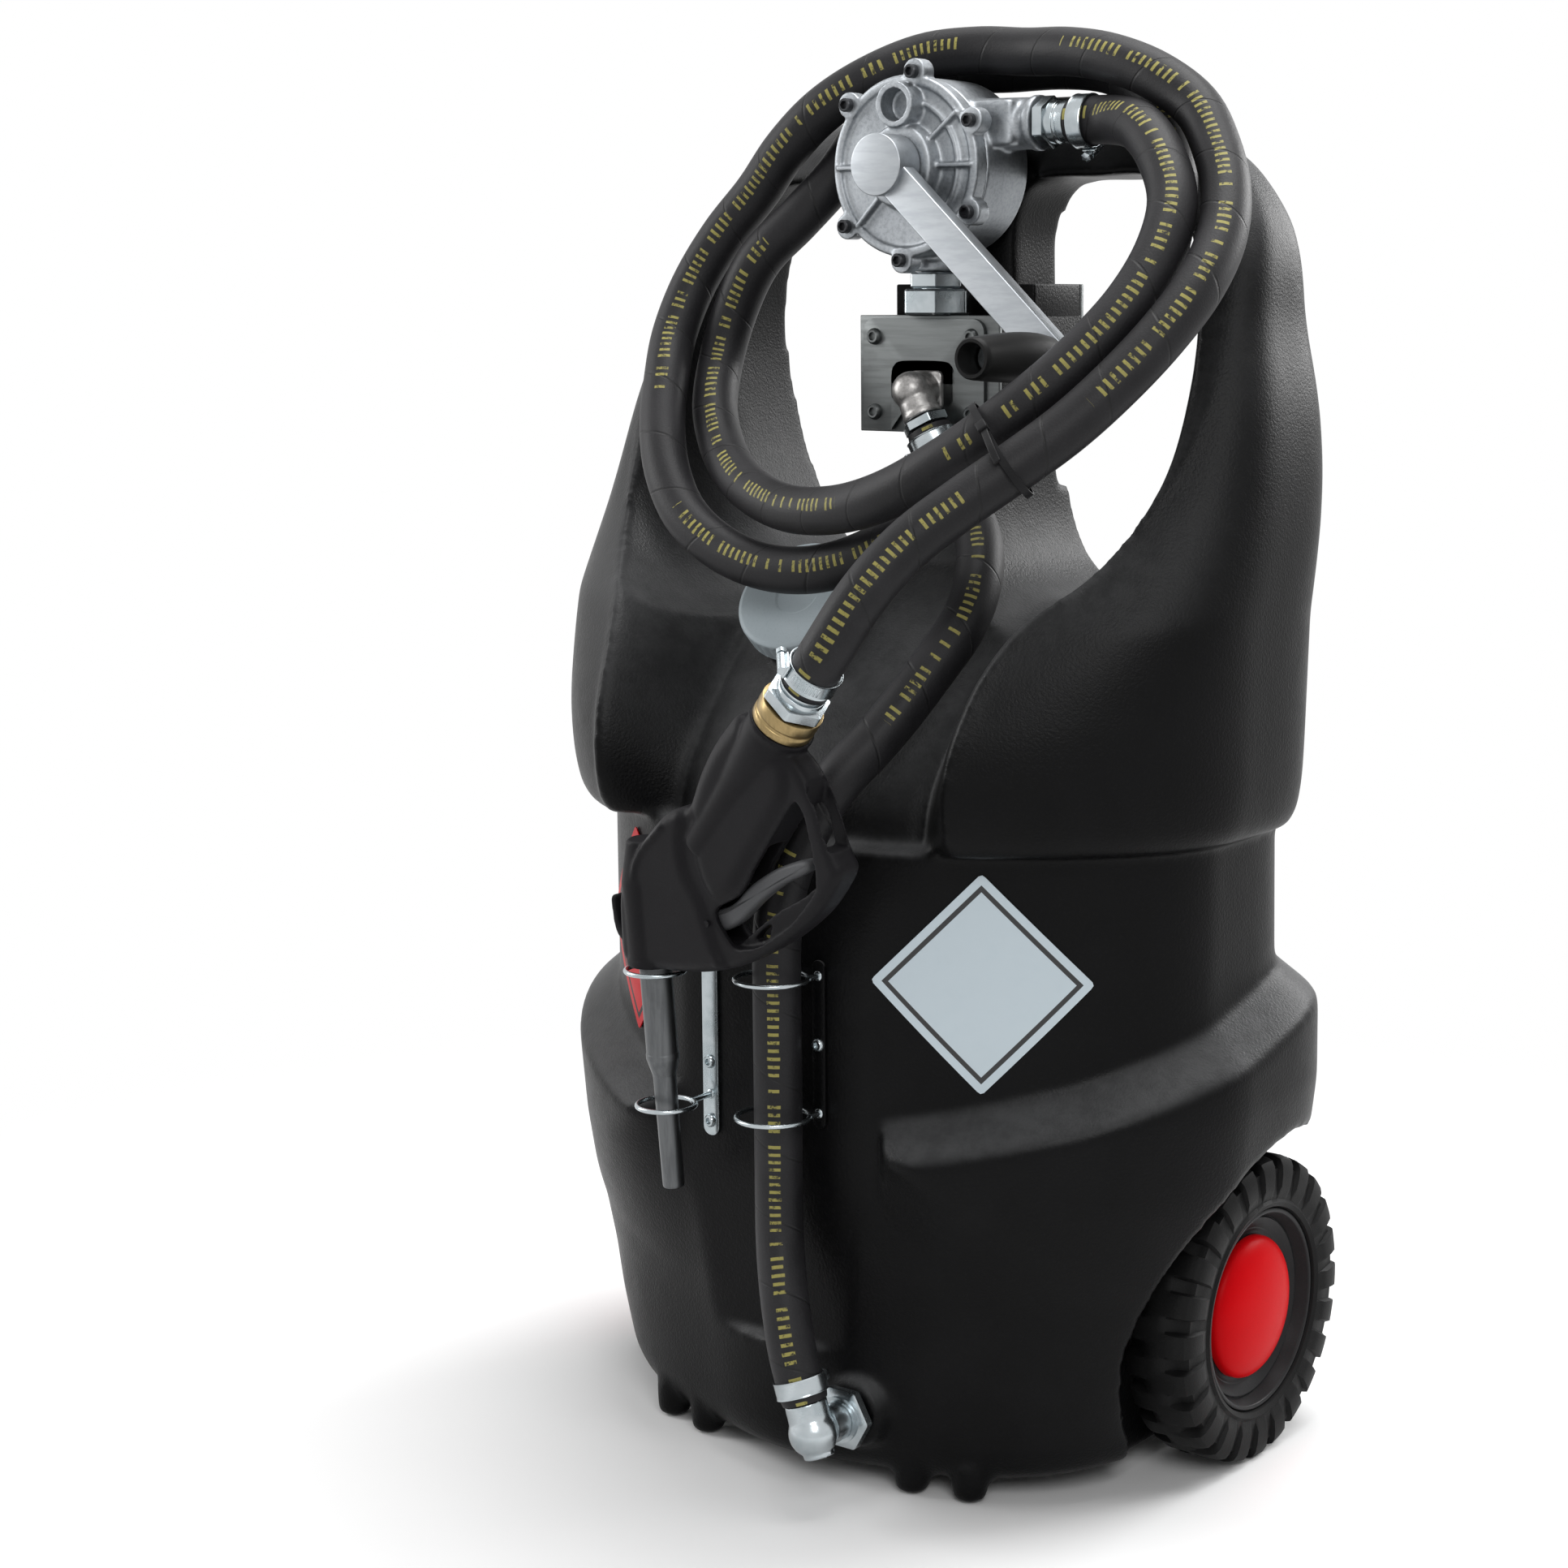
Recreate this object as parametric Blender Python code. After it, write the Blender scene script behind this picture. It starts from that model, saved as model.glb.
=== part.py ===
# Two-wheeled fuel caddy: one hollow plastic tank with an arched handle, a hand-cranked
# rotary pump on the post inside the arch, a suction hose down the front, a delivery hose
# in two loops over the arch, and a dispensing nozzle hung on the front of the tank.
# Metres. +Z up, the front faces -Y, +X is the viewer's right. The floor is z = 0.

import bpy
import bmesh
import math
import numpy as np
from mathutils import Matrix, Vector

for old in list(bpy.data.objects):
    bpy.data.objects.remove(old, do_unlink=True)

# Driving dimensions

# Shared
gap = 0.0003                 # running gap between pieces that touch
overrun = 0.01               # how far a cutter runs past the face it cuts
sunk = 0.0005                # how deep a joined piece starts inside what carries it
frameShiftY = 0.0395         # moves the whole part so that its origin is under its middle

# Tank
tankHeight = 0.900           # floor to the top of the arch
tankHalfWidth = 0.264
tankFront = 0.195            # how far the hood reaches in front of y = 0
tankBack = 0.134
tankWall = 0.006
skirtHeight = 0.428          # underside of the hood
stepProud = 0.027            # the lower body stands this far outside the waist
stepRise = 0.030             # height of the sloped step
valleyEdge = 0.065           # width of each of the valley's flanks
archInnerHalf = 0.200        # half width of the opening in the arch
archSill = 0.570             # lowest point of the opening
archLintel = 0.845           # underside of the handle
postHalf = 0.040
postFront = 0.062
postBack = 0.118

# Wheels
wheelRadius = 0.103
wheelWidth = 0.050
wheelOuter = 0.246           # outer face of each wheel from the centre plane
axleY = 0.065
axleRadius = 0.008
rimRadius = 0.068
hubCapRadius = 0.048
wellGap = 0.022              # tyre to wheel arch

# Pump
pumpX = 0.0
pumpZ = 0.8525
coverFront = -0.003          # y of the cover's flat face
coverRadius = 0.0585
coverThick = 0.009
pumpDepth = 0.060            # cover face to the back of the body
chamberRadius = 0.046
portRadius = 0.0165
outletRise = 0.0265          # outlet axis above the pump's axis
crankRadius = 0.180
armWidth = 0.024
armThick = 0.012
armFront = -0.033            # y of the arm's front face
gripLength = 0.084
gripRadius = 0.0125
gripBulge = 0.0155
gripPinRadius = 0.005
shaftRadius = 0.008

# Hoses
hoseRadius = 0.0155

# Bracket
plateWidth = 0.100
plateHeight = 0.074
plateThick = 0.003
plateY = 0.018               # front face of the front plate
plateZ = 0.717

# Filler cap
capRadius = 0.043
capThick = 0.016
capX = -0.042
capY = -0.062
capZ = 0.568
capLean = 49.0               # degrees from upright

# Outlet at the tank's foot
outletX = 0.061
outletZ = 0.057
outletFront = 0.187          # the hose elbow's ball in front of y = 0
outletSeat = 0.152           # the boss's flat face in front of y = 0
fittingRadius = 0.0125
fittingBall = 0.0160

# Front channel and what hangs in it
channelFront = 0.146         # the channel's flat face in front of y = 0
channelHalf = 0.086
channelLow = 0.095
suctionX = 0.018
suctionFront = 0.1665        # suction hose's axis in front of y = 0
ringRadius = 0.0235          # wire rings round the suction hose
wireRadius = 0.0016
ringLow = 0.253
ringHigh = 0.343

# Nozzle
nozzleX = -0.0608
nozzleY = -0.193
nozzleZ = 0.347
nozzleLean = 5.0             # degrees, top toward the front
nozzleYaw = 5.0              # degrees, guard toward the front
nozzleWide = 0.203
nozzleTall = 0.185
nozzleThick = 0.030
spoutRadius = 0.0105
spoutLength = 0.152
spoutRing = 0.0190           # wire rings round the spout
triggerThick = 0.012
stemRadius = 0.003

# Labels
labelSide = 0.100
labelThick = 0.0008
labelX = 0.142
labelZ = 0.346


# Helpers

def makeMaterial(name, colour, rough, metal):
    mat = bpy.data.materials.new(name)
    mat.use_nodes = True
    bsdf = mat.node_tree.nodes["Principled BSDF"]
    bsdf.inputs["Base Color"].default_value = (*colour, 1.0)
    bsdf.inputs["Roughness"].default_value = rough
    bsdf.inputs["Metallic"].default_value = metal
    mat.diffuse_color = (*colour, 1.0)
    return mat


matTank = makeMaterial("tank_plastic", (0.018, 0.018, 0.020), 0.55, 0.0)
matHose = makeMaterial("hose_rubber", (0.035, 0.034, 0.037), 0.60, 0.0)
matCast = makeMaterial("die_cast", (0.56, 0.58, 0.58), 0.42, 0.9)
matArm = makeMaterial("arm_aluminium", (0.66, 0.68, 0.69), 0.30, 0.9)
matPlate = makeMaterial("brushed_plate", (0.42, 0.44, 0.44), 0.38, 1.0)
matZinc = makeMaterial("zinc", (0.60, 0.64, 0.66), 0.25, 1.0)
matBrass = makeMaterial("brass", (0.62, 0.50, 0.32), 0.35, 0.9)
matNozzle = makeMaterial("nozzle_plastic", (0.060, 0.058, 0.062), 0.50, 0.0)
matTrigger = makeMaterial("trigger_grey", (0.17, 0.17, 0.18), 0.45, 0.0)
matRubber = makeMaterial("grip_rubber", (0.030, 0.030, 0.030), 0.70, 0.0)
matTyre = makeMaterial("tyre_rubber", (0.030, 0.030, 0.031), 0.75, 0.0)
matRim = makeMaterial("rim_plastic", (0.040, 0.040, 0.042), 0.50, 0.0)
matRed = makeMaterial("red_plastic", (0.62, 0.020, 0.035), 0.22, 0.0)
matScrew = makeMaterial("black_screw", (0.045, 0.045, 0.050), 0.40, 0.6)
matCap = makeMaterial("cap_plate", (0.55, 0.60, 0.63), 0.40, 0.6)
matLabel = makeMaterial("label_white", (0.72, 0.77, 0.80), 0.45, 0.0)
matLabelRed = makeMaterial("label_red", (0.62, 0.030, 0.050), 0.45, 0.0)
matSteel = makeMaterial("bright_steel", (0.58, 0.58, 0.57), 0.25, 1.0)


def addObject(name, mesh, mat, parent=None, place=None, smooth=None):
    obj = bpy.data.objects.new(name, mesh)
    bpy.context.scene.collection.objects.link(obj)
    if mat is not None:
        mesh.materials.append(mat)
    if place is not None:
        obj.matrix_world = place
    if parent is not None:
        obj.parent = parent
    if smooth is not None:
        mesh.shade_smooth()
        mesh.set_sharp_from_angle(angle=math.radians(smooth))
    return obj


def addEmpty(name, place):
    obj = bpy.data.objects.new(name, None)
    bpy.context.scene.collection.objects.link(obj)
    obj.matrix_world = place
    return obj


def meshFrom(verts, faces, name="mesh"):
    mesh = bpy.data.meshes.new(name)
    mesh.from_pydata([tuple(v) for v in verts], [], faces)
    mesh.update()
    bm = bmesh.new()
    bm.from_mesh(mesh)
    bmesh.ops.recalc_face_normals(bm, faces=bm.faces)
    bm.to_mesh(mesh)
    bm.free()
    return mesh


def ringsMesh(rings, closed=False):
    """Skin a list of equal rings of points; the ends are capped unless the list is closed."""
    verts = [p for ring in rings for p in ring]
    n = len(rings[0])
    faces = []
    count = len(rings) if closed else len(rings) - 1
    for i in range(count):
        a = i * n
        b = ((i + 1) % len(rings)) * n
        for j in range(n):
            k = (j + 1) % n
            faces.append((a + j, a + k, b + k, b + j))
    if not closed:
        faces.append(tuple(range(n))[::-1])
        faces.append(tuple((len(rings) - 1) * n + j for j in range(n)))
    return meshFrom(verts, faces)


def turnedMesh(profile, sides):
    """Turn a profile of (radius, height) about local Z. A radius of 0 closes an end.
    A profile whose first and last points are alike is a ring."""
    loop = profile[0] == profile[-1]
    pts = profile[:-1] if loop else profile
    verts = []
    index = []
    for r, h in pts:
        if r == 0:
            index.append([len(verts)] * sides)
            verts.append((0, 0, h))
        else:
            row = []
            for j in range(sides):
                a = 2 * math.pi * j / sides
                row.append(len(verts))
                verts.append((r * math.cos(a), r * math.sin(a), h))
            index.append(row)
    faces = []
    count = len(pts) if loop else len(pts) - 1
    for i in range(count):
        lo = index[i]
        hi = index[(i + 1) % len(pts)]
        for j in range(sides):
            k = (j + 1) % sides
            face = []
            for v in (lo[j], lo[k], hi[k], hi[j]):
                if v not in face:
                    face.append(v)
            if len(face) > 2:
                faces.append(tuple(face))
    if not loop:
        for row in (index[0], index[-1]):
            if len(set(row)) > 1:
                faces.append(tuple(row))
    return meshFrom(verts, faces)


def cylinderMesh(radius, low, high, sides=24, bore=0):
    if bore == 0:
        return turnedMesh([(radius, low), (radius, high)], sides)
    ring = [(bore, low), (radius, low), (radius, high), (bore, high), (bore, low)]
    return turnedMesh(ring, sides)


def prismMesh(outline, low, high):
    n = len(outline)
    verts = [(x, y, low) for x, y in outline] + [(x, y, high) for x, y in outline]
    faces = [tuple(range(n))[::-1], tuple(range(n, 2 * n))]
    faces += [(i, (i + 1) % n, n + (i + 1) % n, n + i) for i in range(n)]
    return meshFrom(verts, faces)


def boxMesh(lo, hi):
    outline = [(lo[0], lo[1]), (hi[0], lo[1]), (hi[0], hi[1]), (lo[0], hi[1])]
    return prismMesh(outline, lo[2], hi[2])


def roundedOutline(halfX, halfY, radius, steps=4, centre=(0, 0)):
    pts = []
    for k, (sx, sy) in enumerate(((1, 1), (-1, 1), (-1, -1), (1, -1))):
        for i in range(steps + 1):
            a = math.pi / 2 * (k + i / steps)
            x = sx * (halfX - radius) + radius * math.cos(a)
            y = sy * (halfY - radius) + radius * math.sin(a)
            pts.append((centre[0] + x, centre[1] + y))
    return pts


def hexOutline(acrossFlats):
    r = acrossFlats / math.sqrt(3)
    return [(r * math.cos(math.pi / 3 * k), r * math.sin(math.pi / 3 * k)) for k in range(6)]


def smoothCurve(points, count, closed=False):
    """Points at even spacing on a smooth curve through the route's own points."""
    pts = np.array(points, float)
    if closed:
        ext = np.vstack([pts[-1], pts, pts[0], pts[1]])
    else:
        ext = np.vstack([2 * pts[0] - pts[1], pts, 2 * pts[-1] - pts[-2]])
    dense = []
    steps = 24
    for i in range(1, len(ext) - 2):
        p0, p1, p2, p3 = ext[i - 1], ext[i], ext[i + 1], ext[i + 2]
        for k in range(steps):
            t = k / steps
            dense.append(0.5 * (2 * p1 + (p2 - p0) * t + (2 * p0 - 5 * p1 + 4 * p2 - p3) * t ** 2
                                + (3 * p1 - p0 - 3 * p2 + p3) * t ** 3))
    dense.append(ext[-2])
    dense = np.array(dense)
    run = np.concatenate([[0], np.cumsum(np.linalg.norm(np.diff(dense, axis=0), axis=1))])
    want = np.linspace(0, run[-1], count)
    return np.stack([np.interp(want, run, dense[:, k]) for k in range(3)], axis=1)


def tubeObject(name, points, radius, mat, resolution=2, parent=None, closed=False):
    curve = bpy.data.curves.new(name, "CURVE")
    curve.dimensions = "3D"
    curve.bevel_depth = radius
    curve.bevel_resolution = resolution
    curve.use_fill_caps = not closed
    spline = curve.splines.new("POLY")
    spline.points.add(len(points) - 1)
    for p, co in zip(spline.points, points):
        p.co = (*co, 1.0)
    spline.use_cyclic_u = closed
    curve.materials.append(mat)
    obj = bpy.data.objects.new(name, curve)
    bpy.context.scene.collection.objects.link(obj)
    if parent is not None:
        obj.parent = parent
    return obj


def boolean(obj, other, operation):
    mod = obj.modifiers.new(operation.lower(), "BOOLEAN")
    mod.operation = operation
    mod.solver = "EXACT"
    mod.object = other
    other.hide_render = True
    other.display_type = "WIRE"
    return mod


def cutBy(obj, mesh, place=None, name="cutter"):
    cutter = addObject(name, mesh, None, place=place)
    boolean(obj, cutter, "DIFFERENCE")
    return cutter


def joinWith(obj, mesh, place=None, name="adder"):
    adder = addObject(name, mesh, None, place=place)
    boolean(obj, adder, "UNION")
    return adder


def at(x, y, z):
    return Matrix.Translation((x, y + frameShiftY, z))


def aimed(origin, direction, roll=0.0):
    """Local Z along the direction, from a point in the part's frame."""
    quat = Vector(direction).normalized().to_track_quat("Z", "Y")
    spin = Matrix.Rotation(math.radians(roll), 4, "Z")
    return at(*origin) @ quat.to_matrix().to_4x4() @ spin


toFront = Matrix.Rotation(math.radians(90), 4, "X")      # local Z to -Y
toRight = Matrix.Rotation(math.radians(90), 4, "Y")      # local Z to +X


# Tank

# Levels of the tank, as shares of its height, half width, front and back reach, with the
# front's roundness and the valley's depth as a share of the front reach.
# height, width, front, back, roundness, valley depth, valley half width
waistShares = [
    (0.0128, 0.560, 0.680, 0.700, 1.9, 0.00, 0.36),
    (0.0207, 0.660, 0.745, 0.840, 1.8, 0.00, 0.36),
    (0.0393, 0.710, 0.770, 0.930, 1.8, 0.00, 0.36),
    (0.0836, 0.752, 0.785, 1.000, 1.8, 0.00, 0.36),
    (0.1180, 0.790, 0.800, 1.030, 1.7, 0.00, 0.36),
    (0.1672, 0.838, 0.810, 1.045, 1.7, 0.00, 0.36),
    (0.2262, 0.886, 0.820, 1.045, 1.7, 0.00, 0.36),
    (0.2852, 0.912, 0.820, 1.045, 1.7, 0.00, 0.36),
    (0.3737, 0.912, 0.820, 1.030, 1.7, 0.00, 0.36),
    (0.4759, 0.912, 0.820, 1.000, 1.7, 0.00, 0.36),
]
hoodShares = [
    (0.4759, 0.955, 0.930, 0.960, 1.8, 0.20, 0.36),
    (0.4877, 0.985, 0.985, 0.985, 1.8, 0.24, 0.36),
    (0.5113, 0.993, 0.995, 0.990, 1.8, 0.30, 0.36),
    (0.5408, 0.997, 0.975, 0.990, 1.9, 0.38, 0.36),
    (0.6097, 1.004, 0.780, 0.990, 2.1, 0.54, 0.40),
    (0.6441, 1.008, 0.620, 0.990, 2.3, 0.56, 0.47),
    (0.6785, 1.010, 0.440, 0.990, 2.6, 0.42, 0.56),
    (0.7129, 1.006, 0.290, 0.990, 3.0, 0.26, 0.63),
    (0.7522, 0.995, 0.180, 0.985, 3.4, 0.14, 0.68),
    (0.7965, 0.968, 0.080, 0.975, 3.8, 0.04, 0.70),
    (0.8407, 0.922, -0.020, 0.960, 4.0, 0.00, 0.70),
    (0.8850, 0.915, -0.110, 0.945, 4.0, 0.00, 0.70),
    (0.9278, 0.840, -0.230, 0.930, 3.8, 0.00, 0.70),
    (0.9690, 0.690, -0.330, 0.885, 3.4, 0.00, 0.70),
    (0.9900, 0.510, -0.395, 0.835, 3.0, 0.00, 0.70),
    (1.0000, 0.330, -0.450, 0.770, 2.6, 0.00, 0.70),
]
# Height of the step's upper edge along half the outline, front to back.
stepPlaceShares = [0.0, 0.10, 0.20, 0.32, 0.45, 0.60, 0.80, 1.0]
stepHeightShares = [0.2704, 0.2783, 0.2920, 0.3110, 0.3410, 0.3700, 0.3835, 0.3855]
stepStartShare = 0.145       # where along the half outline the step begins
stepBlendShare = 0.030
ringPoints = 17              # facets of half a ring


def tableAt(table, height):
    rows = np.array(table, float)
    return [float(np.interp(height, rows[:, 0], rows[:, k])) for k in range(1, rows.shape[1])]


def halfRing(table, height, inset=0.0, limit=None, points=ringPoints):
    """Half an outline at a level, from the middle of the front to the middle of the back."""
    w, f, b, power, valley, wide = tableAt(table, height / tankHeight)
    valleyHalf = wide * tankHalfWidth
    w = w * tankHalfWidth - inset
    if limit is not None:
        w = min(w, limit)
    yFront = -f * tankFront + inset
    yBack = b * tankBack - inset
    middle = max(0.0, (yFront + yBack) / 2)
    a = np.linspace(0, math.pi, points + 1)
    u = np.sin(a)
    v = -np.cos(a)
    backPower = 4.5
    n = np.where(v < 0, power, backPower)
    x = w * np.abs(u) ** (2 / n)
    x[0] = 0.0
    x[-1] = 0.0
    reach = np.where(v < 0, middle - yFront, yBack - middle)
    y = middle + np.sign(v) * reach * np.abs(v) ** (2 / n)
    edge = np.clip((x - valleyHalf) / valleyEdge, 0, 1)
    drop = 1 - edge * edge * (3 - 2 * edge)
    y = np.where(v < 0, y + valley * tankFront * drop, y)
    return x, y


def stepOffset(x, y, height):
    """The lower body stands proud of the waist below a line that rises to the back."""
    run = np.concatenate([[0], np.cumsum(np.hypot(np.diff(x), np.diff(y)))])
    share = run / run[-1]
    line = np.interp(share, stepPlaceShares, stepHeightShares) * tankHeight
    drop = np.clip((line - height) / stepRise, 0, 1)
    drop = drop * drop * (3 - 2 * drop)
    begin = np.clip((share - stepStartShare) / stepBlendShare, 0, 1)
    return stepProud * drop * begin * begin * (3 - 2 * begin)


def outlineNormals(x, y):
    dx = np.gradient(x)
    dy = np.gradient(y)
    size = np.hypot(dx, dy) + 1e-12
    return dy / size, -dx / size


def fullRing(x, y, height):
    right = [(float(px), float(py) + frameShiftY, height) for px, py in zip(x, y)]
    left = [(-px, py, pz) for px, py, pz in right[1:-1]][::-1]
    return right + left


def waistRing(height):
    x, y = halfRing(waistShares, height)
    push = stepOffset(x, y, height)
    nx, ny = outlineNormals(x, y)
    x2 = x + nx * push
    x2[0] = 0.0
    x2[-1] = 0.0
    return fullRing(x2, y + ny * push, height)


def hoodRing(height):
    x, y = halfRing(hoodShares, height)
    return fullRing(x, y, height)


waistLevelShares = [0.0128, 0.0220, 0.0836, 0.1573, 0.2321, 0.2596, 0.2793, 0.2989, 0.3186, 0.3402,
                    0.3658, 0.3933, 0.4759]
rings = [waistRing(h * tankHeight) for h in waistLevelShares]
rings += [hoodRing(row[0] * tankHeight) for row in hoodShares]
tank = addObject("tank_body", ringsMesh(rings), matTank, smooth=35)

# The opening in the arch, one on each side of the post: shares of the half opening and of its
# height, anticlockwise seen from the front, from the foot of the post.
openingShares = [(0.00, 0.30), (0.05, 0.16), (0.15, 0.06), (0.32, 0.0), (0.55, 0.03), (0.76, 0.14),
                 (0.91, 0.32), (0.99, 0.53), (1.0, 0.70), (0.95, 0.84), (0.83, 0.95), (0.66, 1.0),
                 (0.20, 1.0), (0.06, 0.97), (0.0, 0.88)]


flareWide = 0.034            # the opening's front edge is this much wider on the outside
flareFront = 0.050           # in front of y = 0
flareBack = 0.055            # behind y = 0


def archOpening(side):
    span = archInnerHalf - postHalf
    rise = archLintel - archSill
    rings = []
    for y, flare in ((-tankFront - overrun, flareWide), (-flareFront, flareWide), (flareBack, 0),
                     (tankBack + tankWall + overrun, 0)):
        ring = []
        for u, v in openingShares:
            z = archSill + v * rise - flare * max(0, 0.5 - v)
            ring.append((side * (postHalf + u * (span + flare)), y + frameShiftY, z))
        rings.append(ring)
    return ringsMesh(rings)


cutBy(tank, archOpening(1), name="opening_right")
cutBy(tank, archOpening(-1), name="opening_left")
# The post stands behind the opening's front part, on a foot that runs forward.
postRise = archLintel - archSill
postSpan = postFront + tankFront
postProfileShares = [(0.00, 0.050), (0.640, 0.050), (0.740, 0.110), (0.850, 0.200), (0.950, 0.300),
                     (1.000, 0.380), (1.000, 1.0), (0.0, 1.0)]
profile = [(-tankFront + u * postSpan, archSill + v * postRise) for u, v in postProfileShares]
turnAcross = Matrix(((0, 0, 1, 0), (1, 0, 0, 0), (0, 1, 0, 0), (0, 0, 0, 1)))   # (Y, Z) along X
footHalf = postHalf + (archInnerHalf - postHalf) * 0.30
cutBy(tank, prismMesh(profile, -footHalf, footHalf), place=at(0, 0, 0) @ turnAcross, name="post_front")
cutBy(tank, boxMesh((-(postHalf + gap), postBack, archSill + postRise / 4),
                    (postHalf + gap, tankBack + overrun, archLintel)), place=at(0, 0, 0),
      name="post_back")
# Recess in the handle for the pump.
recessHalf = coverRadius + tankWall
cutBy(tank, boxMesh((-recessHalf, -tankFront, archLintel - postRise / 4),
                    (recessHalf, coverFront + pumpDepth + gap * 3, tankHeight + overrun)),
      place=at(0, 0, 0), name="pump_recess")

# Wheel arches and the axle's slot, open at the back.
wellInner = wheelOuter - wheelWidth - wellGap / 2
wellRadius = wheelRadius + wellGap
for side in (-1, 1):
    low, high = sorted((side * wellInner, side * (tankHalfWidth + overrun)))
    cutBy(tank, cylinderMesh(wellRadius, low, high, 24), place=at(0, axleY, wheelRadius) @ toRight,
          name="well_round")
    cutBy(tank, boxMesh((low, axleY, -overrun), (high, tankBack + overrun, wheelRadius + wellRadius / 2)),
          place=at(0, 0, 0), name="well_back")
slotHalf = axleRadius + gap
cutBy(tank, boxMesh((-tankHalfWidth, axleY - slotHalf, wheelRadius - slotHalf),
                    (tankHalfWidth, tankBack + overrun, wheelRadius + slotHalf)), place=at(0, 0, 0),
      name="axle_slot")

# Flat channel down the front.
channelFlare = (tankFront - channelFront) * 0.6
channelOutline = [(-channelHalf, -channelFront), (-channelHalf - channelFlare, -tankFront - overrun),
                  (channelHalf + channelFlare, -tankFront - overrun), (channelHalf, -channelFront)]
cutBy(tank, prismMesh(channelOutline, channelLow, skirtHeight + stepRise), place=at(0, 0, 0), name="channel")

# Inside of the tank.
cavityLow = 0.046
cavityHigh = archSill - tankWall * 2.5
cavityLevelShares = [0.0, 0.05, 0.15, 0.30, 0.50, 0.74, 0.752, 0.90, 1.0]
hoodWallShare = 3.5          # the hood's flanks fold in, so the hollow keeps further away
cavityRings = []
for share in cavityLevelShares:
    height = cavityLow + share * (cavityHigh - cavityLow)
    table = waistShares if height < skirtHeight + tankWall else hoodShares
    narrow = wellInner - tankWall if height < wheelRadius + wellRadius + tankWall * 2 else None
    wall = tankWall if height < skirtHeight else tankWall * hoodWallShare
    x, y = halfRing(table, height, inset=wall, limit=narrow, points=14)
    if height < wheelRadius + slotHalf + tankWall * 2:
        y = np.minimum(y, axleY - slotHalf - tankWall)
    if height < skirtHeight:
        y = np.maximum(y, -channelFront + tankWall)
    cavityRings.append(fullRing(x, y, height))
cutBy(tank, ringsMesh(cavityRings), name="cavity")

# Neck of the filler, on a ramp left of the middle.
lean = math.radians(capLean)
capAxis = Vector((0.10, -math.sin(lean), math.cos(lean))).normalized()
neckRadius = capRadius * 0.82
neckBore = neckRadius - tankWall
neckLong = 0.060
neckBase = Vector((capX, capY, capZ)) - capAxis * neckLong
neckPlace = aimed(neckBase, capAxis)
joinWith(tank, cylinderMesh(neckRadius, 0, neckLong, 24), place=neckPlace, name="neck")
cutBy(tank, cylinderMesh(neckBore, -neckLong / 2, neckLong + overrun, 24), place=neckPlace,
      name="neck_bore")

# Boss and bore of the outlet.
bossRadius = fittingRadius * 1.8
outletPlace = at(outletX, -outletSeat, outletZ) @ toFront
joinWith(tank, cylinderMesh(bossRadius, -(outletSeat * 0.2), 0, 20), place=outletPlace, name="boss")
cutBy(tank, cylinderMesh(fittingRadius * 0.7, -(outletSeat * 0.4), overrun, 16), place=outletPlace,
      name="outlet_bore")

# Front feet, moulded in one with the tank.
footRadius = 0.0125
footHigh = 0.024
footShares = [(0.478, -0.550), (0.330, -0.600)]   # of the half width and of the front reach
for u, v in footShares:
    for side in (-1, 1):
        foot = turnedMesh([(footRadius * 0.8, 0), (footRadius, footRadius * 0.3), (footRadius, footHigh)], 10)
        joinWith(tank, foot, place=at(side * u * tankHalfWidth, v * tankFront, 0), name="foot")

# Pockets for the axle keepers.
keeperHalf = 0.016
keeperHigh = 0.022
keeperX = 0.100
keeperThick = 0.003
keeperSeat = tankBack * 0.92
for side in (-1, 1):
    cutBy(tank, boxMesh((side * keeperX - keeperHalf - gap, keeperSeat, wheelRadius - keeperHigh - gap),
                        (side * keeperX + keeperHalf + gap, tankBack + overrun,
                         wheelRadius + keeperHigh + gap)), place=at(0, 0, 0), name="keeper_pocket")


# AXLE

axleHalf = wheelOuter - wheelWidth * 0.25
axlePlace = at(0, axleY, wheelRadius) @ toRight
addObject("axle", cylinderMesh(axleRadius, -axleHalf, axleHalf, 20), matSteel, place=axlePlace, smooth=35)

screwRadius = 0.0045
screwHigh = 0.0028


def buttonScrew(radius, high):
    return turnedMesh([(0, high), (radius * 0.70, high), (radius, high * 0.3), (radius, -sunk)], 8)


tongueLow = axleY + axleRadius + gap
keeperFace = keeperSeat + gap + keeperThick
for side, word in ((-1, "left"), (1, "right")):
    half = axleRadius
    outline = [(tongueLow, -half), (keeperSeat + gap, -half), (keeperSeat + gap, -keeperHigh),
               (keeperFace, -keeperHigh), (keeperFace, keeperHigh),
               (keeperSeat + gap, keeperHigh), (keeperSeat + gap, half), (tongueLow, half)]
    plate = prismMesh(outline, side * keeperX - keeperHalf, side * keeperX + keeperHalf)
    keeper = addObject("axle_keeper_" + word, plate, matPlate, place=at(0, 0, wheelRadius) @ turnAcross)
    for up in (-1, 1):
        spot = (side * keeperX, keeperFace, wheelRadius + up * keeperHigh * 0.72)
        joinWith(keeper, buttonScrew(screwRadius, screwHigh), place=aimed(spot, (0, 1, 0)),
                 name="keeper_screw")


# WHEELS

lugCount = 20
lugDepth = 0.006
shoulderShare = 0.62
hubRadius = 0.020
webOut = wheelWidth * 0.16
webThick = 0.005


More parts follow.
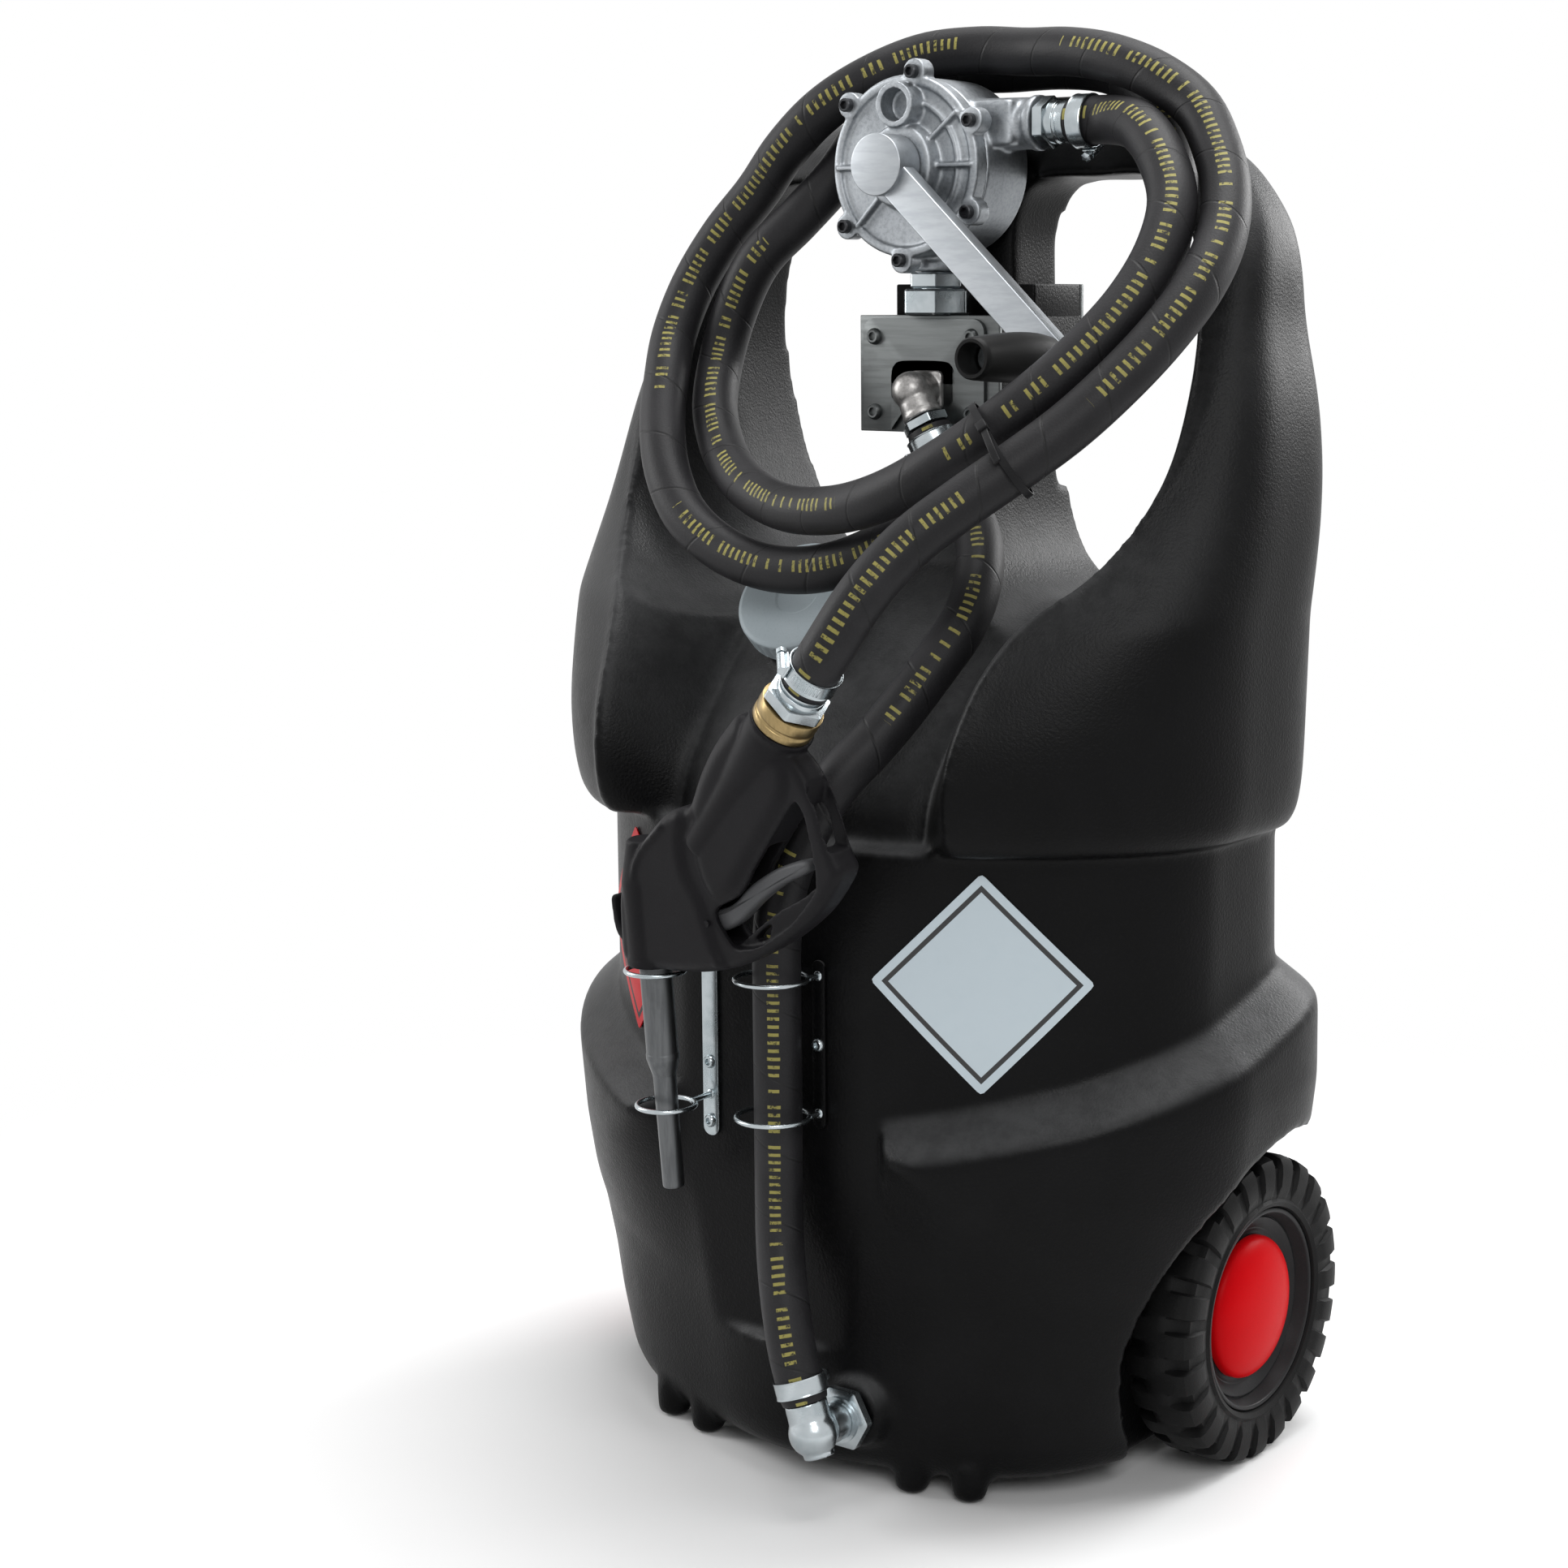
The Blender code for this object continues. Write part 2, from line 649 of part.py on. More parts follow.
def tyreMesh():
    half = wheelWidth / 2
    inner = rimRadius + gap
    rings = []
    sections = lugCount * 2
    for j in range(sections):
        a = 2 * math.pi * j / sections
        dent = lugDepth if j % 2 else 0
        crown = wheelRadius
        shoulder = wheelRadius - lugDepth * 0.5 - dent
        wall = wheelRadius - (wheelRadius - rimRadius) * 0.42 - dent * 0.5
        section = [(inner, -half * 0.90), (wall, -half), (shoulder, -half * 0.90),
                   (crown, -half * shoulderShare), (crown, half * shoulderShare),
                   (shoulder, half * 0.90), (wall, half), (inner, half * 0.90)]
        rings.append([(r * math.cos(a), r * math.sin(a), h) for r, h in section])
    return ringsMesh(rings, closed=True)


def rimMesh():
    half = wheelWidth * 0.42
    barrel = rimRadius * 0.90
    lip = rimRadius * 0.94
    bore = axleRadius + gap
    ring = [(bore, -half), (hubRadius, -half), (hubRadius, webOut - webThick), (barrel, webOut - webThick),
            (barrel, -half), (rimRadius, -half), (rimRadius, half), (lip, half),
            (barrel, webOut + webThick), (barrel * 0.82, webOut), (bore, webOut), (bore, -half)]
    return turnedMesh(ring, 20)


def hubCapMesh():
    base = webOut + gap
    high = wheelWidth / 2 - base
    wall = webThick * 0.5
    r = hubCapRadius
    ring = [(0, base + high), (r * 0.45, base + high * 0.93), (r * 0.78, base + high * 0.72),
            (r * 0.95, base + high * 0.40), (r, base), (r - wall, base), (r * 0.80, base + high * 0.48),
            (0, base + high * 0.78)]
    return turnedMesh(ring, 20)


wheelMiddle = wheelOuter - wheelWidth / 2
clipHigh = 0.002
for side, word in ((-1, "left"), (1, "right")):
    turn = toRight if side > 0 else Matrix.Rotation(math.radians(-90), 4, "Y")
    hub = addEmpty("wheel_" + word, at(side * wheelMiddle, axleY, wheelRadius) @ turn)
    addObject("tyre_" + word, tyreMesh(), matTyre, parent=hub, smooth=35)
    addObject("rim_" + word, rimMesh(), matRim, parent=hub, smooth=35)
    addObject("hub_cap_" + word, hubCapMesh(), matRed, parent=hub, smooth=50)
    clip = cylinderMesh(axleRadius * 1.7, webOut + gap, webOut + gap + clipHigh, 12, bore=axleRadius + gap)
    addObject("axle_clip_" + word, clip, matZinc, place=hub.matrix_world.copy(), smooth=35)
    low = -wheelMiddle + wellInner + gap
    washer = cylinderMesh(axleRadius * 2.1, low, -wheelWidth * 0.42 - gap, 14, bore=axleRadius + gap)
    addObject("wheel_spacer_" + word, washer, matZinc, place=hub.matrix_world.copy(), smooth=35)


# FILLER CAP

capPlace = aimed(Vector((capX, capY, capZ)) + capAxis * gap, capAxis)
gasketThick = 0.0015
addObject("cap_gasket", cylinderMesh(neckRadius - gap, 0, gasketThick, 20, bore=neckBore), matRubber,
          place=capPlace, smooth=35)
capPivot = addEmpty("cap_axis", capPlace)
capBase = gasketThick + gap
skirtBore = neckRadius + gap * 3
addObject("filler_cap", turnedMesh([
    (0, capBase + capThick * 0.55), (capRadius * 0.90, capBase + capThick * 0.55),
    (capRadius, capBase + capThick * 0.45), (capRadius, capBase - capThick * 0.45),
    (skirtBore, capBase - capThick * 0.45), (skirtBore, capBase), (0, capBase)], 24),
    matCap, parent=capPivot, smooth=35)


# PUMP BRACKET

plateX = -0.0025
screwShares = [(-0.40, 0.34), (0.40, 0.34), (-0.40, -0.34), (0.40, -0.34)]
frontPlate = addObject("bracket_front_plate", prismMesh(
    roundedOutline(plateWidth / 2, plateHeight / 2, plateWidth * 0.09), 0, plateThick), matPlate,
    place=at(plateX, plateY + plateThick, plateZ) @ toFront)
archHalf = plateWidth * 0.26
archTop = plateHeight * 0.12
archOutline = [(-archHalf, -plateHeight), (archHalf, -plateHeight), (archHalf, archTop * 0.4),
               (archHalf * 0.9, archTop * 0.8), (archHalf * 0.6, archTop), (-archHalf * 0.6, archTop),
               (-archHalf * 0.9, archTop * 0.8), (-archHalf, archTop * 0.4)]
cutBy(frontPlate, prismMesh(archOutline, -overrun, plateThick + overrun),
      place=at(plateX, plateY + plateThick, plateZ) @ toFront, name="plate_arch")

backThick = plateThick * 1.3
backLow = plateY + plateThick + gap
backHalf = plateWidth * 0.575
backTop = plateZ + plateHeight * 0.53
backBottom = plateZ - plateHeight * 0.52
addObject("bracket_back_plate", boxMesh((-backHalf, backLow, backBottom),
                                        (backHalf, backLow + backThick, backTop)), matPlate,
          place=at(0, 0, 0))

for u, v in screwShares:
    spot = (plateX + u * plateWidth, plateY, plateZ + v * plateHeight)
    joinWith(frontPlate, buttonScrew(screwRadius * 1.25, screwHigh * 1.2), place=aimed(spot, (0, -1, 0)),
             name="plate_screw")

blockLow = backLow + backThick + gap
blockHalf = backHalf
blockTop = backTop
blockBottom = backBottom
armTop = blockTop + plateHeight * 0.28
slotX = postHalf + gap
slotY = postFront - gap
blockOutline = [(-blockHalf, blockLow), (blockHalf, blockLow), (blockHalf, postBack), (slotX, postBack),
                (slotX, slotY), (-slotX, slotY), (-slotX, postBack), (-blockHalf, postBack)]
block = addObject("bracket_block", prismMesh(blockOutline, blockBottom, armTop), matPlate,
                  place=at(0, 0, 0))
cutBy(block, boxMesh((-blockHalf - overrun, blockLow - overrun, blockTop),
                     (blockHalf + overrun, slotY, armTop + overrun)), place=at(0, 0, 0), name="block_top")

rearLow = postBack + gap
rearThick = plateThick * 1.3
rearPlate = addObject("bracket_rear_plate", boxMesh((-blockHalf, rearLow, blockBottom),
                                                    (blockHalf, rearLow + rearThick, armTop)), matPlate,
                      place=at(0, 0, 0))
boltHigh = 0.005
for side in (-1, 1):
    for share in (0.2, 0.8):
        spot = (side * (blockHalf + slotX) / 2, rearLow + rearThick,
                blockBottom + share * (armTop - blockBottom))
        joinWith(rearPlate, prismMesh(hexOutline(screwRadius * 2.2), -sunk, boltHigh),
                 place=aimed(spot, (0, 1, 0)), name="bolt")

# Elbow out of the bracket, down and to the right.
elbowX = 0.0015
elbowZ = 0.7068
elbowDown = Vector((0.486, 0, -0.874)).normalized()
elbowBend = Vector((elbowX, 0, elbowZ))
flangeHalf = fittingRadius * 1.05
elbowSeat = backLow - gap
elbow = addObject("bracket_elbow", boxMesh((-flangeHalf, -flangeHalf, 0),
                                           (flangeHalf, flangeHalf, plateThick * 2)), matCast,
                  place=at(elbowX, elbowSeat, elbowZ) @ toFront, smooth=35)
joinWith(elbow, cylinderMesh(fittingRadius, plateThick, elbowSeat, 20),
         place=at(elbowX, elbowSeat, elbowZ) @ toFront, name="elbow_in")
elbowBall = fittingRadius * 1.08


def ballMesh(radius, sides=14, rows=6):
    pts = [(radius * math.sin(math.pi * k / rows), radius * math.cos(math.pi * k / rows))
           for k in range(rows + 1)]
    pts[0] = (0, radius)
    pts[-1] = (0, -radius)
    return turnedMesh(pts, sides)


joinWith(elbow, ballMesh(elbowBall), place=aimed(elbowBend, elbowDown), name="elbow_ball")
elbowLong = fittingRadius * 1.6
joinWith(elbow, cylinderMesh(fittingRadius, 0, elbowLong, 20), place=aimed(elbowBend, elbowDown),
         name="elbow_out")
nutHigh = 0.008
nutFlats = 0.028
nutLow = elbowLong + gap
addObject("elbow_nut", prismMesh(hexOutline(nutFlats), nutLow, nutLow + nutHigh), matZinc,
          place=aimed(elbowBend, elbowDown, 12))
suctionTop = elbowBend + elbowDown * (nutLow + nutHigh + gap)


# PUMP

pumpCentre = Vector((pumpX, 0, pumpZ))
coverBack = coverFront + coverThick
gasketHigh = 0.001
bodyFront = coverBack + gap * 2 + gasketHigh
bodyBack = coverFront + pumpDepth
bodyRadius = coverRadius * 0.985
portY = bodyFront + (bodyBack - bodyFront) * 0.48
portBore = portRadius * 0.6
backWall = 0.007
chamberDrop = 0.006


def pumpPlace(y):
    return at(pumpX, y, pumpZ) @ toFront


body = addObject("pump_body", turnedMesh([(0, -bodyBack), (bodyRadius * 0.94, -bodyBack),
                                          (bodyRadius, -bodyBack + backWall * 0.5), (bodyRadius, -bodyFront),
                                          (0, -bodyFront)], 28), matCast, place=pumpPlace(0), smooth=35)
outletAxis = at(pumpX, portY, pumpZ + outletRise) @ toRight
portEnd = coverRadius * 1.44
joinWith(body, cylinderMesh(portRadius, chamberRadius * 0.6, portEnd, 20), place=outletAxis, name="port_out")
neckLow = pumpZ - bodyRadius - portRadius * 0.6
inletAxis = at(pumpX, portY, 0)
joinWith(body, cylinderMesh(portRadius, neckLow, pumpZ - chamberRadius, 20), place=inletAxis, name="port_in")
chamberLow = -bodyBack + backWall
cutBy(body, cylinderMesh(chamberRadius, chamberLow, -bodyFront + overrun, 28),
      place=at(pumpX, 0, pumpZ - chamberDrop) @ toFront, name="chamber")
cutBy(body, cylinderMesh(portBore, chamberRadius * 0.5, portEnd + overrun, 16), place=outletAxis,
      name="outlet_way")
cutBy(body, cylinderMesh(portBore, neckLow - overrun, pumpZ - chamberRadius * 0.8, 16), place=inletAxis,
      name="inlet_way")

addObject("pump_gasket", cylinderMesh(bodyRadius - gap, -coverBack - gap - gasketHigh, -coverBack - gap, 24,
                                      bore=chamberRadius + chamberDrop + gap), matRubber,
          place=pumpPlace(0), smooth=35)

bushRadius = shaftRadius * 1.4
coverHub = coverRadius * 0.45
hubRise = 0.011
rimRise = 0.003
faceY = -coverFront
coverRing = [(bushRadius + gap, -coverBack), (coverRadius, -coverBack), (coverRadius, faceY + rimRise * 0.5),
             (coverRadius * 0.97, faceY + rimRise), (coverRadius * 0.91, faceY + rimRise),
             (coverRadius * 0.89, faceY), (coverHub * 1.06, faceY), (coverHub, faceY + hubRise * 0.9),
             (coverHub * 0.93, faceY + hubRise), (bushRadius + gap, faceY + hubRise),
             (bushRadius + gap, -coverBack)]
cover = addObject("pump_cover", turnedMesh(coverRing, 24), matCast, place=pumpPlace(0), smooth=35)
lugAngles = [27, 82, 138, 219, 268, 330]
lugCircle = coverRadius * 1.035
lugRadius = coverRadius * 0.145
for degrees in lugAngles:
    a = math.radians(degrees)
    joinWith(cover, cylinderMesh(lugRadius, -coverBack + gap, faceY + rimRise * 1.2, 8),
             place=at(pumpX + lugCircle * math.cos(a), 0, pumpZ + lugCircle * math.sin(a)) @ toFront,
             name="lug")
ribThick = 0.003
ribRise = 0.005
for degrees in (0, 38, 180, 225, 315):
    rib = boxMesh((coverHub * 0.97, -ribThick / 2, -coverBack / 2), (coverRadius * 0.94, ribThick / 2,
                                                                      faceY + ribRise))
    joinWith(cover, rib, place=pumpPlace(0) @ Matrix.Rotation(math.radians(degrees), 4, "Z"), name="rib")
bossRise = 0.014
bossUp = coverRadius * 0.665
bossOuter = coverRadius * 0.25
bossPlace = at(pumpX, 0, pumpZ + bossUp) @ toFront
joinWith(cover, cylinderMesh(bossOuter, -coverBack / 2, faceY + bossRise, 20), place=bossPlace, name="boss")
cutBy(cover, cylinderMesh(bossOuter * 0.72, faceY + gap, faceY + bossRise + overrun, 20), place=bossPlace,
      name="boss_bore")

capScrewRadius = 0.0046
capScrewHigh = 0.005
for degrees in lugAngles:
    a = math.radians(degrees)
    spot = at(pumpX + lugCircle * math.cos(a), 0, pumpZ + lugCircle * math.sin(a)) @ toFront
    joinWith(cover, cylinderMesh(capScrewRadius, faceY + rimRise * 1.2 - sunk,
                                 faceY + rimRise * 1.2 + capScrewHigh, 8), place=spot, name="cover_screw")

addObject("shaft_bush", cylinderMesh(bushRadius, -coverBack, faceY + hubRise, 20, bore=shaftRadius + gap),
          matBrass, place=pumpPlace(0), smooth=35)

crank = addEmpty("crank_axis", pumpPlace(0))
rotorRoom = 0.001
rotorRadius = chamberRadius - chamberDrop - rotorRoom
rotorLow = chamberLow + gap * 2
shaftTop = -armFront - gap
addObject("pump_shaft", cylinderMesh(shaftRadius, rotorLow, shaftTop - gap, 20), matSteel, parent=crank,
          smooth=35)
rotorTop = -bodyFront - gap
rotor = addObject("pump_rotor", cylinderMesh(rotorRadius, rotorLow, rotorTop, 24, bore=shaftRadius + gap),
                  matCast, parent=crank, smooth=35)
vaneThick = 0.005
vaneLow = rotorRadius * 0.55
for k in range(4):
    turn = Matrix.Rotation(math.pi / 2 * k + math.pi / 4, 4, "Z")
    slot = boxMesh((vaneLow - gap, -vaneThick / 2 - gap, rotorLow - overrun),
                   (rotorRadius + overrun, vaneThick / 2 + gap, rotorTop + overrun))
    cutBy(rotor, slot, place=pumpPlace(0) @ turn, name="vane_slot")
    vane = boxMesh((vaneLow, -vaneThick / 2, rotorLow), (rotorRadius - gap, vaneThick / 2, rotorTop))
    vane.transform(turn)
    addObject("pump_vane_" + str(k + 1), vane, matScrew, parent=crank)

# Outlet fitting, and the nuts under the pump.
outletHexLow = portEnd + gap
outletHexLong = 0.018
outletFlats = 0.030
hexOuter = addObject("outlet_fitting", prismMesh(hexOutline(outletFlats), outletHexLow,
                                                 outletHexLow + outletHexLong), matZinc, place=outletAxis)
joinWith(hexOuter, cylinderMesh(outletFlats * 0.46, outletHexLow + outletHexLong / 2,
                                outletHexLow + outletHexLong * 1.25, 20), place=outletAxis, name="collar")
deliveryStart = Vector((pumpX + outletHexLow + outletHexLong * 1.25 + gap, portY, pumpZ + outletRise))

nutTopFlats = 0.034
nutLowFlats = 0.042
nippleRadius = 0.0120
nippleLow = blockTop + gap
nutSplit = nippleLow + (neckLow - nippleLow) * 0.60
addObject("inlet_nipple", cylinderMesh(nippleRadius, nippleLow, neckLow - gap, 16, bore=portBore), matZinc,
          place=inletAxis, smooth=35)
for name, flats, low, high in (("inlet_nut_top", nutTopFlats, nutSplit + gap, neckLow - gap),
                               ("inlet_nut_low", nutLowFlats, nippleLow, nutSplit)):
    nut = addObject(name, prismMesh(hexOutline(flats), low, high), matZinc, place=inletAxis)
    cutBy(nut, cylinderMesh(nippleRadius + gap, low - overrun, high + overrun, 20), place=inletAxis,
          name="nut_bore")


# CRANK ARM AND GRIP

armAngle = math.radians(-42.3)
armDirection = Vector((math.cos(armAngle), 0, math.sin(armAngle)))
hubDisc = 0.0200
hubProud = 0.004
hubFront = -armFront + hubProud
hubBack = faceY + hubRise + gap * 2
armBack = -armFront - armThick
armTurn = Matrix.Rotation(armAngle, 4, "Z")
arm = addObject("crank_arm", cylinderMesh(hubDisc, hubBack, hubFront, 24), matArm, parent=crank, smooth=35)
armEnd = []
for k in range(9):
    a = -math.pi / 2 + math.pi * k / 8
    armEnd.append((crankRadius + armWidth / 2 * math.cos(a), armWidth / 2 * math.sin(a)))
armOutline = [(0, -armWidth / 2)] + armEnd + [(0, armWidth / 2)]
joinWith(arm, prismMesh(armOutline, armBack, -armFront), place=pumpPlace(0) @ armTurn, name="arm_bar")
cutBy(arm, cylinderMesh(shaftRadius + gap, hubBack - overrun, shaftTop, 20), place=pumpPlace(0),
      name="arm_bore")
gripCentre = pumpCentre + armDirection * crankRadius
pinPlace = at(gripCentre.x, 0, gripCentre.z) @ toFront
cutBy(arm, cylinderMesh(gripPinRadius + gap, armBack - overrun, -armFront + overrun, 16), place=pinPlace,
      name="pin_bore")

pinHead = gripRadius * 0.66
pinHeadLow = -armFront + gripLength * 0.74
pinHeadHigh = 0.003
addObject("grip_pin", turnedMesh([(gripPinRadius, armBack), (gripPinRadius, pinHeadLow),
                                  (pinHead, pinHeadLow), (pinHead, pinHeadLow + pinHeadHigh)], 16), matZinc,
          parent=crank, smooth=35)
bpy.data.objects["grip_pin"].matrix_local = (crank.matrix_world.inverted() @ pinPlace)
gripAxis = addEmpty("grip_axis", pinPlace @ Matrix.Translation((0, 0, -armFront + gap)))
bore = gripPinRadius + gap
well = gripRadius * 0.76
wellLow = gripLength * 0.74 - gap * 3
addObject("grip", turnedMesh([
    (bore, 0), (gripRadius, 0), (gripBulge * 0.96, gripLength * 0.2), (gripBulge, gripLength * 0.45),
    (gripBulge * 0.92, gripLength * 0.75), (gripRadius * 1.04, gripLength * 0.97),
    (gripRadius * 0.96, gripLength), (well, gripLength), (well, wellLow), (bore, wellLow), (bore, 0)], 16),
    matRubber, parent=gripAxis, smooth=40)

# NOZZLE

# Local x runs from the spout to the guard, y up along the spout, z to the front.
nozzlePlace = (at(nozzleX, nozzleY, nozzleZ) @ Matrix.Rotation(math.radians(-nozzleYaw), 4, "Z")
               @ Matrix.Rotation(math.radians(90 + nozzleLean), 4, "X"))


def shaped(shares):
    """An outline given as shares of the nozzle's width and height."""
    return [(u * nozzleWide, v * nozzleTall) for u, v in shares]


def insetOutline(outline, depth):
    """The outline moved inward by a depth, corner by corner."""
    pts = [Vector(q) for q in outline]
    area = sum(a.x * b.y - b.x * a.y for a, b in zip(pts, pts[1:] + pts[:1]))
    side = 1 if area > 0 else -1
    moved = []
    for k, q in enumerate(pts):
        before = (q - pts[k - 1]).normalized()
        after = (pts[(k + 1) % len(pts)] - q).normalized()
        n1 = Vector((-before.y, before.x)) * side
        n2 = Vector((-after.y, after.x)) * side
        mid = (n1 + n2).normalized()
        moved.append(tuple(q + mid * depth / max(mid.dot(n1), 0.5)))
    return moved


bodyShares = [(-0.088, 0.000), (-0.088, 0.100), (-0.080, 0.262), (-0.014, 0.393), (0.112, 0.527),
              (0.172, 0.578), (0.227, 0.595), (0.256, 0.590), (0.315, 0.722), (0.387, 0.832),
              (0.465, 0.915), (0.498, 0.950), (0.722, 0.820), (0.803, 0.684), (0.853, 0.504),
              (0.889, 0.456), (0.779, 0.304), (0.644, 0.193), (0.519, 0.117), (0.411, 0.060),
              (0.267, 0.020), (0.100, 0.000)]
openShares = [(0.722, 0.690), (0.608, 0.537), (0.520, 0.415), (0.500, 0.378), (0.452, 0.318),
              (0.345, 0.262), (0.345, 0.215), (0.416, 0.128), (0.522, 0.152), (0.666, 0.252),
              (0.775, 0.378), (0.787, 0.420), (0.778, 0.507), (0.762, 0.599), (0.750, 0.640)]
windowShares = [(0.470, 0.152), (0.535, 0.176), (0.560, 0.240), (0.500, 0.195)]
throatShares = [(0.268, 0.130), (0.400, 0.130), (0.520, 0.230), (0.640, 0.500), (0.500, 0.520),
                (0.370, 0.390), (0.268, 0.290)]
leverShares = [(0.288, 0.205), (0.300, 0.240), (0.345, 0.250), (0.405, 0.280), (0.470, 0.350),
               (0.590, 0.430), (0.722, 0.480), (0.736, 0.455), (0.720, 0.430), (0.600, 0.372),
               (0.490, 0.285), (0.420, 0.215), (0.340, 0.165), (0.300, 0.175)]
halfNozzle = nozzleThick / 2
edgeShare = 0.42             # how much of the half thickness the rounded edge takes
roundIn = halfNozzle * edgeShare


def plumpMesh(outline, half, edge):
    """A plate whose rim is rounded in two steps on each side."""
    rings = []
    for depth, height in ((edge, -half), (edge * 0.35, -half + edge * 0.35), (0, -half + edge),
                          (0, half - edge), (edge * 0.35, half - edge * 0.35), (edge, half)):
        rings.append([(x, y, height) for x, y in insetOutline(outline, depth)])
    return ringsMesh(rings)


nozzle = addObject("nozzle_body", plumpMesh(shaped(bodyShares), halfNozzle, roundIn), matNozzle,
                   place=nozzlePlace, smooth=35)
neckRound = 0.0195
neckTurn = Vector((0.653, 0.757, 0))
neckStart = Vector((0.30 * nozzleWide, 0.44 * nozzleTall, 0))
neckEnd = Vector((0.656 * nozzleWide, 0.938 * nozzleTall, 0)) - neckTurn * 0.25 * neckRound


def localAxis(origin, direction):
    quat = Vector(direction).normalized().to_track_quat("Z", "Y")
    return nozzlePlace @ Matrix.Translation(origin) @ quat.to_matrix().to_4x4()


neckAxis = localAxis(neckEnd, neckTurn)
neckLength = (neckEnd - neckStart).length
joinWith(nozzle, turnedMesh([(neckRound * 0.80, -neckLength), (neckRound * 0.86, -neckLength / 2),
                             (neckRound * 1.05, -neckRound * 0.3), (neckRound * 1.12, 0)], 20),
         place=neckAxis, name="nozzle_neck")
spoutAxis = localAxis((0, 0, 0), (0, -1, 0))
socketRadius = 0.0172
socketLong = 0.055
joinWith(nozzle, turnedMesh([(socketRadius * 0.7, -socketLong * 1.5), (socketRadius, -socketLong),
                             (socketRadius, 0)], 20), place=spoutAxis, name="nozzle_socket")


def throughNozzle(name, shares, half):
    return cutBy(nozzle, prismMesh(shaped(shares), -half, half), place=nozzlePlace, name=name)


hookShares = [(-0.060, 0.030), (-0.120, 0.040), (-0.165, 0.090), (-0.175, 0.220), (-0.150, 0.225),
              (-0.145, 0.120), (-0.120, 0.085), (-0.060, 0.075)]
joinWith(nozzle, prismMesh(shaped(hookShares), -halfNozzle * 0.6, halfNozzle * 0.2), place=nozzlePlace,
         name="hanging_hook")
webHalf = 0.004
whole = halfNozzle + overrun
for low, high, name in ((webHalf, whole, "guard_front"), (-whole, -webHalf, "guard_back")):
    cutBy(nozzle, prismMesh(shaped(openShares), low, high), place=nozzlePlace, name=name)
aboveShares = [(0.722, 0.690), (0.608, 0.537), (0.520, 0.415), (0.500, 0.378), (0.452, 0.318),
               (0.345, 0.262), (0.345, 0.180), (0.430, 0.160), (0.500, 0.215), (0.600, 0.290),
               (0.700, 0.345), (0.787, 0.420), (0.778, 0.507), (0.762, 0.599), (0.750, 0.640)]
cutBy(nozzle, prismMesh(shaped(aboveShares), -webHalf - overrun / 4, webHalf + overrun / 4),
      place=nozzlePlace, name="guard_middle")
throughNozzle("guard_window", windowShares, whole)
triggerHalf = triggerThick / 2
throughNozzle("trigger_throat", throatShares, triggerHalf + gap * 3)

# Slot down the guard's outer side, open to the finger opening.
slotHalfWide = 0.0085
slotShares = [(0.730, 0.520), (0.950, 0.520), (0.900, 0.800), (0.772, 0.770), (0.745, 0.660)]
cutBy(nozzle, prismMesh(shaped(slotShares), -slotHalfWide, slotHalfWide), place=nozzlePlace,
      name="guard_slot")

# Ways through the body: from the hose end down to the valve, and on to the spout.
wayRadius = 0.0080
cutBy(nozzle, cylinderMesh(wayRadius, -neckLength * 0.45, overrun, 16), place=neckAxis, name="way_in")
spoutSeat = 0.030
cutBy(nozzle, cylinderMesh(spoutRadius + gap, -spoutSeat, overrun, 20), place=spoutAxis, name="spout_seat")

# Valve stem in its bore, driven by the lever.
stemTurn = Vector((-0.64, 0.77, 0)).normalized()
stemFoot = Vector((0.440 * nozzleWide, 0.340 * nozzleTall, 0))
stemAxis = localAxis(stemFoot, stemTurn)
stemLong = 0.034
stemHead = stemRadius * 1.9
stemBore = stemHead + gap * 2
springRoom = 0.024
cutBy(nozzle, cylinderMesh(stemBore, -overrun / 4, springRoom, 16), place=stemAxis, name="stem_room")
cutBy(nozzle, cylinderMesh(stemRadius + gap, springRoom - overrun / 4, stemLong + overrun * 1.2, 14),
      place=stemAxis, name="stem_bore")
stemHeadHigh = 0.003
stemPivot = addEmpty("stem_axis", stemAxis)
addObject("valve_stem", turnedMesh([(stemRadius, 0), (stemRadius, stemHeadHigh), (stemHead, stemHeadHigh),
                                    (stemHead, stemHeadHigh * 2), (stemRadius, stemHeadHigh * 2),
                                    (stemRadius, stemLong)], 14), matSteel, parent=stemPivot, smooth=35)

# Return spring of the valve, from the stem's head to the end of its room.
springLoops = 4
springWire = 0.0004
springRadius = (stemRadius + stemHead) / 2
springLow = stemHeadHigh * 2 + springWire + gap
springHigh = springRoom - springWire - gap
loopPoints = 10
springPoints = []
for k in range(springLoops * loopPoints + 1):
    a = 2 * math.pi * k / loopPoints
    share = k / (springLoops * loopPoints)
    springPoints.append(stemAxis @ Vector((springRadius * math.cos(a), springRadius * math.sin(a),
                                           springLow + share * (springHigh - springLow))))
tubeObject("valve_spring", [tuple(q) for q in springPoints], springWire, matSteel, 0)
print("valve spring, least gap between loops (mm):",
      round(((springHigh - springLow) / springLoops - 2 * springWire) * 1000, 2))

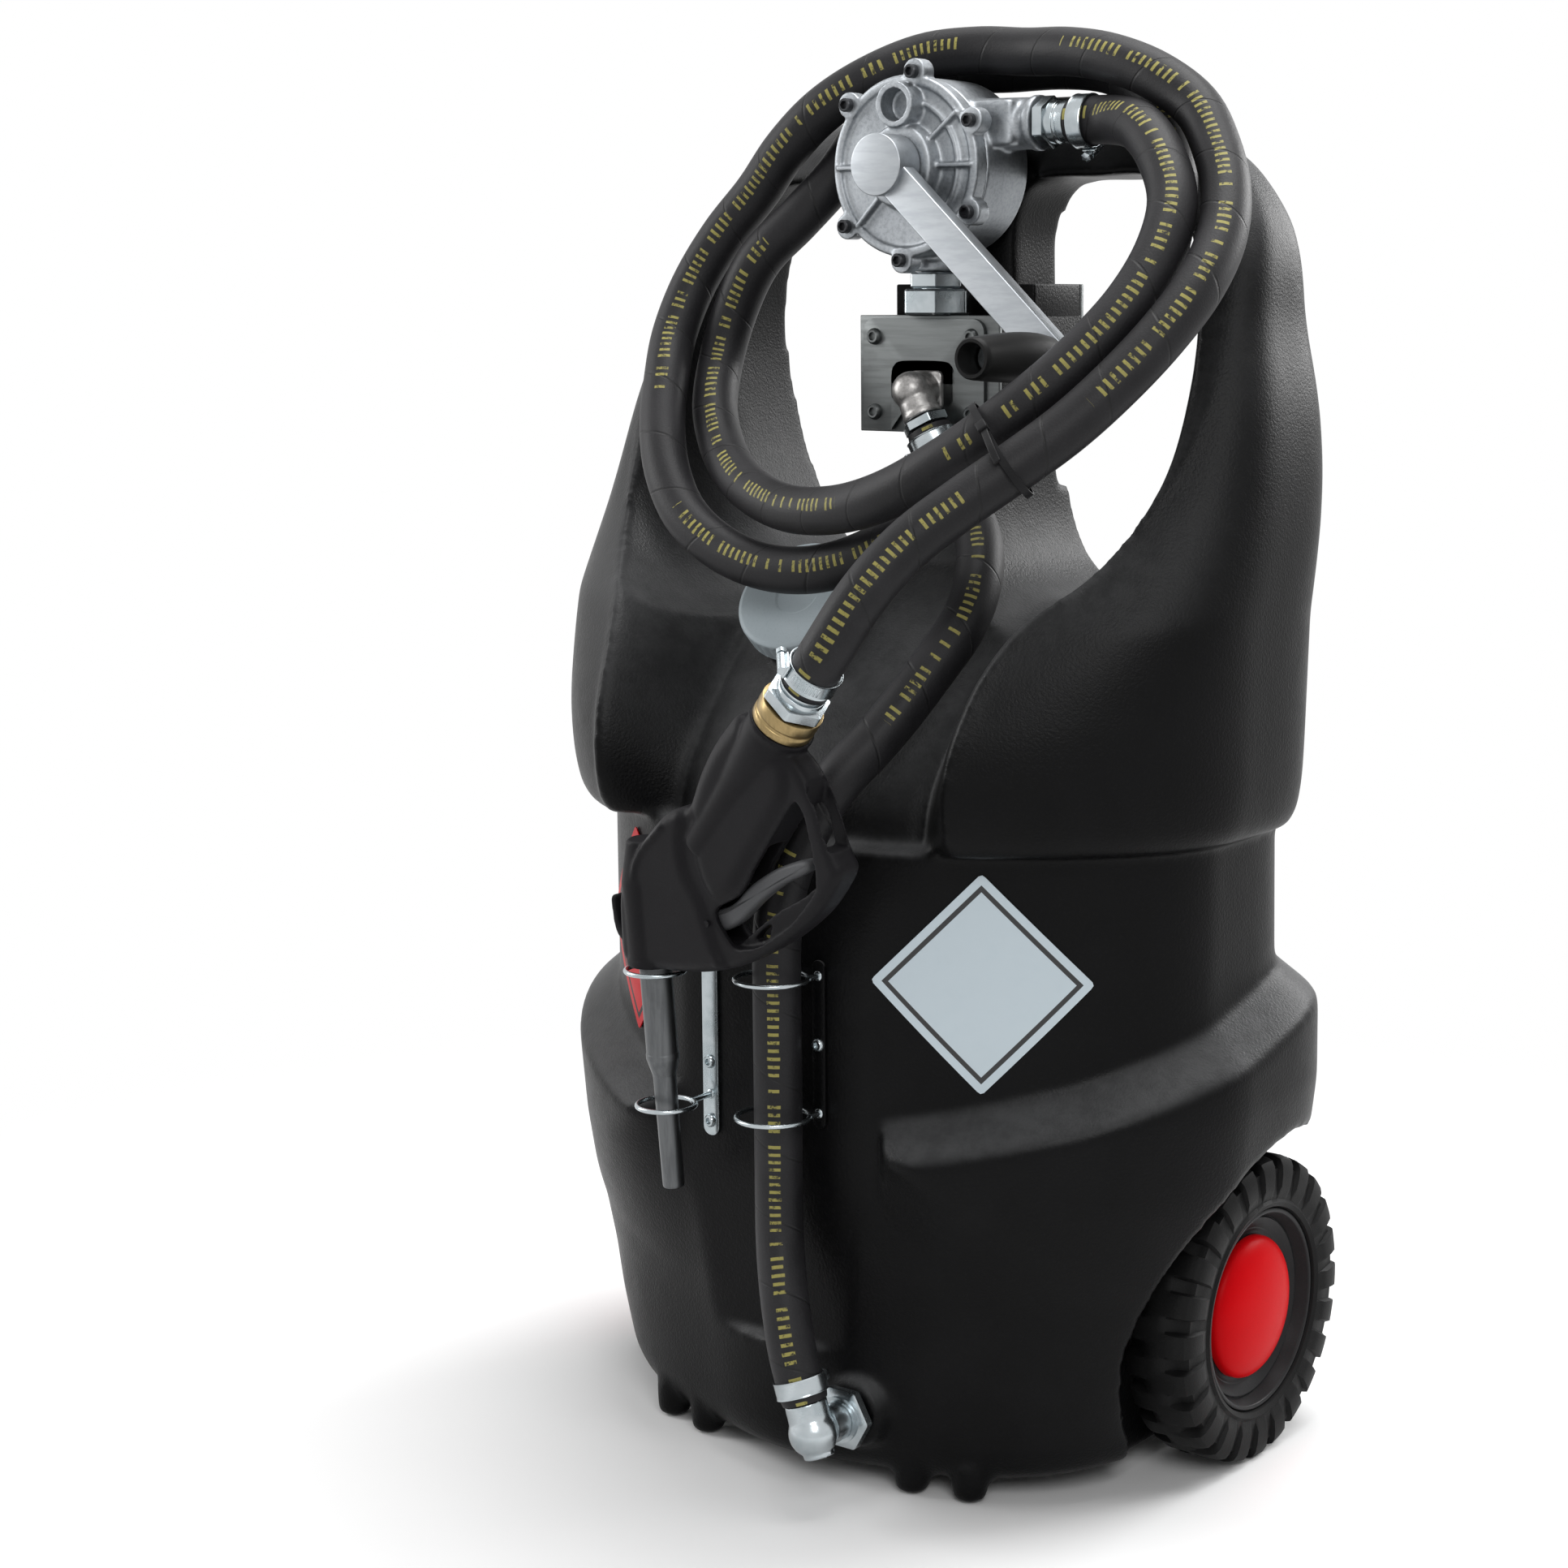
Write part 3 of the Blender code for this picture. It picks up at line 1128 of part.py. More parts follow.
# Trigger lever on its pin.
leverX = 0.318
leverY = 0.208
leverPin = Vector((leverX * nozzleWide, leverY * nozzleTall, 0))
pinRadius = 0.0022
leverTurn = nozzlePlace @ Matrix.Translation(leverPin)
leverPivot = addEmpty("trigger_axis", leverTurn)
leverMesh = plumpMesh(shaped(leverShares), triggerHalf, triggerHalf * 0.3)
leverMesh.transform(Matrix.Translation(-leverPin))
trigger = addObject("trigger", leverMesh, matTrigger, parent=leverPivot, smooth=35)
cutBy(trigger, cylinderMesh(pinRadius + gap, -triggerHalf - overrun, triggerHalf + overrun, 14),
      place=leverTurn, name="trigger_bore")
pinHalf = halfNozzle - roundIn * 0.2
addObject("trigger_pin", cylinderMesh(pinRadius, -pinHalf, pinHalf, 14), matSteel, place=leverTurn, smooth=35)
cutBy(nozzle, cylinderMesh(pinRadius + gap, -halfNozzle - overrun, halfNozzle + overrun, 14),
      place=leverTurn, name="pin_way")

spoutStep = spoutLength * 0.42
spoutTip = spoutRadius * 0.72
spoutWall = 0.0014
seatIn = spoutSeat - gap * 2
addObject("spout", turnedMesh([
    (spoutRadius - spoutWall, -seatIn), (spoutRadius, -seatIn), (spoutRadius, spoutStep),
    (spoutTip, spoutStep * 1.18), (spoutTip * 0.94, spoutLength), (spoutTip * 0.94 - spoutWall, spoutLength),
    (spoutTip - spoutWall, spoutStep * 1.18), (spoutRadius - spoutWall, spoutStep),
    (spoutRadius - spoutWall, -seatIn)], 16), matArm, place=spoutAxis, smooth=35)

# Hose end of the nozzle: brass ring, hexagon adaptor.
ringLong = 0.016
addObject("nozzle_ring", cylinderMesh(neckRound * 1.03, gap, ringLong, 20, bore=wayRadius),
          matBrass, place=neckAxis, smooth=35)
adaptorLong = 0.016
adaptorLow = ringLong + gap
adaptor = addObject("nozzle_adaptor", prismMesh(hexOutline(neckRound * 1.85), adaptorLow,
                                                adaptorLow + adaptorLong * 0.6), matZinc, place=neckAxis)
joinWith(adaptor, cylinderMesh(neckRound * 0.80, adaptorLow + adaptorLong * 0.3,
                               adaptorLow + adaptorLong, 24), place=neckAxis, name="adaptor_collar")
hoseEndLow = adaptorLow + adaptorLong + gap
deliveryEnd = neckAxis @ Vector((0, 0, hoseEndLow))
deliveryEndTurn = (neckAxis.to_3x3() @ Vector((0, 0, 1))).normalized()
deliveryEnd.y -= frameShiftY


# DELIVERY HOSE

diameter = hoseRadius * 2
# Points chosen along the hose, from the pump over the arch twice and down to the nozzle.
deliveryRoute = [
    (0.167, 0.014, 0.874), (0.194, -0.004, 0.856), (0.215, -0.022, 0.832), (0.224, -0.043, 0.804),
    (0.220, -0.072, 0.768), (0.200, -0.101, 0.732), (0.165, -0.126, 0.696), (0.120, -0.136, 0.666),
    (0.070, -0.130, 0.645), (0.018, -0.115, 0.635), (-0.033, -0.096, 0.635), (-0.082, -0.074, 0.647),
    (-0.120, -0.050, 0.668), (-0.147, -0.026, 0.697), (-0.158, -0.005, 0.727), (-0.150, 0.003, 0.763),
    (-0.127, 0.008, 0.801), (-0.092, 0.025, 0.836), (-0.071, 0.048, 0.879), (-0.038, 0.076, 0.913),
    (0.015, 0.089, 0.919), (0.070, 0.088, 0.919), (0.122, 0.077, 0.909), (0.160, 0.058, 0.881),
    (0.184, 0.030, 0.837), (0.195, -0.002, 0.790), (0.187, -0.032, 0.747), (0.161, -0.055, 0.707),
    (0.123, -0.073, 0.669), (0.081, -0.084, 0.635), (0.035, -0.092, 0.607), (-0.017, -0.098, 0.594),
    (-0.071, -0.098, 0.601), (-0.119, -0.092, 0.627), (-0.152, -0.074, 0.667), (-0.174, -0.045, 0.712),
    (-0.187, -0.015, 0.755), (-0.172, 0.003, 0.800), (-0.140, 0.014, 0.840), (-0.101, 0.014, 0.880),
    (-0.058, 0.024, 0.909), (-0.010, 0.050, 0.929), (0.043, 0.056, 0.927), (0.097, 0.047, 0.924),
    (0.148, 0.037, 0.913), (0.195, 0.032, 0.889), (0.230, 0.010, 0.850), (0.252, -0.022, 0.810),
    (0.255, -0.059, 0.771), (0.239, -0.094, 0.732), (0.212, -0.124, 0.695), (0.179, -0.156, 0.662),
    (0.146, -0.189, 0.630), (0.124, -0.216, 0.594)]
startTurn = Vector((1, 0, 0))


def hosePoints(start, startTurn, route, end, endTurn, count):
    """Even points on a smooth curve that leaves and arrives straight for one diameter."""
    pts = [start, start + startTurn * diameter]
    pts += [Vector(q) for q in route]
    pts += [end + endTurn * diameter, end]
    inner = smoothCurve([tuple(q) for q in pts[1:-1]], count - 2)
    points = np.vstack([tuple(start), inner, tuple(end)])
    points[:, 1] += frameShiftY
    return points


def leastGap(points, radius):
    """Least gap in mm between stretches of a tube more than four diameters apart along it."""
    steps = []
    for k in range(len(points) - 1):
        for t in range(8):
            steps.append(points[k] + (points[k + 1] - points[k]) * t / 8)
    steps = np.array(steps)
    run = np.concatenate([[0], np.cumsum(np.linalg.norm(np.diff(steps, axis=0), axis=1))])
    least = 1e9
    for k in range(len(steps)):
        far = np.abs(run - run[k]) > 8 * radius
        if far.any():
            least = min(least, float(np.linalg.norm(steps[far] - steps[k], axis=1).min()))
    return (least - 2 * radius) * 1000, run[-1]


deliveryPoints = hosePoints(deliveryStart, startTurn, deliveryRoute, deliveryEnd, deliveryEndTurn, 76)
tubeObject("delivery_hose", [tuple(q) for q in deliveryPoints], hoseRadius, matHose, 2)
report = leastGap(deliveryPoints, hoseRadius)
print("delivery hose, least gap to itself (mm):", round(report[0], 2), "length (m):", round(report[1], 3))


# OUTLET ELBOW AND SUCTION HOSE

outletFlats = 0.036
flangeHigh = 0.008
outletNutPlace = at(outletX, -outletSeat - gap, outletZ) @ toFront
outletNut = addObject("outlet_nut", prismMesh(hexOutline(outletFlats * 1.05), 0, flangeHigh), matZinc,
                      place=outletNutPlace)
joinWith(outletNut, cylinderMesh(outletFlats * 0.42, flangeHigh / 2, flangeHigh * 1.3, 20),
         place=outletNutPlace, name="outlet_collar")
cutBy(outletNut, cylinderMesh(fittingRadius * 0.7, -overrun, flangeHigh + overrun, 16),
      place=outletNutPlace, name="outlet_nut_bore")
lowerBall = Vector((outletX, -outletFront, outletZ))
lowerTurn = Vector((-0.316, 0, 0.949)).normalized()
elbowLow = outletSeat + gap * 2 + flangeHigh * 1.3
outletElbow = addObject("outlet_elbow", cylinderMesh(fittingRadius, elbowLow, outletFront, 20), matCast,
                        place=at(outletX, 0, outletZ) @ toFront, smooth=35)
joinWith(outletElbow, ballMesh(fittingBall), place=aimed(lowerBall, lowerTurn), name="outlet_ball")
lowerLong = 0.020
joinWith(outletElbow, cylinderMesh(fittingRadius * 1.1, 0, lowerLong, 20), place=aimed(lowerBall, lowerTurn),
         name="outlet_up")
suctionStart = lowerBall + lowerTurn * (lowerLong + gap)
suctionEnd = suctionTop
suctionRoute = [
    (0.034, -0.1815, 0.138), (0.0225, -0.1715, 0.172), (suctionX, -suctionFront, 0.212),
    (suctionX, -suctionFront, ringLow), (suctionX, -suctionFront, (ringLow + ringHigh) / 2),
    (suctionX, -suctionFront, ringHigh), (0.022, -0.170, 0.378), (0.031, -0.173, 0.409),
    (0.043, -0.171, 0.436), (0.059, -0.161, 0.468), (0.076, -0.132, 0.500), (0.089, -0.101, 0.535),
    (0.095, -0.068, 0.568), (0.083, -0.036, 0.600), (0.058, -0.010, 0.624)]
suctionPoints = hosePoints(suctionStart, lowerTurn, suctionRoute, suctionEnd, elbowDown, 30)
tubeObject("suction_hose", [tuple(q) for q in suctionPoints], hoseRadius, matHose, 2)
report = leastGap(suctionPoints, hoseRadius)
print("suction hose, least gap to itself (mm):", round(report[0], 2), "length (m):", round(report[1], 3))

# Worm-drive clamps on the hose ends.
clampWide = 0.011
clampThick = 0.0010
clampIn = 0.005
clampRoom = gap * 2
bandOuter = hoseRadius + clampRoom + clampThick
for word, origin, turn, roll in (("pump", deliveryStart, startTurn, -60),
                                 ("nozzle", deliveryEnd, deliveryEndTurn, 150),
                                 ("outlet", suctionStart, lowerTurn, 200),
                                 ("bracket", suctionEnd, elbowDown, 290)):
    place = aimed(origin, turn, roll)
    clamp = addObject("hose_clamp_" + word, cylinderMesh(bandOuter, clampIn, clampIn + clampWide, 16,
                                                         bore=hoseRadius + clampRoom), matZinc,
                      place=place, smooth=35)
    low = bandOuter - clampThick * 0.6
    joinWith(clamp, boxMesh((low, -clampWide * 0.65, clampIn + gap),
                            (low + clampWide * 0.55, clampWide * 0.65, clampIn + clampWide - gap)),
             place=place, name="housing")
    screwPlace = place @ Matrix.Translation((low + clampWide * 0.3, -clampWide * 0.65,
                                             clampIn + clampWide / 2)) @ toFront
    joinWith(clamp, prismMesh(hexOutline(clampWide * 0.55), -sunk, clampWide * 0.45), place=screwPlace,
             name="worm_screw")

# Cable tie round the first and the last stretch of the delivery hose, above the nozzle.
tieSpot = Vector((0.1635, -0.137 + frameShiftY, 0.6895))
quarter = len(deliveryPoints) // 4
pair = [min(stretch, key=lambda k: (Vector(deliveryPoints[k]) - tieSpot).length)
        for stretch in (range(1, quarter), range(len(deliveryPoints) - quarter, len(deliveryPoints) - 2))]
first = Vector(deliveryPoints[pair[0]])
last = Vector(deliveryPoints[pair[1]])
along = (Vector(deliveryPoints[pair[0] + 1] - deliveryPoints[pair[0] - 1]).normalized()
         + Vector(deliveryPoints[pair[1] + 1] - deliveryPoints[pair[1] - 1]).normalized()).normalized()
across = last - first
across = (across - along * across.dot(along))
halfSpan = across.length / 2
across.normalize()
tieMiddle = (first + last) / 2
tieRoom = 0.0030
tieThick = 0.0014
tieWide = 0.0045
tiePlace = Matrix.Translation(tieMiddle) @ Matrix((
    (across.x, along.cross(across).x, along.x, 0), (across.y, along.cross(across).y, along.y, 0),
    (across.z, along.cross(across).z, along.z, 0), (0, 0, 0, 1)))


def stadium(half, radius, steps=8):
    pts = []
    for k in range(steps + 1):
        a = -math.pi / 2 + math.pi * k / steps
        pts.append((half + radius * math.cos(a), radius * math.sin(a)))
    for k in range(steps + 1):
        a = math.pi / 2 + math.pi * k / steps
        pts.append((-half + radius * math.cos(a), radius * math.sin(a)))
    return pts


def hoopMesh(inner, outer, low, high):
    """A band between two outlines of equal count."""
    return ringsMesh([[(x, y, low) for x, y in inner], [(x, y, low) for x, y in outer],
                      [(x, y, high) for x, y in outer], [(x, y, high) for x, y in inner]], closed=True)


tieInner = hoseRadius + tieRoom
tie = addObject("cable_tie", hoopMesh(stadium(halfSpan, tieInner), stadium(halfSpan, tieInner + tieThick),
                                      -tieWide / 2, tieWide / 2), matTyre, place=tiePlace, smooth=35)
headHigh = 0.006
joinWith(tie, boxMesh((-tieWide * 0.9, tieInner + tieThick * 0.5, -tieWide * 0.7),
                      (tieWide * 0.9, tieInner + headHigh, tieWide * 0.7)), place=tiePlace, name="tie_head")
print("cable tie, strand spacing (mm):", round(halfSpan * 2000, 1))


# HOLDERS ON THE FRONT

def torusMesh(radius, wire, sides=18, facets=5):
    ring = [(radius + wire * math.cos(2 * math.pi * k / facets), wire * math.sin(2 * math.pi * k / facets))
            for k in range(facets)]
    ring.append(ring[0])
    return turnedMesh(ring, sides)


stripThick = 0.002


def wireHolder(name, centreX, rings, radius, stripX, stripLow, stripHigh, stripWide, screwHeights):
    """A strip screwed to the channel that carries wire rings on short stalks."""
    stripY = -channelFront - gap
    strip = addObject(name, boxMesh((stripX - stripWide / 2, stripY - stripThick, stripLow),
                                    (stripX + stripWide / 2, stripY, stripHigh)), matZinc,
                      place=at(0, 0, 0), smooth=35)
    for y, z in rings:
        joinWith(strip, torusMesh(radius, wireRadius), place=at(centreX, y, z), name=name + "_ring")
        reach = abs(stripY - stripThick / 2 - y)
        side = stripX - centreX
        hit = y + math.sqrt(max(radius * radius - side * side, 0))
        stalk = cylinderMesh(wireRadius * 1.2, 0, abs(stripY - stripThick / 2 - hit) + wireRadius / 2, 10)
        joinWith(strip, stalk, place=at(stripX, hit - wireRadius / 2, z)
                 @ Matrix.Rotation(math.radians(-90), 4, "X"), name=name + "_stalk")
    for height in screwHeights:
        joinWith(strip, buttonScrew(screwRadius, screwHigh),
                 place=aimed((stripX, stripY - stripThick, height), (0, -1, 0)), name=name + "_screw")


ringFront = channelFront + ringRadius + wireRadius + gap * 2
stripRun = 0.010             # a strip's reach past its outer ring
hoseStripWide = 0.010
hoseStripX = suctionX + ringRadius * 0.80
wireHolder("hose_holder", suctionX, [(-ringFront, ringLow), (-ringFront, ringHigh)], ringRadius, hoseStripX,
           ringLow - stripRun, ringHigh + stripRun, hoseStripWide, [(ringLow + ringHigh) / 2])
leanSlope = math.tan(math.radians(nozzleLean))
mouthDrop = 0.005            # from the nozzle's mouth down to the upper ring
ringApart = 0.091            # between the two spout rings
tailLong = 0.028             # strip below the lower ring
screwUp = 0.022              # screws above and below the lower ring
screwDown = 0.018
spoutStripWide = 0.013
upperZ = nozzleZ - mouthDrop
lowerZ = upperZ - ringApart
nozzleStripX = nozzleX + spoutRing * 0.35
wireHolder("nozzle_holder", nozzleX, [(nozzleY, upperZ), (nozzleY + (nozzleZ - lowerZ) * leanSlope, lowerZ)],
           spoutRing, nozzleStripX, lowerZ - tailLong, upperZ + stripRun, spoutStripWide,
           [lowerZ + screwUp, lowerZ - screwDown])


# LABELS

labelHalf = labelSide / math.sqrt(2)


def labelMesh(side):
    """A diamond plate that follows the tank's side, between two offsets from it."""
    x, y = halfRing(waistShares, labelZ)
    nx, ny = outlineNormals(x, y)
    run = np.concatenate([[0], np.cumsum(np.hypot(np.diff(x), np.diff(y)))])
    middle = float(np.interp(labelX, x[:len(x) // 2], run[:len(x) // 2]))
    stops = sorted(set([middle - labelHalf, middle, middle + labelHalf]
                       + [float(r) for r in run if abs(r - middle) < labelHalf - gap]))
    rings = []
    small = labelThick / 4
    for s in stops:
        half = max(labelHalf - abs(s - middle), small)
        px = float(np.interp(s, run, x))
        py = float(np.interp(s, run, y))
        qx = float(np.interp(s, run, nx))
        qy = float(np.interp(s, run, ny))
        near = gap * 2.5
        far = near + labelThick
        rings.append([(side * (px + qx * near), py + qy * near, labelZ - half),
                      (side * (px + qx * far), py + qy * far, labelZ - half),
                      (side * (px + qx * far), py + qy * far, labelZ + half),
                      (side * (px + qx * near), py + qy * near, labelZ + half)])
    return ringsMesh(rings)


addObject("label_right", labelMesh(1), matLabel, place=at(0, 0, 0))
addObject("label_left", labelMesh(-1), matLabelRed, place=at(0, 0, 0))
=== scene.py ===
import math
import bmesh
import bpy
import numpy as np
from mathutils import Matrix, Vector


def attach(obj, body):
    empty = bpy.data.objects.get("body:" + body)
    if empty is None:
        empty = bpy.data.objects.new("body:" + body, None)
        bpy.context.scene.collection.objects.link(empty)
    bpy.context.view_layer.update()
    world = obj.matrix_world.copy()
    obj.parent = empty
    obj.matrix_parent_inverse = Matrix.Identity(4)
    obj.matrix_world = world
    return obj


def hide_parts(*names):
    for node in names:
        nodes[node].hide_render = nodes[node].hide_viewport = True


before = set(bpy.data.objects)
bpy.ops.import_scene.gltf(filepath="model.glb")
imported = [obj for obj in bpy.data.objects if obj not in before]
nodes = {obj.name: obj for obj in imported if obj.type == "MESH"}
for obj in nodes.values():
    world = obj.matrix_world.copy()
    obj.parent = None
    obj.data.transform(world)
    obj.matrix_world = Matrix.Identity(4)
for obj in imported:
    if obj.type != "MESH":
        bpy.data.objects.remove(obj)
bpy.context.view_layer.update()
print("model loaded:", len(nodes), "nodes")


def linked(name, data):
    obj = bpy.data.objects.new(name, data)
    bpy.context.scene.collection.objects.link(obj)
    return obj


def lookTurn(place, target):
    # points an object's -Z from its place at the target
    return (Vector(target) - Vector(place)).to_track_quat("-Z", "Y").to_euler()


# Camera at the photograph's viewing angle
shot = {"place": (1.1492, -1.5058, 0.7653), "target": (0.036, 0.0395, 0.4551),
        "lens": 66.18, "sensor": 36, "shiftX": -0.1082, "shiftY": -0.0083}
cameraData = bpy.data.cameras.new("camera")
cameraData.lens = shot["lens"]
cameraData.sensor_width = shot["sensor"]
cameraData.shift_x = shot["shiftX"]
cameraData.shift_y = shot["shiftY"]
camera = linked("camera", cameraData)
camera.location = shot["place"]
camera.rotation_euler = lookTurn(shot["place"], shot["target"])
bpy.context.scene.camera = camera
print("camera set")


# Shapes as arrays: each returns its points and a list of face arrays

def skin(points, wrapRows=False):
    # a stack of closed rings points[row, column, xyz]: quads (i, j), (i, j+1), (i+1, j+1), (i+1, j)
    # between neighbours, and triangles that close the two ends to their middles
    rows, cols = points.shape[:2]
    i = np.arange(rows if wrapRows else rows - 1)[:, None]
    j = np.arange(cols)[None, :]
    i2, j2 = (i + 1) % rows, (j + 1) % cols
    quads = np.stack([i * cols + j, i * cols + j2, i2 * cols + j2, i2 * cols + j], axis=-1)
    if wrapRows:
        return points.reshape(-1, 3), [quads.reshape(-1, 4)]
    first = np.arange(cols)
    last = (rows - 1) * cols + first
    middle = np.full(cols, rows * cols)
    verts = np.concatenate([points.reshape(-1, 3), [points[0].mean(axis=0)], [points[-1].mean(axis=0)]])
    return verts, [quads.reshape(-1, 4), np.stack([np.roll(first, -1), first, middle], axis=1),
                   np.stack([last, np.roll(last, -1), middle + 1], axis=1)]


def placed(shell, place=None):
    if place is None:
        return shell
    m = np.array(place)
    return shell[0] @ m[:3, :3].T + m[:3, 3], shell[1]


def ringAngles(count):
    return np.linspace(0, 2 * math.pi, count, endpoint=False)


def layers(rows):
    # closed outlines, each at its own height, as the rows of one grid
    return np.array([np.column_stack([flat, np.full(len(flat), high)]) for flat, high in rows])


def turned(profile, place=None, sides=72, flute=None):
    # radius r(t) and height h(t) carried round local Z: (r cos a, r sin a, h)
    pts = np.array(profile, float)
    loop = np.allclose(pts[0], pts[-1])
    if loop:
        pts = pts[:-1]
    a = ringAngles(sides)
    r = pts[:, 0][:, None] * np.ones_like(a)
    h = pts[:, 1][:, None] * np.ones_like(a)
    if flute is not None:
        r = r * flute(a, h)
    return placed(skin(np.stack([r * np.cos(a), r * np.sin(a), h], axis=-1), wrapRows=loop), place)


def bridged(start, corner, end, steps):
    # from each start to its end, drawn towards the corner: (1 - t)^2 start + 2t(1 - t) corner + t^2 end
    t = np.linspace(0, 1, steps)[None, :, None]
    curves = (1 - t) ** 2 * start[:, None] + 2 * t * (1 - t) * corner[:, None] + t * t * end[:, None]
    return curves.reshape(-1, corner.shape[1])


def softened(corner, steps, soft):
    # each corner of a closed outline is bridged from a share of one side to a share of the next
    start = corner + (np.roll(corner, 1, axis=0) - corner) * soft
    end = corner + (np.roll(corner, -1, axis=0) - corner) * soft
    return bridged(start, corner, end, steps)


def rounded(profile, radius=0.0008, steps=3):
    # each corner of a profile of (radius, height) is cut back and bridged;
    # an open profile keeps its ends
    pts = np.array(profile, float)
    loop = np.allclose(pts[0], pts[-1])
    if loop:
        pts = pts[:-1]
    cut = []
    for turn in (1, -1):
        side = np.roll(pts, turn, axis=0) - pts
        size = np.linalg.norm(side, axis=1)[:, None]
        cut.append(pts + side / np.maximum(size, 1e-9) * np.minimum(radius, size * 0.45))
    curves = bridged(cut[0], pts, cut[1], steps + 1)
    if loop:
        return np.vstack([curves, curves[:1]])
    return np.vstack([pts[:1], curves[steps + 1:-steps - 1], pts[-1:]])


def offsetOutline(outline, depth):
    # every point of a closed outline moves inward along its own normal
    p = np.array(outline, float)
    before = p - np.roll(p, 1, axis=0)
    after = np.roll(p, -1, axis=0) - p
    before /= np.maximum(np.linalg.norm(before, axis=1), 1e-9)[:, None]
    after /= np.maximum(np.linalg.norm(after, axis=1), 1e-9)[:, None]
    n1 = np.stack([-before[:, 1], before[:, 0]], axis=1)
    n2 = np.stack([-after[:, 1], after[:, 0]], axis=1)
    area = np.sum(p[:, 0] * np.roll(p[:, 1], -1) - np.roll(p[:, 0], -1) * p[:, 1])
    mid = n1 + n2
    mid /= np.maximum(np.linalg.norm(mid, axis=1), 1e-9)[:, None]
    grow = depth / np.maximum(np.sum(mid * n1, axis=1), 0.6)
    return p + mid * grow[:, None] * np.sign(area)


def slab(outline, low, high, place=None, edge=0.0, steps=4):
    # an outline between two levels, its rims a quarter circle: inset e(1 - sin t), height e(1 - cos t)
    rims = [(np.array(outline, float), 0.0)]
    if edge > 0:
        rims = [(offsetOutline(outline, edge * (1 - math.sin(t))), edge * (1 - math.cos(t)))
                for t in np.linspace(0, math.pi / 2, steps + 1)]
    rows = [(flat, low + up) for flat, up in rims] + [(flat, high - up) for flat, up in rims[::-1]]
    return placed(skin(layers(rows)), place)


def roundBox(halfX, halfY, radius, centre=(0, 0), steps=5):
    # four quarter circles joined by straight sides
    k = np.repeat(np.arange(4), steps + 1)
    a = math.pi / 2 * (k + np.tile(np.arange(steps + 1), 4) / steps)
    sx = np.array([1, -1, -1, 1])[k]
    sy = np.array([1, 1, -1, -1])[k]
    return np.column_stack([centre[0] + sx * (halfX - radius) + radius * np.cos(a),
                            centre[1] + sy * (halfY - radius) + radius * np.sin(a)])


def block(lo, hi, edge=0.0008, corner=0.0015, place=None):
    # a box between two corners, its upright corners and its rims rounded
    half = ((hi[0] - lo[0]) / 2, (hi[1] - lo[1]) / 2)
    outline = roundBox(half[0], half[1], min(corner, half[0] * 0.9, half[1] * 0.9),
                       ((lo[0] + hi[0]) / 2, (lo[1] + hi[1]) / 2), 3)
    return slab(outline, lo[2], hi[2], place, edge, 3)


def hexagon(flats, steps=4, soft=0.08):
    # a regular hexagon whose corners are slightly rounded
    a = ringAngles(6)
    corner = flats / math.sqrt(3) * np.column_stack([np.cos(a), np.sin(a)])
    return softened(corner, steps, soft)


def circleLike(outline):
    # a unit circle with as many points as the outline, and its first in the same direction
    a = ringAngles(len(outline)) + math.atan2(outline[0, 1], outline[0, 0])
    return np.column_stack([np.cos(a), np.sin(a)])


def hexNut(flats, low, high, place, chamfer=0.0012):
    # hexagon rings, the first and last drawn in as a chamfer
    outline = hexagon(flats)
    small = outline * (1 - chamfer * 2.2 / flats * 2)
    rows = [(small, low), (outline, low + chamfer), (outline, high - chamfer), (small, high)]
    return placed(skin(layers(rows)), place)


def tubeFrames(path, closed=False, facing=None):
    # tangent and a normal carried along the path without twist, or turned away from a facing direction
    p = np.array(path, float)
    if closed:
        t = np.roll(p, -1, axis=0) - np.roll(p, 1, axis=0)
    else:
        t = np.gradient(p, axis=0)
    t /= np.linalg.norm(t, axis=1)[:, None]
    if facing is not None:
        away = -np.array(facing, float)[None]
        normal = away - t * np.sum(t * away, axis=1)[:, None]
        normal /= np.linalg.norm(normal, axis=1)[:, None]
        return p, normal, np.cross(t, normal)
    normal = np.zeros_like(p)
    start = np.cross(t[0], (0, 0, 1.0))
    if np.linalg.norm(start) < 0.1:
        start = np.cross(t[0], (0, 1.0, 0))
    normal[0] = start / np.linalg.norm(start)
    for k in range(1, len(p)):
        n = normal[k - 1] - t[k] * np.dot(normal[k - 1], t[k])
        normal[k] = n / np.linalg.norm(n)
    return p, normal, np.cross(t, normal)


def tube(path, radius, sides=24, closed=False, facing=None):
    # centre + radius (cos a normal + sin a binormal) along the path
    p, n, b = tubeFrames(path, closed, facing)
    a = ringAngles(sides)[None, :, None]
    r = np.broadcast_to(np.asarray(radius, float), (len(p),))[:, None, None]
    return skin(p[:, None] + r * (np.cos(a) * n[:, None] + np.sin(a) * b[:, None]), wrapRows=closed)


def ball(radius, place, sides=40, rows=20):
    # (radius sin t, radius cos t) turned round local Z
    t = np.linspace(0, math.pi, rows + 1)[1:-1]
    return turned(radius * np.column_stack([np.sin(t), np.cos(t)]), place, sides)


def wireRing(radius, wire, place, sides=72, facets=12):
    # a thin tube along the circle (radius cos a, radius sin a, 0)
    a = ringAngles(sides)
    path = np.column_stack([radius * np.cos(a), radius * np.sin(a), 0 * a])
    return placed(tube(path, wire, facets, closed=True), place)


def distances(points):
    # how far along its line each point lies
    return np.concatenate([[0], np.cumsum(np.linalg.norm(np.diff(points, axis=0), axis=1))])


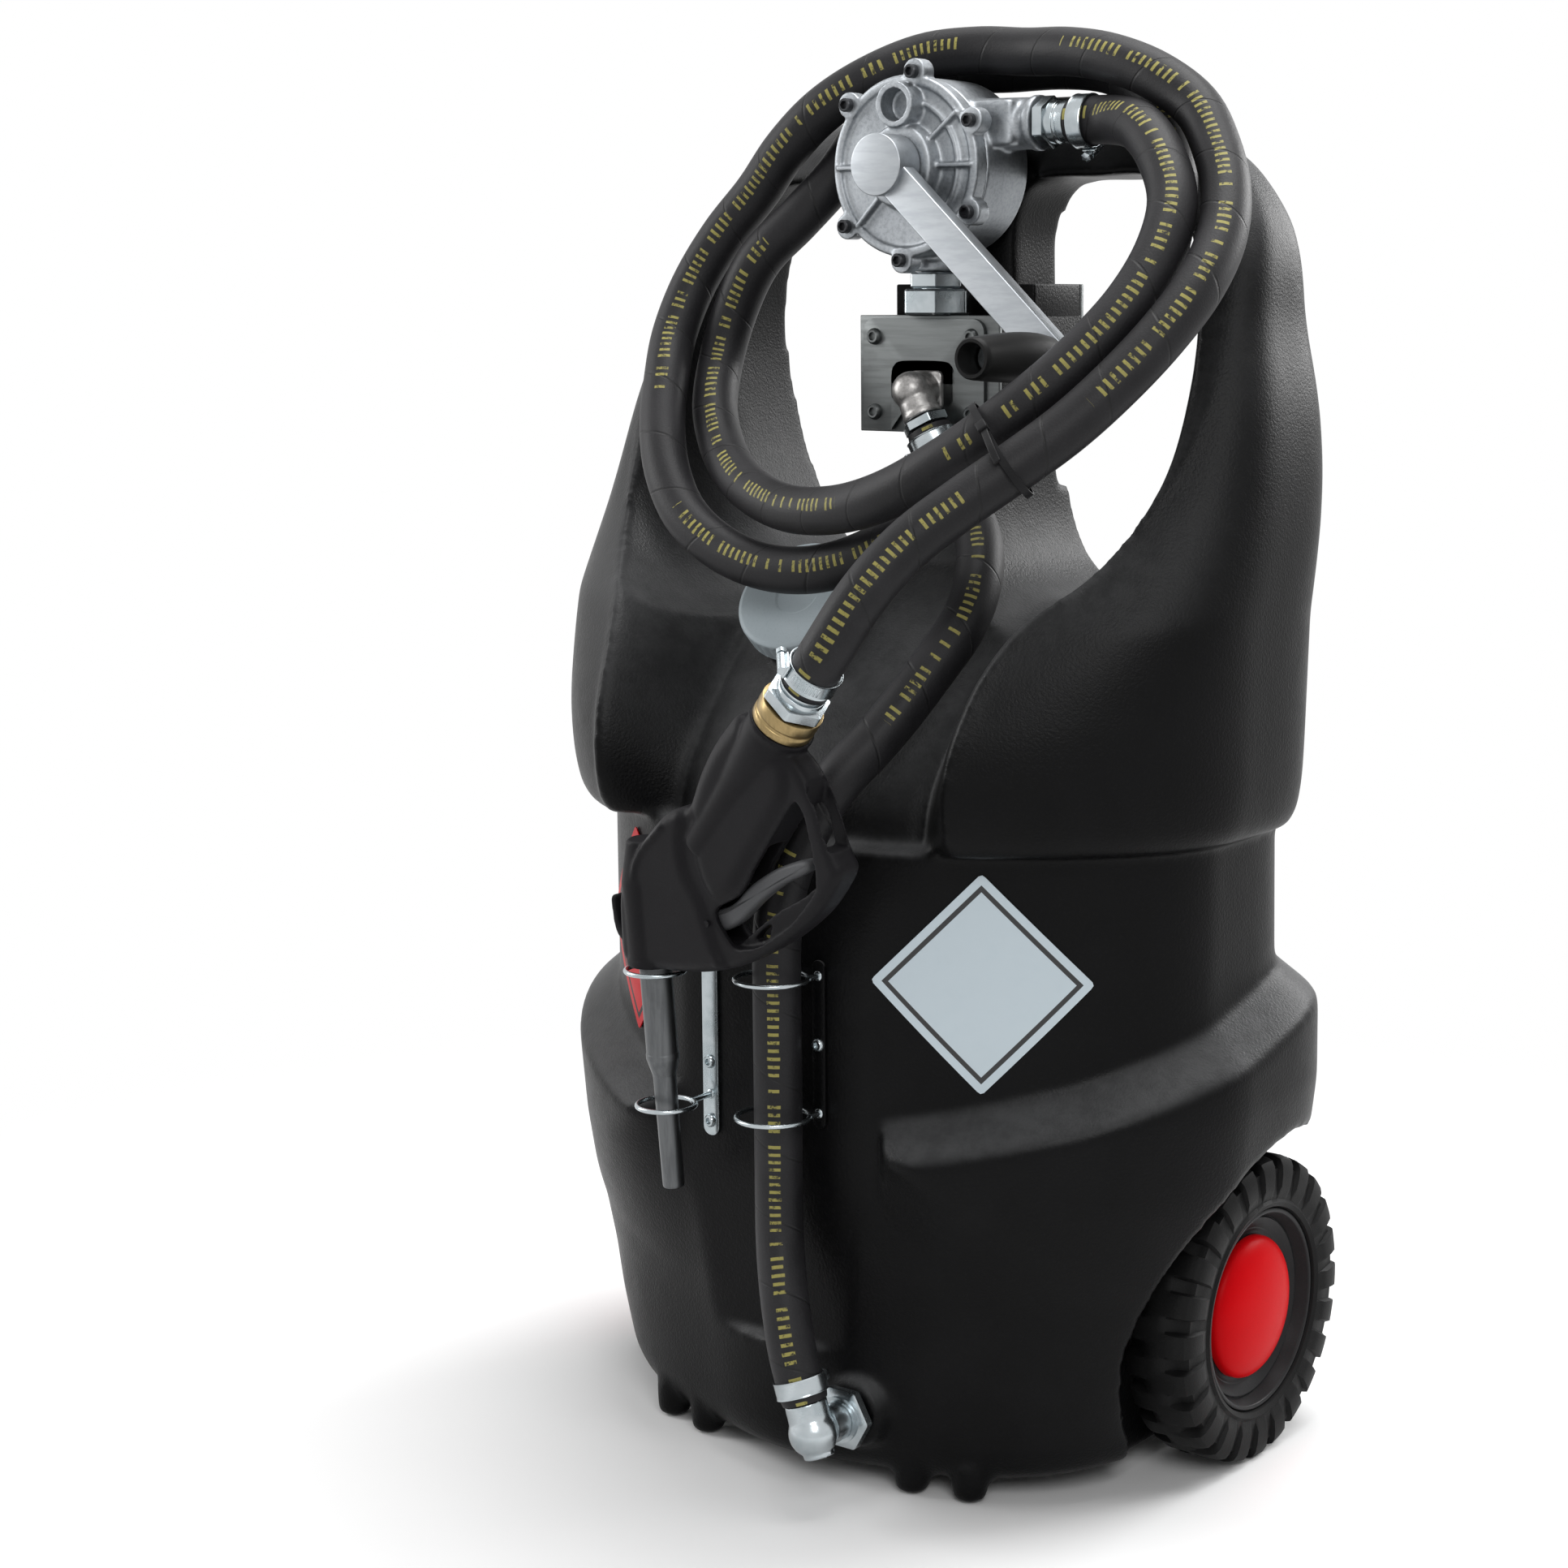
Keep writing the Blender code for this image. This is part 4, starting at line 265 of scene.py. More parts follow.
def evenly(points, count, closed=False):
    # the same line read at even spacing; a closed one repeats its first point at the end
    run = distances(points)
    want = np.linspace(0, run[-1], count, endpoint=not closed)
    return np.stack([np.interp(want, run, points[:, k]) for k in range(points.shape[1])], axis=1)


def smoothLine(points, count, closed=False):
    # a curve through the points (a cubic between each pair), read at even spacing
    pts = np.array(points, float)
    if closed:
        ext = np.vstack([pts[-1], pts, pts[0], pts[1]])
    else:
        ext = np.vstack([2 * pts[0] - pts[1], pts, 2 * pts[-1] - pts[-2]])
    t = np.linspace(0, 1, 24, endpoint=False)[None, :, None]
    p0, p1, p2, p3 = (ext[k:len(ext) - 3 + k][:, None] for k in range(4))
    dense = 0.5 * (2 * p1 + (p2 - p0) * t + (2 * p0 - 5 * p1 + 4 * p2 - p3) * t ** 2
                   + (3 * p1 - p0 - 3 * p2 + p3) * t ** 3)
    return evenly(np.vstack([dense.reshape(-1, pts.shape[1]), ext[-2]]), count, closed)


def spun(degrees, axis="Z"):
    return Matrix.Rotation(math.radians(degrees), 4, axis)


def axisTurn(direction):
    # turns local Z to a direction
    return Vector(direction).normalized().to_track_quat("Z", "Y").to_matrix().to_4x4()


def at(x, y, z):
    return Matrix.Translation((x, y + shiftY, z))


def aimed(origin, direction, roll=0.0):
    return at(*origin) @ axisTurn(direction) @ spun(roll)


shiftY = 0.0395              # from the tank's own middle to the middle of the footprint
gap = 0.0003                 # clearance between neighbouring parts
inTank = at(0, 0, 0)         # outlines in the tank's own x and y, heights along z
toFront = spun(90, "X")
toRight = spun(90, "Y")
turnAcross = Matrix(((0, 0, 1, 0), (1, 0, 0, 0), (0, 1, 0, 0), (0, 0, 0, 1)))


# Objects

def meshOf(name, shells):
    # all shells in one mesh
    faces = []
    base = 0
    for points, faceArrays in shells:
        for rows in faceArrays:
            faces += (rows + base).tolist()
        base += len(points)
    mesh = bpy.data.meshes.new(name)
    mesh.from_pydata(np.concatenate([points for points, faceArrays in shells]).tolist(), [], faces)
    return mesh


def tidied(mesh, merge=True):
    # doubles merged, and faces turned outwards
    bm = bmesh.new()
    bm.from_mesh(mesh)
    if merge:
        bmesh.ops.remove_doubles(bm, verts=bm.verts, dist=1e-6)
    bmesh.ops.recalc_face_normals(bm, faces=bm.faces)
    bm.to_mesh(mesh)
    bm.free()
    return mesh


def coat(obj, look, sharp=35):
    # one finish, smooth shading, and sharp edges where the surface turns past an angle in degrees
    mesh = obj.data
    mesh.materials.clear()
    mesh.materials.append(finish[look])
    mesh.shade_smooth()
    if sharp is not None:
        mesh.set_sharp_from_angle(angle=math.radians(sharp))


def dress(obj, look, node, body="tank", sharp=35):
    # a piece's finish, the body it rides on, and the node it replaces
    coat(obj, look, sharp)
    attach(obj, body)
    if node:
        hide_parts(node)
    return obj


def piece(name, shells, look, node=None, body="tank", sharp=35):
    return dress(linked(name, tidied(meshOf(name, shells))), look, node, body, sharp)


def settle(obj):
    # the piece's modifiers become its mesh
    graph = bpy.context.evaluated_depsgraph_get()
    mesh = bpy.data.meshes.new_from_object(obj.evaluated_get(graph))
    obj.modifiers.clear()
    old = obj.data
    obj.data = mesh
    bpy.data.meshes.remove(old)


def melt(obj, grain):
    # one closed skin over all of the mesh, on a grid of cells
    mod = obj.modifiers.new("skin", "REMESH")
    mod.mode = "VOXEL"
    mod.voxel_size = grain
    mod.adaptivity = 0
    settle(obj)


def cornerPoints(mesh):
    # the point that each face corner stands on
    points = np.empty(len(mesh.loops), np.int32)
    mesh.loops.foreach_get("vertex_index", points)
    return points


def setUv(mesh, uv):
    mesh.uv_layers.new(name="UVMap").uv.foreach_set("vector", uv.ravel())


def tubeUv(mesh, cols, run):
    # UV of a tube: turns round the tube, and metres along it; the seam's far side counts as one turn
    points = cornerPoints(mesh)
    sizes = np.empty(len(mesh.polygons), np.int32)
    mesh.polygons.foreach_get("loop_total", sizes)
    face = np.repeat(np.arange(len(sizes)), sizes)
    rows = len(run)
    inside = points < rows * cols
    j = np.where(inside, points % cols, cols // 2)
    i = np.where(inside, points // cols, np.where(points == rows * cols, 0, rows - 1))
    wide = np.zeros(len(sizes), bool)
    np.logical_or.at(wide, face, j == cols - 1)
    setUv(mesh, np.column_stack([np.where((j == 0) & wide[face], 1.0, j / cols), run[i]]))


# Finishes: an expression on sockets adds its Math nodes

class Value:
    def __init__(self, graph, socket):
        self.graph = graph
        self.socket = socket

    def join(self, operation, other, flip=False):
        first, second = (other, self) if flip else (self, other)
        return self.graph.node("ShaderNodeMath", {"operation": operation}, {0: first, 1: second})

    def alone(self, operation):
        return self.graph.node("ShaderNodeMath", {"operation": operation}, {0: self})

    def __abs__(self):
        return self.alone("ABSOLUTE")

    def __add__(self, other):
        return self.join("ADD", other)

    def __radd__(self, other):
        return self.join("ADD", other, True)

    def __sub__(self, other):
        return self.join("SUBTRACT", other)

    def __rsub__(self, other):
        return self.join("SUBTRACT", other, True)

    def __mul__(self, other):
        return self.join("MULTIPLY", other)

    def __rmul__(self, other):
        return self.join("MULTIPLY", other, True)

    def __truediv__(self, other):
        return self.join("DIVIDE", other)

    def __gt__(self, other):
        return self.join("GREATER_THAN", other)

    def __lt__(self, other):
        return self.join("LESS_THAN", other)


class Graph:
    def __init__(self, tree):
        self.tree = tree

    def feed(self, socket, value):
        if isinstance(value, Value):
            self.tree.links.new(value.socket, socket)
        elif hasattr(socket.default_value, "__len__") and len(socket.default_value) == 4:
            socket.default_value = (*value, 1)
        else:
            socket.default_value = value

    def node(self, kind, settings=None, inputs=None, out=0):
        made = self.tree.nodes.new(kind)
        for word, value in (settings or {}).items():
            setattr(made, word, value)
        for key, value in (inputs or {}).items():
            self.feed(made.inputs[key], value)
        return Value(self, made.outputs[out])


class Paint(Graph):
    def __init__(self, name, colour, rough, metal=0.0, **sockets):
        self.mat = bpy.data.materials.new(name)
        self.mat.use_nodes = True
        self.mat.diffuse_color = (*colour, 1)
        super().__init__(self.mat.node_tree)
        self.shader = self.tree.nodes["Principled BSDF"]
        self.set("Base Color", colour)
        self.set("Roughness", rough)
        self.set("Metallic", metal)
        for word, value in sockets.items():
            self.set(word.replace("_", " "), value)

    def set(self, word, value):
        self.feed(self.shader.inputs[word], value)

    def place(self, word="Object"):
        return self.node("ShaderNodeTexCoord", out=word)

    def uv(self):
        cut = self.node("ShaderNodeSeparateXYZ", None, {0: self.place("UV")}).socket.node
        return Value(self, cut.outputs[0]), Value(self, cut.outputs[1])

    def noise(self, scale, detail=2.0, rough=0.5, stretch=None):
        where = self.place()
        if stretch:
            where = self.node("ShaderNodeMapping", None, {0: where, "Scale": stretch})
        return self.node("ShaderNodeTexNoise", None,
                         {"Vector": where, "Scale": scale, "Detail": detail, "Roughness": rough})

    def ramp(self, value, low, high):
        # from 0 to 1, smoothly, as the value goes from low to high
        return self.node("ShaderNodeMapRange", {"interpolation_type": "SMOOTHSTEP"},
                         {"Value": value, "From Min": low, "From Max": high})

    def blend(self, share, first, second):
        return self.node("ShaderNodeMix", {"data_type": "RGBA"}, {0: share, 6: first, 7: second}, 2)

    def bump(self, height, depth, strength):
        inputs = {"Height": height, "Distance": depth, "Strength": strength}
        self.set("Normal", self.node("ShaderNodeBump", None, inputs))


def mouldedPlastic(name, colour, lift, rough, grain, depth, gloss=0.10, paintedSheen=None):
    # grainy moulded plastic: fine pits, a slow unevenness, and a little scuffing in the gloss;
    # the last colour, when given, is a painted sheen: paler colour on what faces up, standing in for
    # light from above
    p = Paint(name, colour, rough, 0.0, Specular_IOR_Level=gloss)
    fine = p.noise(grain, 2.0, 0.6)
    slow = p.noise(14, 3.0, 0.55)
    scuff = p.noise(60, 4.0, 0.7)
    base = p.blend(p.ramp(slow, 0.35, 0.7) * 0.35 + p.ramp(fine, 0.5, 0.75) * 0.35, colour, lift)
    if paintedSheen:
        # painted sheen: the colour grows paler as the surface faces up, as if lit from above, made
        # uneven by the scuff noise
        up = p.node("ShaderNodeSeparateXYZ", None, {0: p.place("Normal")}, out=2)
        base = p.blend(p.ramp(up, 0.10, 1.0) * (0.70 + p.ramp(scuff, 0.3, 0.7) * 0.30), base, paintedSheen)
    p.set("Base Color", base)
    p.set("Roughness", rough + (scuff - 0.5) * 0.16 + (fine - 0.5) * 0.12)
    p.bump(fine + slow * 0.8, depth, 0.6)
    return p.mat


def castMetal(name, colour, dark, rough, grain=420, depth=0.00025):
    # sand-like skin of a casting, darker in its pits
    p = Paint(name, colour, rough, 0.9)
    fine = p.noise(grain, 3.0, 0.65)
    slow = p.noise(22, 3.0, 0.6)
    pits = p.ramp(fine, 0.62, 0.30) * 0.45 + p.ramp(slow, 0.62, 0.35) * 0.40
    p.set("Base Color", p.blend(pits, colour, dark))
    p.set("Roughness", rough + (slow - 0.5) * 0.18 + (fine - 0.5) * 0.14)
    p.bump(fine + slow * 0.5, depth, 0.6)
    return p.mat


def brushedMetal(name, colour, dark, rough, stretch, scale, depth=0.00006):
    # fine lines drawn out along one axis, and faint handling marks
    p = Paint(name, colour, rough, 1.0)
    line = p.noise(scale, 3.0, 0.6, stretch)
    mark = p.noise(34, 4.0, 0.65)
    worn = p.ramp(line, 0.35, 0.68) * 0.5 + p.ramp(mark, 0.55, 0.75) * 0.3
    p.set("Base Color", p.blend(worn, colour, dark))
    p.set("Roughness", rough + (line - 0.5) * 0.20 + (mark - 0.5) * 0.12)
    p.bump(line, depth, 0.5)
    return p.mat


def platedMetal(name, colour, tint, rough, metal=1.0):
    # plated metal: patches of a second tint and a fine rolled grain
    p = Paint(name, colour, rough, metal)
    patch = p.noise(46, 3.0, 0.6)
    fine = p.noise(900, 2.0, 0.5)
    p.set("Base Color", p.blend(p.ramp(patch, 0.40, 0.68) * 0.6, colour, tint))
    p.set("Roughness", rough + (patch - 0.5) * 0.22 + (fine - 0.5) * 0.08)
    p.bump(fine, 0.00008, 0.4)
    return p.mat


def hoseFinish(name):
    # black cover with the spiral of its wrapping, chalk in the wrap, and a broken yellow line
    look = {"colour": (0.010, 0.0097, 0.0108), "chalk": (0.027, 0.0262, 0.0285),
            "groove": (0.008, 0.008, 0.008), "line": (0.38, 0.34, 0.10), "wrapPitch": 0.047,
            "barPitch": 0.0052, "barSkip": 0.16, "lineAt": 0.50, "lineWide": 0.036,
            "runPitch": 0.46, "runShare": 0.80}
    p = Paint(name, look["colour"], 0.52, 0.0, Specular_IOR_Level=0.22)
    around, along = p.uv()
    saw = (along / look["wrapPitch"] + around).alone("FRACT")
    wrap = p.ramp(saw, 0.0, 0.035) * p.ramp(saw, 1.0, 0.975)
    fine = p.noise(700, 2.0, 0.6)
    slow = p.noise(18, 3.0, 0.6)
    dusty = p.ramp(slow, 0.35, 0.75) * 0.6 + p.ramp(fine, 0.45, 0.8) * 0.3
    base = p.blend((1 - wrap) * 0.65, p.blend(dusty, look["colour"], look["chalk"]), look["groove"])
    bar = along / look["barPitch"]
    dash = bar.alone("FRACT")
    draw = p.node("ShaderNodeTexWhiteNoise", {"noise_dimensions": "1D"}, {"W": bar.alone("FLOOR")})
    inDash = p.ramp(dash, 0.04, 0.09) * p.ramp(dash, 0.50, 0.45) * (draw > look["barSkip"])
    inRun = (along / look["runPitch"]).alone("FRACT") < look["runShare"]
    off = abs(around - look["lineAt"])
    worn = p.ramp(p.noise(260, 3.0, 0.7), 0.34, 0.50)
    width = p.ramp(off - draw * 0.012, look["lineWide"], look["lineWide"] - 0.005)
    p.set("Base Color", p.blend(width * (inDash * inRun) * worn * 0.9, base, look["line"]))
    p.set("Roughness", 0.50 + (slow - 0.5) * 0.2 + (fine - 0.5) * 0.14)
    p.bump(fine * 0.4 + slow * 0.5 + wrap * 0.8, 0.0005, 0.7)
    return p.mat


def labelFinish(name, face, border, edge, coatShare=0.25):
    # a bare printed diamond: face, thin border line, plain margin; UV runs 0 to 1 across the square
    p = Paint(name, face, 0.38, 0.0, Coat_Weight=coatShare, Coat_Roughness=0.2,
              Specular_IOR_Level=coatShare * 2)
    u, v = p.uv()
    reach = abs(u - 0.5).join("MAXIMUM", abs(v - 0.5))
    line = p.ramp(reach, 0.416, 0.419) * p.ramp(reach, 0.450, 0.447)
    dust = p.noise(90, 4.0, 0.6)
    tone = p.blend(p.ramp(dust, 0.45, 0.8) * 0.18, face, edge)
    p.set("Base Color", p.blend(line, tone, border))
    p.set("Roughness", 0.36 + (dust - 0.5) * 0.2)
    p.bump(p.noise(500, 2.0, 0.5), 0.00004, 0.3)
    return p.mat


# name: colour, lift, roughness, grain, depth of the grain
moulded = {
    # tankBlack also gives its gloss and a painted sheen colour for what faces up, standing in for light
    # from above
    "tankBlack": ((0.0016, 0.0016, 0.0018), (0.0060, 0.0060, 0.0066), 0.38, 560, 0.00055,
                  0.10, (0.084, 0.085, 0.087)),
    "nozzleGrey": ((0.0085, 0.0080, 0.0092), (0.018, 0.0175, 0.0195), 0.47, 1300, 0.00016),
    "leverGrey": ((0.105, 0.107, 0.112), (0.15, 0.152, 0.158), 0.40, 1100, 0.00012),
    "gripBlack": ((0.012, 0.012, 0.012), (0.024, 0.024, 0.025), 0.42, 1500, 0.00010),
    "tyreBlack": ((0.0045, 0.0045, 0.0047), (0.014, 0.014, 0.014), 0.50, 800, 0.00020),
    "rimBlack": ((0.015, 0.015, 0.016), (0.030, 0.030, 0.031), 0.38, 900, 0.00012),
    "capRed": ((0.62, 0.003, 0.006), (0.52, 0.002, 0.005), 0.36, 700, 0.00004, 0.04),
    "capPale": ((0.44, 0.50, 0.53), (0.34, 0.40, 0.43), 0.36, 700, 0.00010),
    "vaneBlack": ((0.012, 0.012, 0.013), (0.03, 0.03, 0.03), 0.35, 900, 0.00005),
    "tieBlack": ((0.014, 0.014, 0.015), (0.03, 0.03, 0.03), 0.40, 1200, 0.00006)}
# name: colour, second tint, roughness
plated = {
    "zincPlate": ((0.46, 0.50, 0.52), (0.30, 0.35, 0.37), 0.24),
    "bushBrass": ((0.55, 0.42, 0.20), (0.40, 0.30, 0.14), 0.35),
    "steelBright": ((0.56, 0.56, 0.55), (0.40, 0.40, 0.40), 0.26),
    "screwBlack": ((0.040, 0.042, 0.046), (0.02, 0.02, 0.022), 0.36, 0.7)}
# name: colour, dark, roughness, stretch of the lines, scale
brushed = {
    "armSatin": ((0.38, 0.40, 0.42), (0.28, 0.30, 0.32), 0.42, (0.18, 1, 1), 240),
    "spoutSatin": ((0.125, 0.13, 0.134), (0.075, 0.078, 0.082), 0.40, (1, 1, 0.08), 380),
    "plateSteel": ((0.14, 0.148, 0.148), (0.095, 0.10, 0.10), 0.42, (0.07, 1, 1), 300),
    "tanRing": ((0.34, 0.25, 0.12), (0.20, 0.15, 0.07), 0.34, (1, 1, 0.2), 420)}
cast = {
    "castGrey": ((0.36, 0.38, 0.40), (0.20, 0.215, 0.23), 0.46),
    "elbowGrey": ((0.38, 0.37, 0.36), (0.20, 0.195, 0.19), 0.38, 520)}
printed = {
    "labelPale": ((0.66, 0.76, 0.82), (0.006, 0.006, 0.007), (0.56, 0.67, 0.73)),
    "labelRed": ((0.56, 0.004, 0.010), (0.010, 0.009, 0.009), (0.42, 0.004, 0.009), 0.04)}
finish = {"hoseRubber": hoseFinish("hoseRubber")}
for make, table in ((mouldedPlastic, moulded), (platedMetal, plated), (brushedMetal, brushed),
                    (castMetal, cast), (labelFinish, printed)):
    for name, values in table.items():
        finish[name] = make(name, *values)
print("finishes made:", len(finish))


# Pump's own places, which the delivery hose starts from
pump = {"height": 0.8525, "coverFront": -0.003, "coverRadius": 0.0585, "coverThick": 0.009,
        "depth": 0.060, "chamber": 0.046, "port": 0.0165, "outletRise": 0.0265, "chamberDrop": 0.006,
        "backWall": 0.007, "hubRise": 0.011, "gasket": 0.001}
coverBack = pump["coverFront"] + pump["coverThick"]
bodyFront = coverBack + gap * 2 + pump["gasket"]
bodyBack = pump["coverFront"] + pump["depth"]
bodyRadius = pump["coverRadius"] * 0.985
portY = bodyFront + (bodyBack - bodyFront) * 0.48
portEnd = pump["coverRadius"] * 1.44
outletHex = {"low": portEnd + gap, "long": 0.018, "flats": 0.030}
deliveryStart = Vector((outletHex["low"] + outletHex["long"] * 1.25 + gap, portY,
                        pump["height"] + pump["outletRise"]))

# Nozzle's own places, which the delivery hose ends at
nozzle = {"x": -0.0608, "y": -0.193, "z": 0.347, "lean": 5.0, "yaw": 5.0, "wide": 0.203, "tall": 0.185,
          "thick": 0.030, "neck": 0.0195, "guardEdge": 0.0063, "headEdge": 0.0085, "barrelEdge": 0.0125,
          "ring": 0.016, "adaptor": 0.016, "web": 0.004, "slotHalf": 0.0092}
nozzlePlace = (at(nozzle["x"], nozzle["y"], nozzle["z"]) @ spun(-nozzle["yaw"])
               @ spun(90 + nozzle["lean"], "X"))


def inNozzle(u, v):
    # shares of the nozzle's width and height
    return Vector((u * nozzle["wide"], v * nozzle["tall"], 0))


def localAxis(origin, direction):
    return nozzlePlace @ Matrix.Translation(origin) @ axisTurn(direction)


neckTurn = Vector((0.653, 0.757, 0))
neckEnd = inNozzle(0.656, 0.938) - neckTurn * 0.25 * nozzle["neck"]
neckAxis = localAxis(neckEnd, neckTurn)
neckLength = (neckEnd - inNozzle(0.30, 0.44)).length
adaptorLow = nozzle["ring"] + gap
deliveryEnd = neckAxis @ Vector((0, 0, adaptorLow + nozzle["adaptor"] + gap))
deliveryEnd.y -= shiftY
deliveryEndTurn = (neckAxis.to_3x3() @ Vector((0, 0, 1))).normalized()

# The two hoses, on the routes of the model
hose = {"radius": 0.0155, "sides": 28, "rows": 460, "suctionRows": 150, "points": 76,
        "suctionPoints": 30, "lineFaces": (0.45, -0.80, 0.25)}
deliveryRoute = [
    (0.167, 0.014, 0.874), (0.194, -0.004, 0.856), (0.215, -0.022, 0.832), (0.224, -0.043, 0.804),
    (0.220, -0.072, 0.768), (0.200, -0.101, 0.732), (0.165, -0.126, 0.696), (0.120, -0.136, 0.666),
    (0.070, -0.130, 0.645), (0.018, -0.115, 0.635), (-0.033, -0.096, 0.635), (-0.082, -0.074, 0.647),
    (-0.120, -0.050, 0.668), (-0.147, -0.026, 0.697), (-0.158, -0.005, 0.727), (-0.150, 0.003, 0.763),
    (-0.127, 0.008, 0.801), (-0.092, 0.025, 0.836), (-0.071, 0.048, 0.879), (-0.038, 0.076, 0.913),
    (0.015, 0.089, 0.919), (0.070, 0.088, 0.919), (0.122, 0.077, 0.909), (0.160, 0.058, 0.881),
    (0.184, 0.030, 0.837), (0.195, -0.002, 0.790), (0.187, -0.032, 0.747), (0.161, -0.055, 0.707),
    (0.123, -0.073, 0.669), (0.081, -0.084, 0.635), (0.035, -0.092, 0.607), (-0.017, -0.098, 0.594),
    (-0.071, -0.098, 0.601), (-0.119, -0.092, 0.627), (-0.152, -0.074, 0.667), (-0.174, -0.045, 0.712),
    (-0.187, -0.015, 0.755), (-0.172, 0.003, 0.800), (-0.140, 0.014, 0.840), (-0.101, 0.014, 0.880),
    (-0.058, 0.024, 0.909), (-0.010, 0.050, 0.929), (0.043, 0.056, 0.927), (0.097, 0.047, 0.924),
    (0.148, 0.037, 0.913), (0.195, 0.032, 0.889), (0.230, 0.010, 0.850), (0.252, -0.022, 0.810),
    (0.255, -0.059, 0.771), (0.239, -0.094, 0.732), (0.212, -0.124, 0.695), (0.179, -0.156, 0.662),
    (0.146, -0.189, 0.630), (0.124, -0.216, 0.594)]
elbowDown = Vector((0.486, 0, -0.874)).normalized()
elbowBend = Vector((0.0015, 0, 0.7068))
fitting = {"radius": 0.0125, "ball": 0.0160, "nut": 0.008, "upright": 0.020}
elbowLong = fitting["radius"] * 1.6
nutLow = elbowLong + gap
suctionEnd = elbowBend + elbowDown * (nutLow + fitting["nut"] + gap)
lowerBall = Vector((0.061, -0.187, 0.057))
lowerTurn = Vector((-0.316, 0, 0.949)).normalized()
suctionStart = lowerBall + lowerTurn * (fitting["upright"] + gap)
suctionRoute = [
    (0.034, -0.1815, 0.138), (0.0225, -0.1715, 0.172), (0.018, -0.1665, 0.212), (0.018, -0.1665, 0.253),
    (0.018, -0.1665, 0.298), (0.018, -0.1665, 0.343), (0.022, -0.170, 0.378), (0.031, -0.173, 0.409),
    (0.043, -0.171, 0.436), (0.059, -0.161, 0.468), (0.076, -0.132, 0.500), (0.089, -0.101, 0.535),
    (0.095, -0.068, 0.568), (0.083, -0.036, 0.600), (0.058, -0.010, 0.624)]


def hosePoints(start, startTurn, route, end, endTurn, count):
    # leaves and arrives straight for one diameter, on a smooth curve between
    lead = hose["radius"] * 2
    between = [start + startTurn * lead] + [Vector(q) for q in route] + [end + endTurn * lead]
    points = np.vstack([start, smoothLine(between, count - 2), end])
    points[:, 1] += shiftY
    return points


def hosePiece(name, points, rows, node):
    # the tube's ends are drawn in slightly, as a cut hose is
    line = smoothLine(points, rows)
    run = distances(line)
    radius = np.full(rows, hose["radius"])
    radius[0] = radius[-1] = hose["radius"] * 0.94
    obj = linked(name, meshOf(name, [tube(line, radius, hose["sides"], facing=hose["lineFaces"])]))
    tubeUv(obj.data, hose["sides"], run)
    print(name, "length:", round(float(run[-1]), 3), "m")
    return dress(obj, "hoseRubber", node, sharp=50)


outletTurn = Vector((1, 0, 0))
deliveryPoints = hosePoints(deliveryStart, outletTurn, deliveryRoute, deliveryEnd, deliveryEndTurn,
                            hose["points"])
deliveryHose = hosePiece("deliveryHose", deliveryPoints, hose["rows"], "delivery_hose")
suctionPoints = hosePoints(suctionStart, lowerTurn, suctionRoute, suctionEnd, elbowDown,
                           hose["suctionPoints"])
hosePiece("suctionHose", suctionPoints, hose["suctionRows"], "suction_hose")

# Worm-drive clamps
clamp = {"wide": 0.011, "thick": 0.0010, "start": 0.005, "room": gap * 2, "edge": 0.0004,
         "screwFlats": 0.0062, "threads": 9, "firstThread": 38, "threadPitch": 7.5}


def clampPiece(word, origin, direction, roll):
    # a rolled band with turned-up edges, its worm housing, and the hexagon screw in it
    place = aimed(origin, direction, roll)
    wide = clamp["wide"]
    lo, hi = clamp["start"], clamp["start"] + wide
    bore = hose["radius"] + clamp["room"]
    out = bore + clamp["thick"]
    edge = out + clamp["edge"]
    band = [(bore, lo), (edge, lo), (out, lo + 0.001), (out, hi - 0.001), (edge, hi), (bore, hi),
            (bore, lo)]
    low = out - clamp["thick"] * 0.6
    screwPlace = place @ Matrix.Translation((low + wide * 0.3, -wide * 0.65, lo + wide / 2)) @ toFront
    worm = [(wide * 0.30, -wide * 1.25), (wide * 0.30, -wide * 0.02)]
    shells = [turned(rounded(band, 0.0002, 2), place, 72),
              block((low, -wide * 0.65, lo + 0.0006), (low + wide * 0.20, wide * 0.65, hi - 0.0006),
                    0.0006, 0.0012, place),
              turned(rounded(worm, 0.0004), screwPlace, 32),
              turned([(wide * 0.20, -wide * 0.05), (wide * 0.20, wide * 0.12)], screwPlace, 24),
              hexNut(clamp["screwFlats"], wide * 0.08, wide * 0.45, screwPlace, 0.0005)]
    for k in range(clamp["threads"]):      # threads pressed through the band beside the housing
        turn = place @ spun(clamp["firstThread"] + k * clamp["threadPitch"])
        shells.append(block((out - 0.0003, -0.0006, lo + 0.0024), (out + 0.0003, 0.0006, hi - 0.0024),
                            0.0001, 0.0005, turn))
    piece("hoseClamp_" + word, shells, "zincPlate", "hose_clamp_" + word)


clampPiece("pump", deliveryStart, outletTurn, -60)
clampPiece("nozzle", deliveryEnd, deliveryEndTurn, 150)
clampPiece("outlet", suctionStart, lowerTurn, 200)
clampPiece("bracket", suctionEnd, elbowDown, 290)

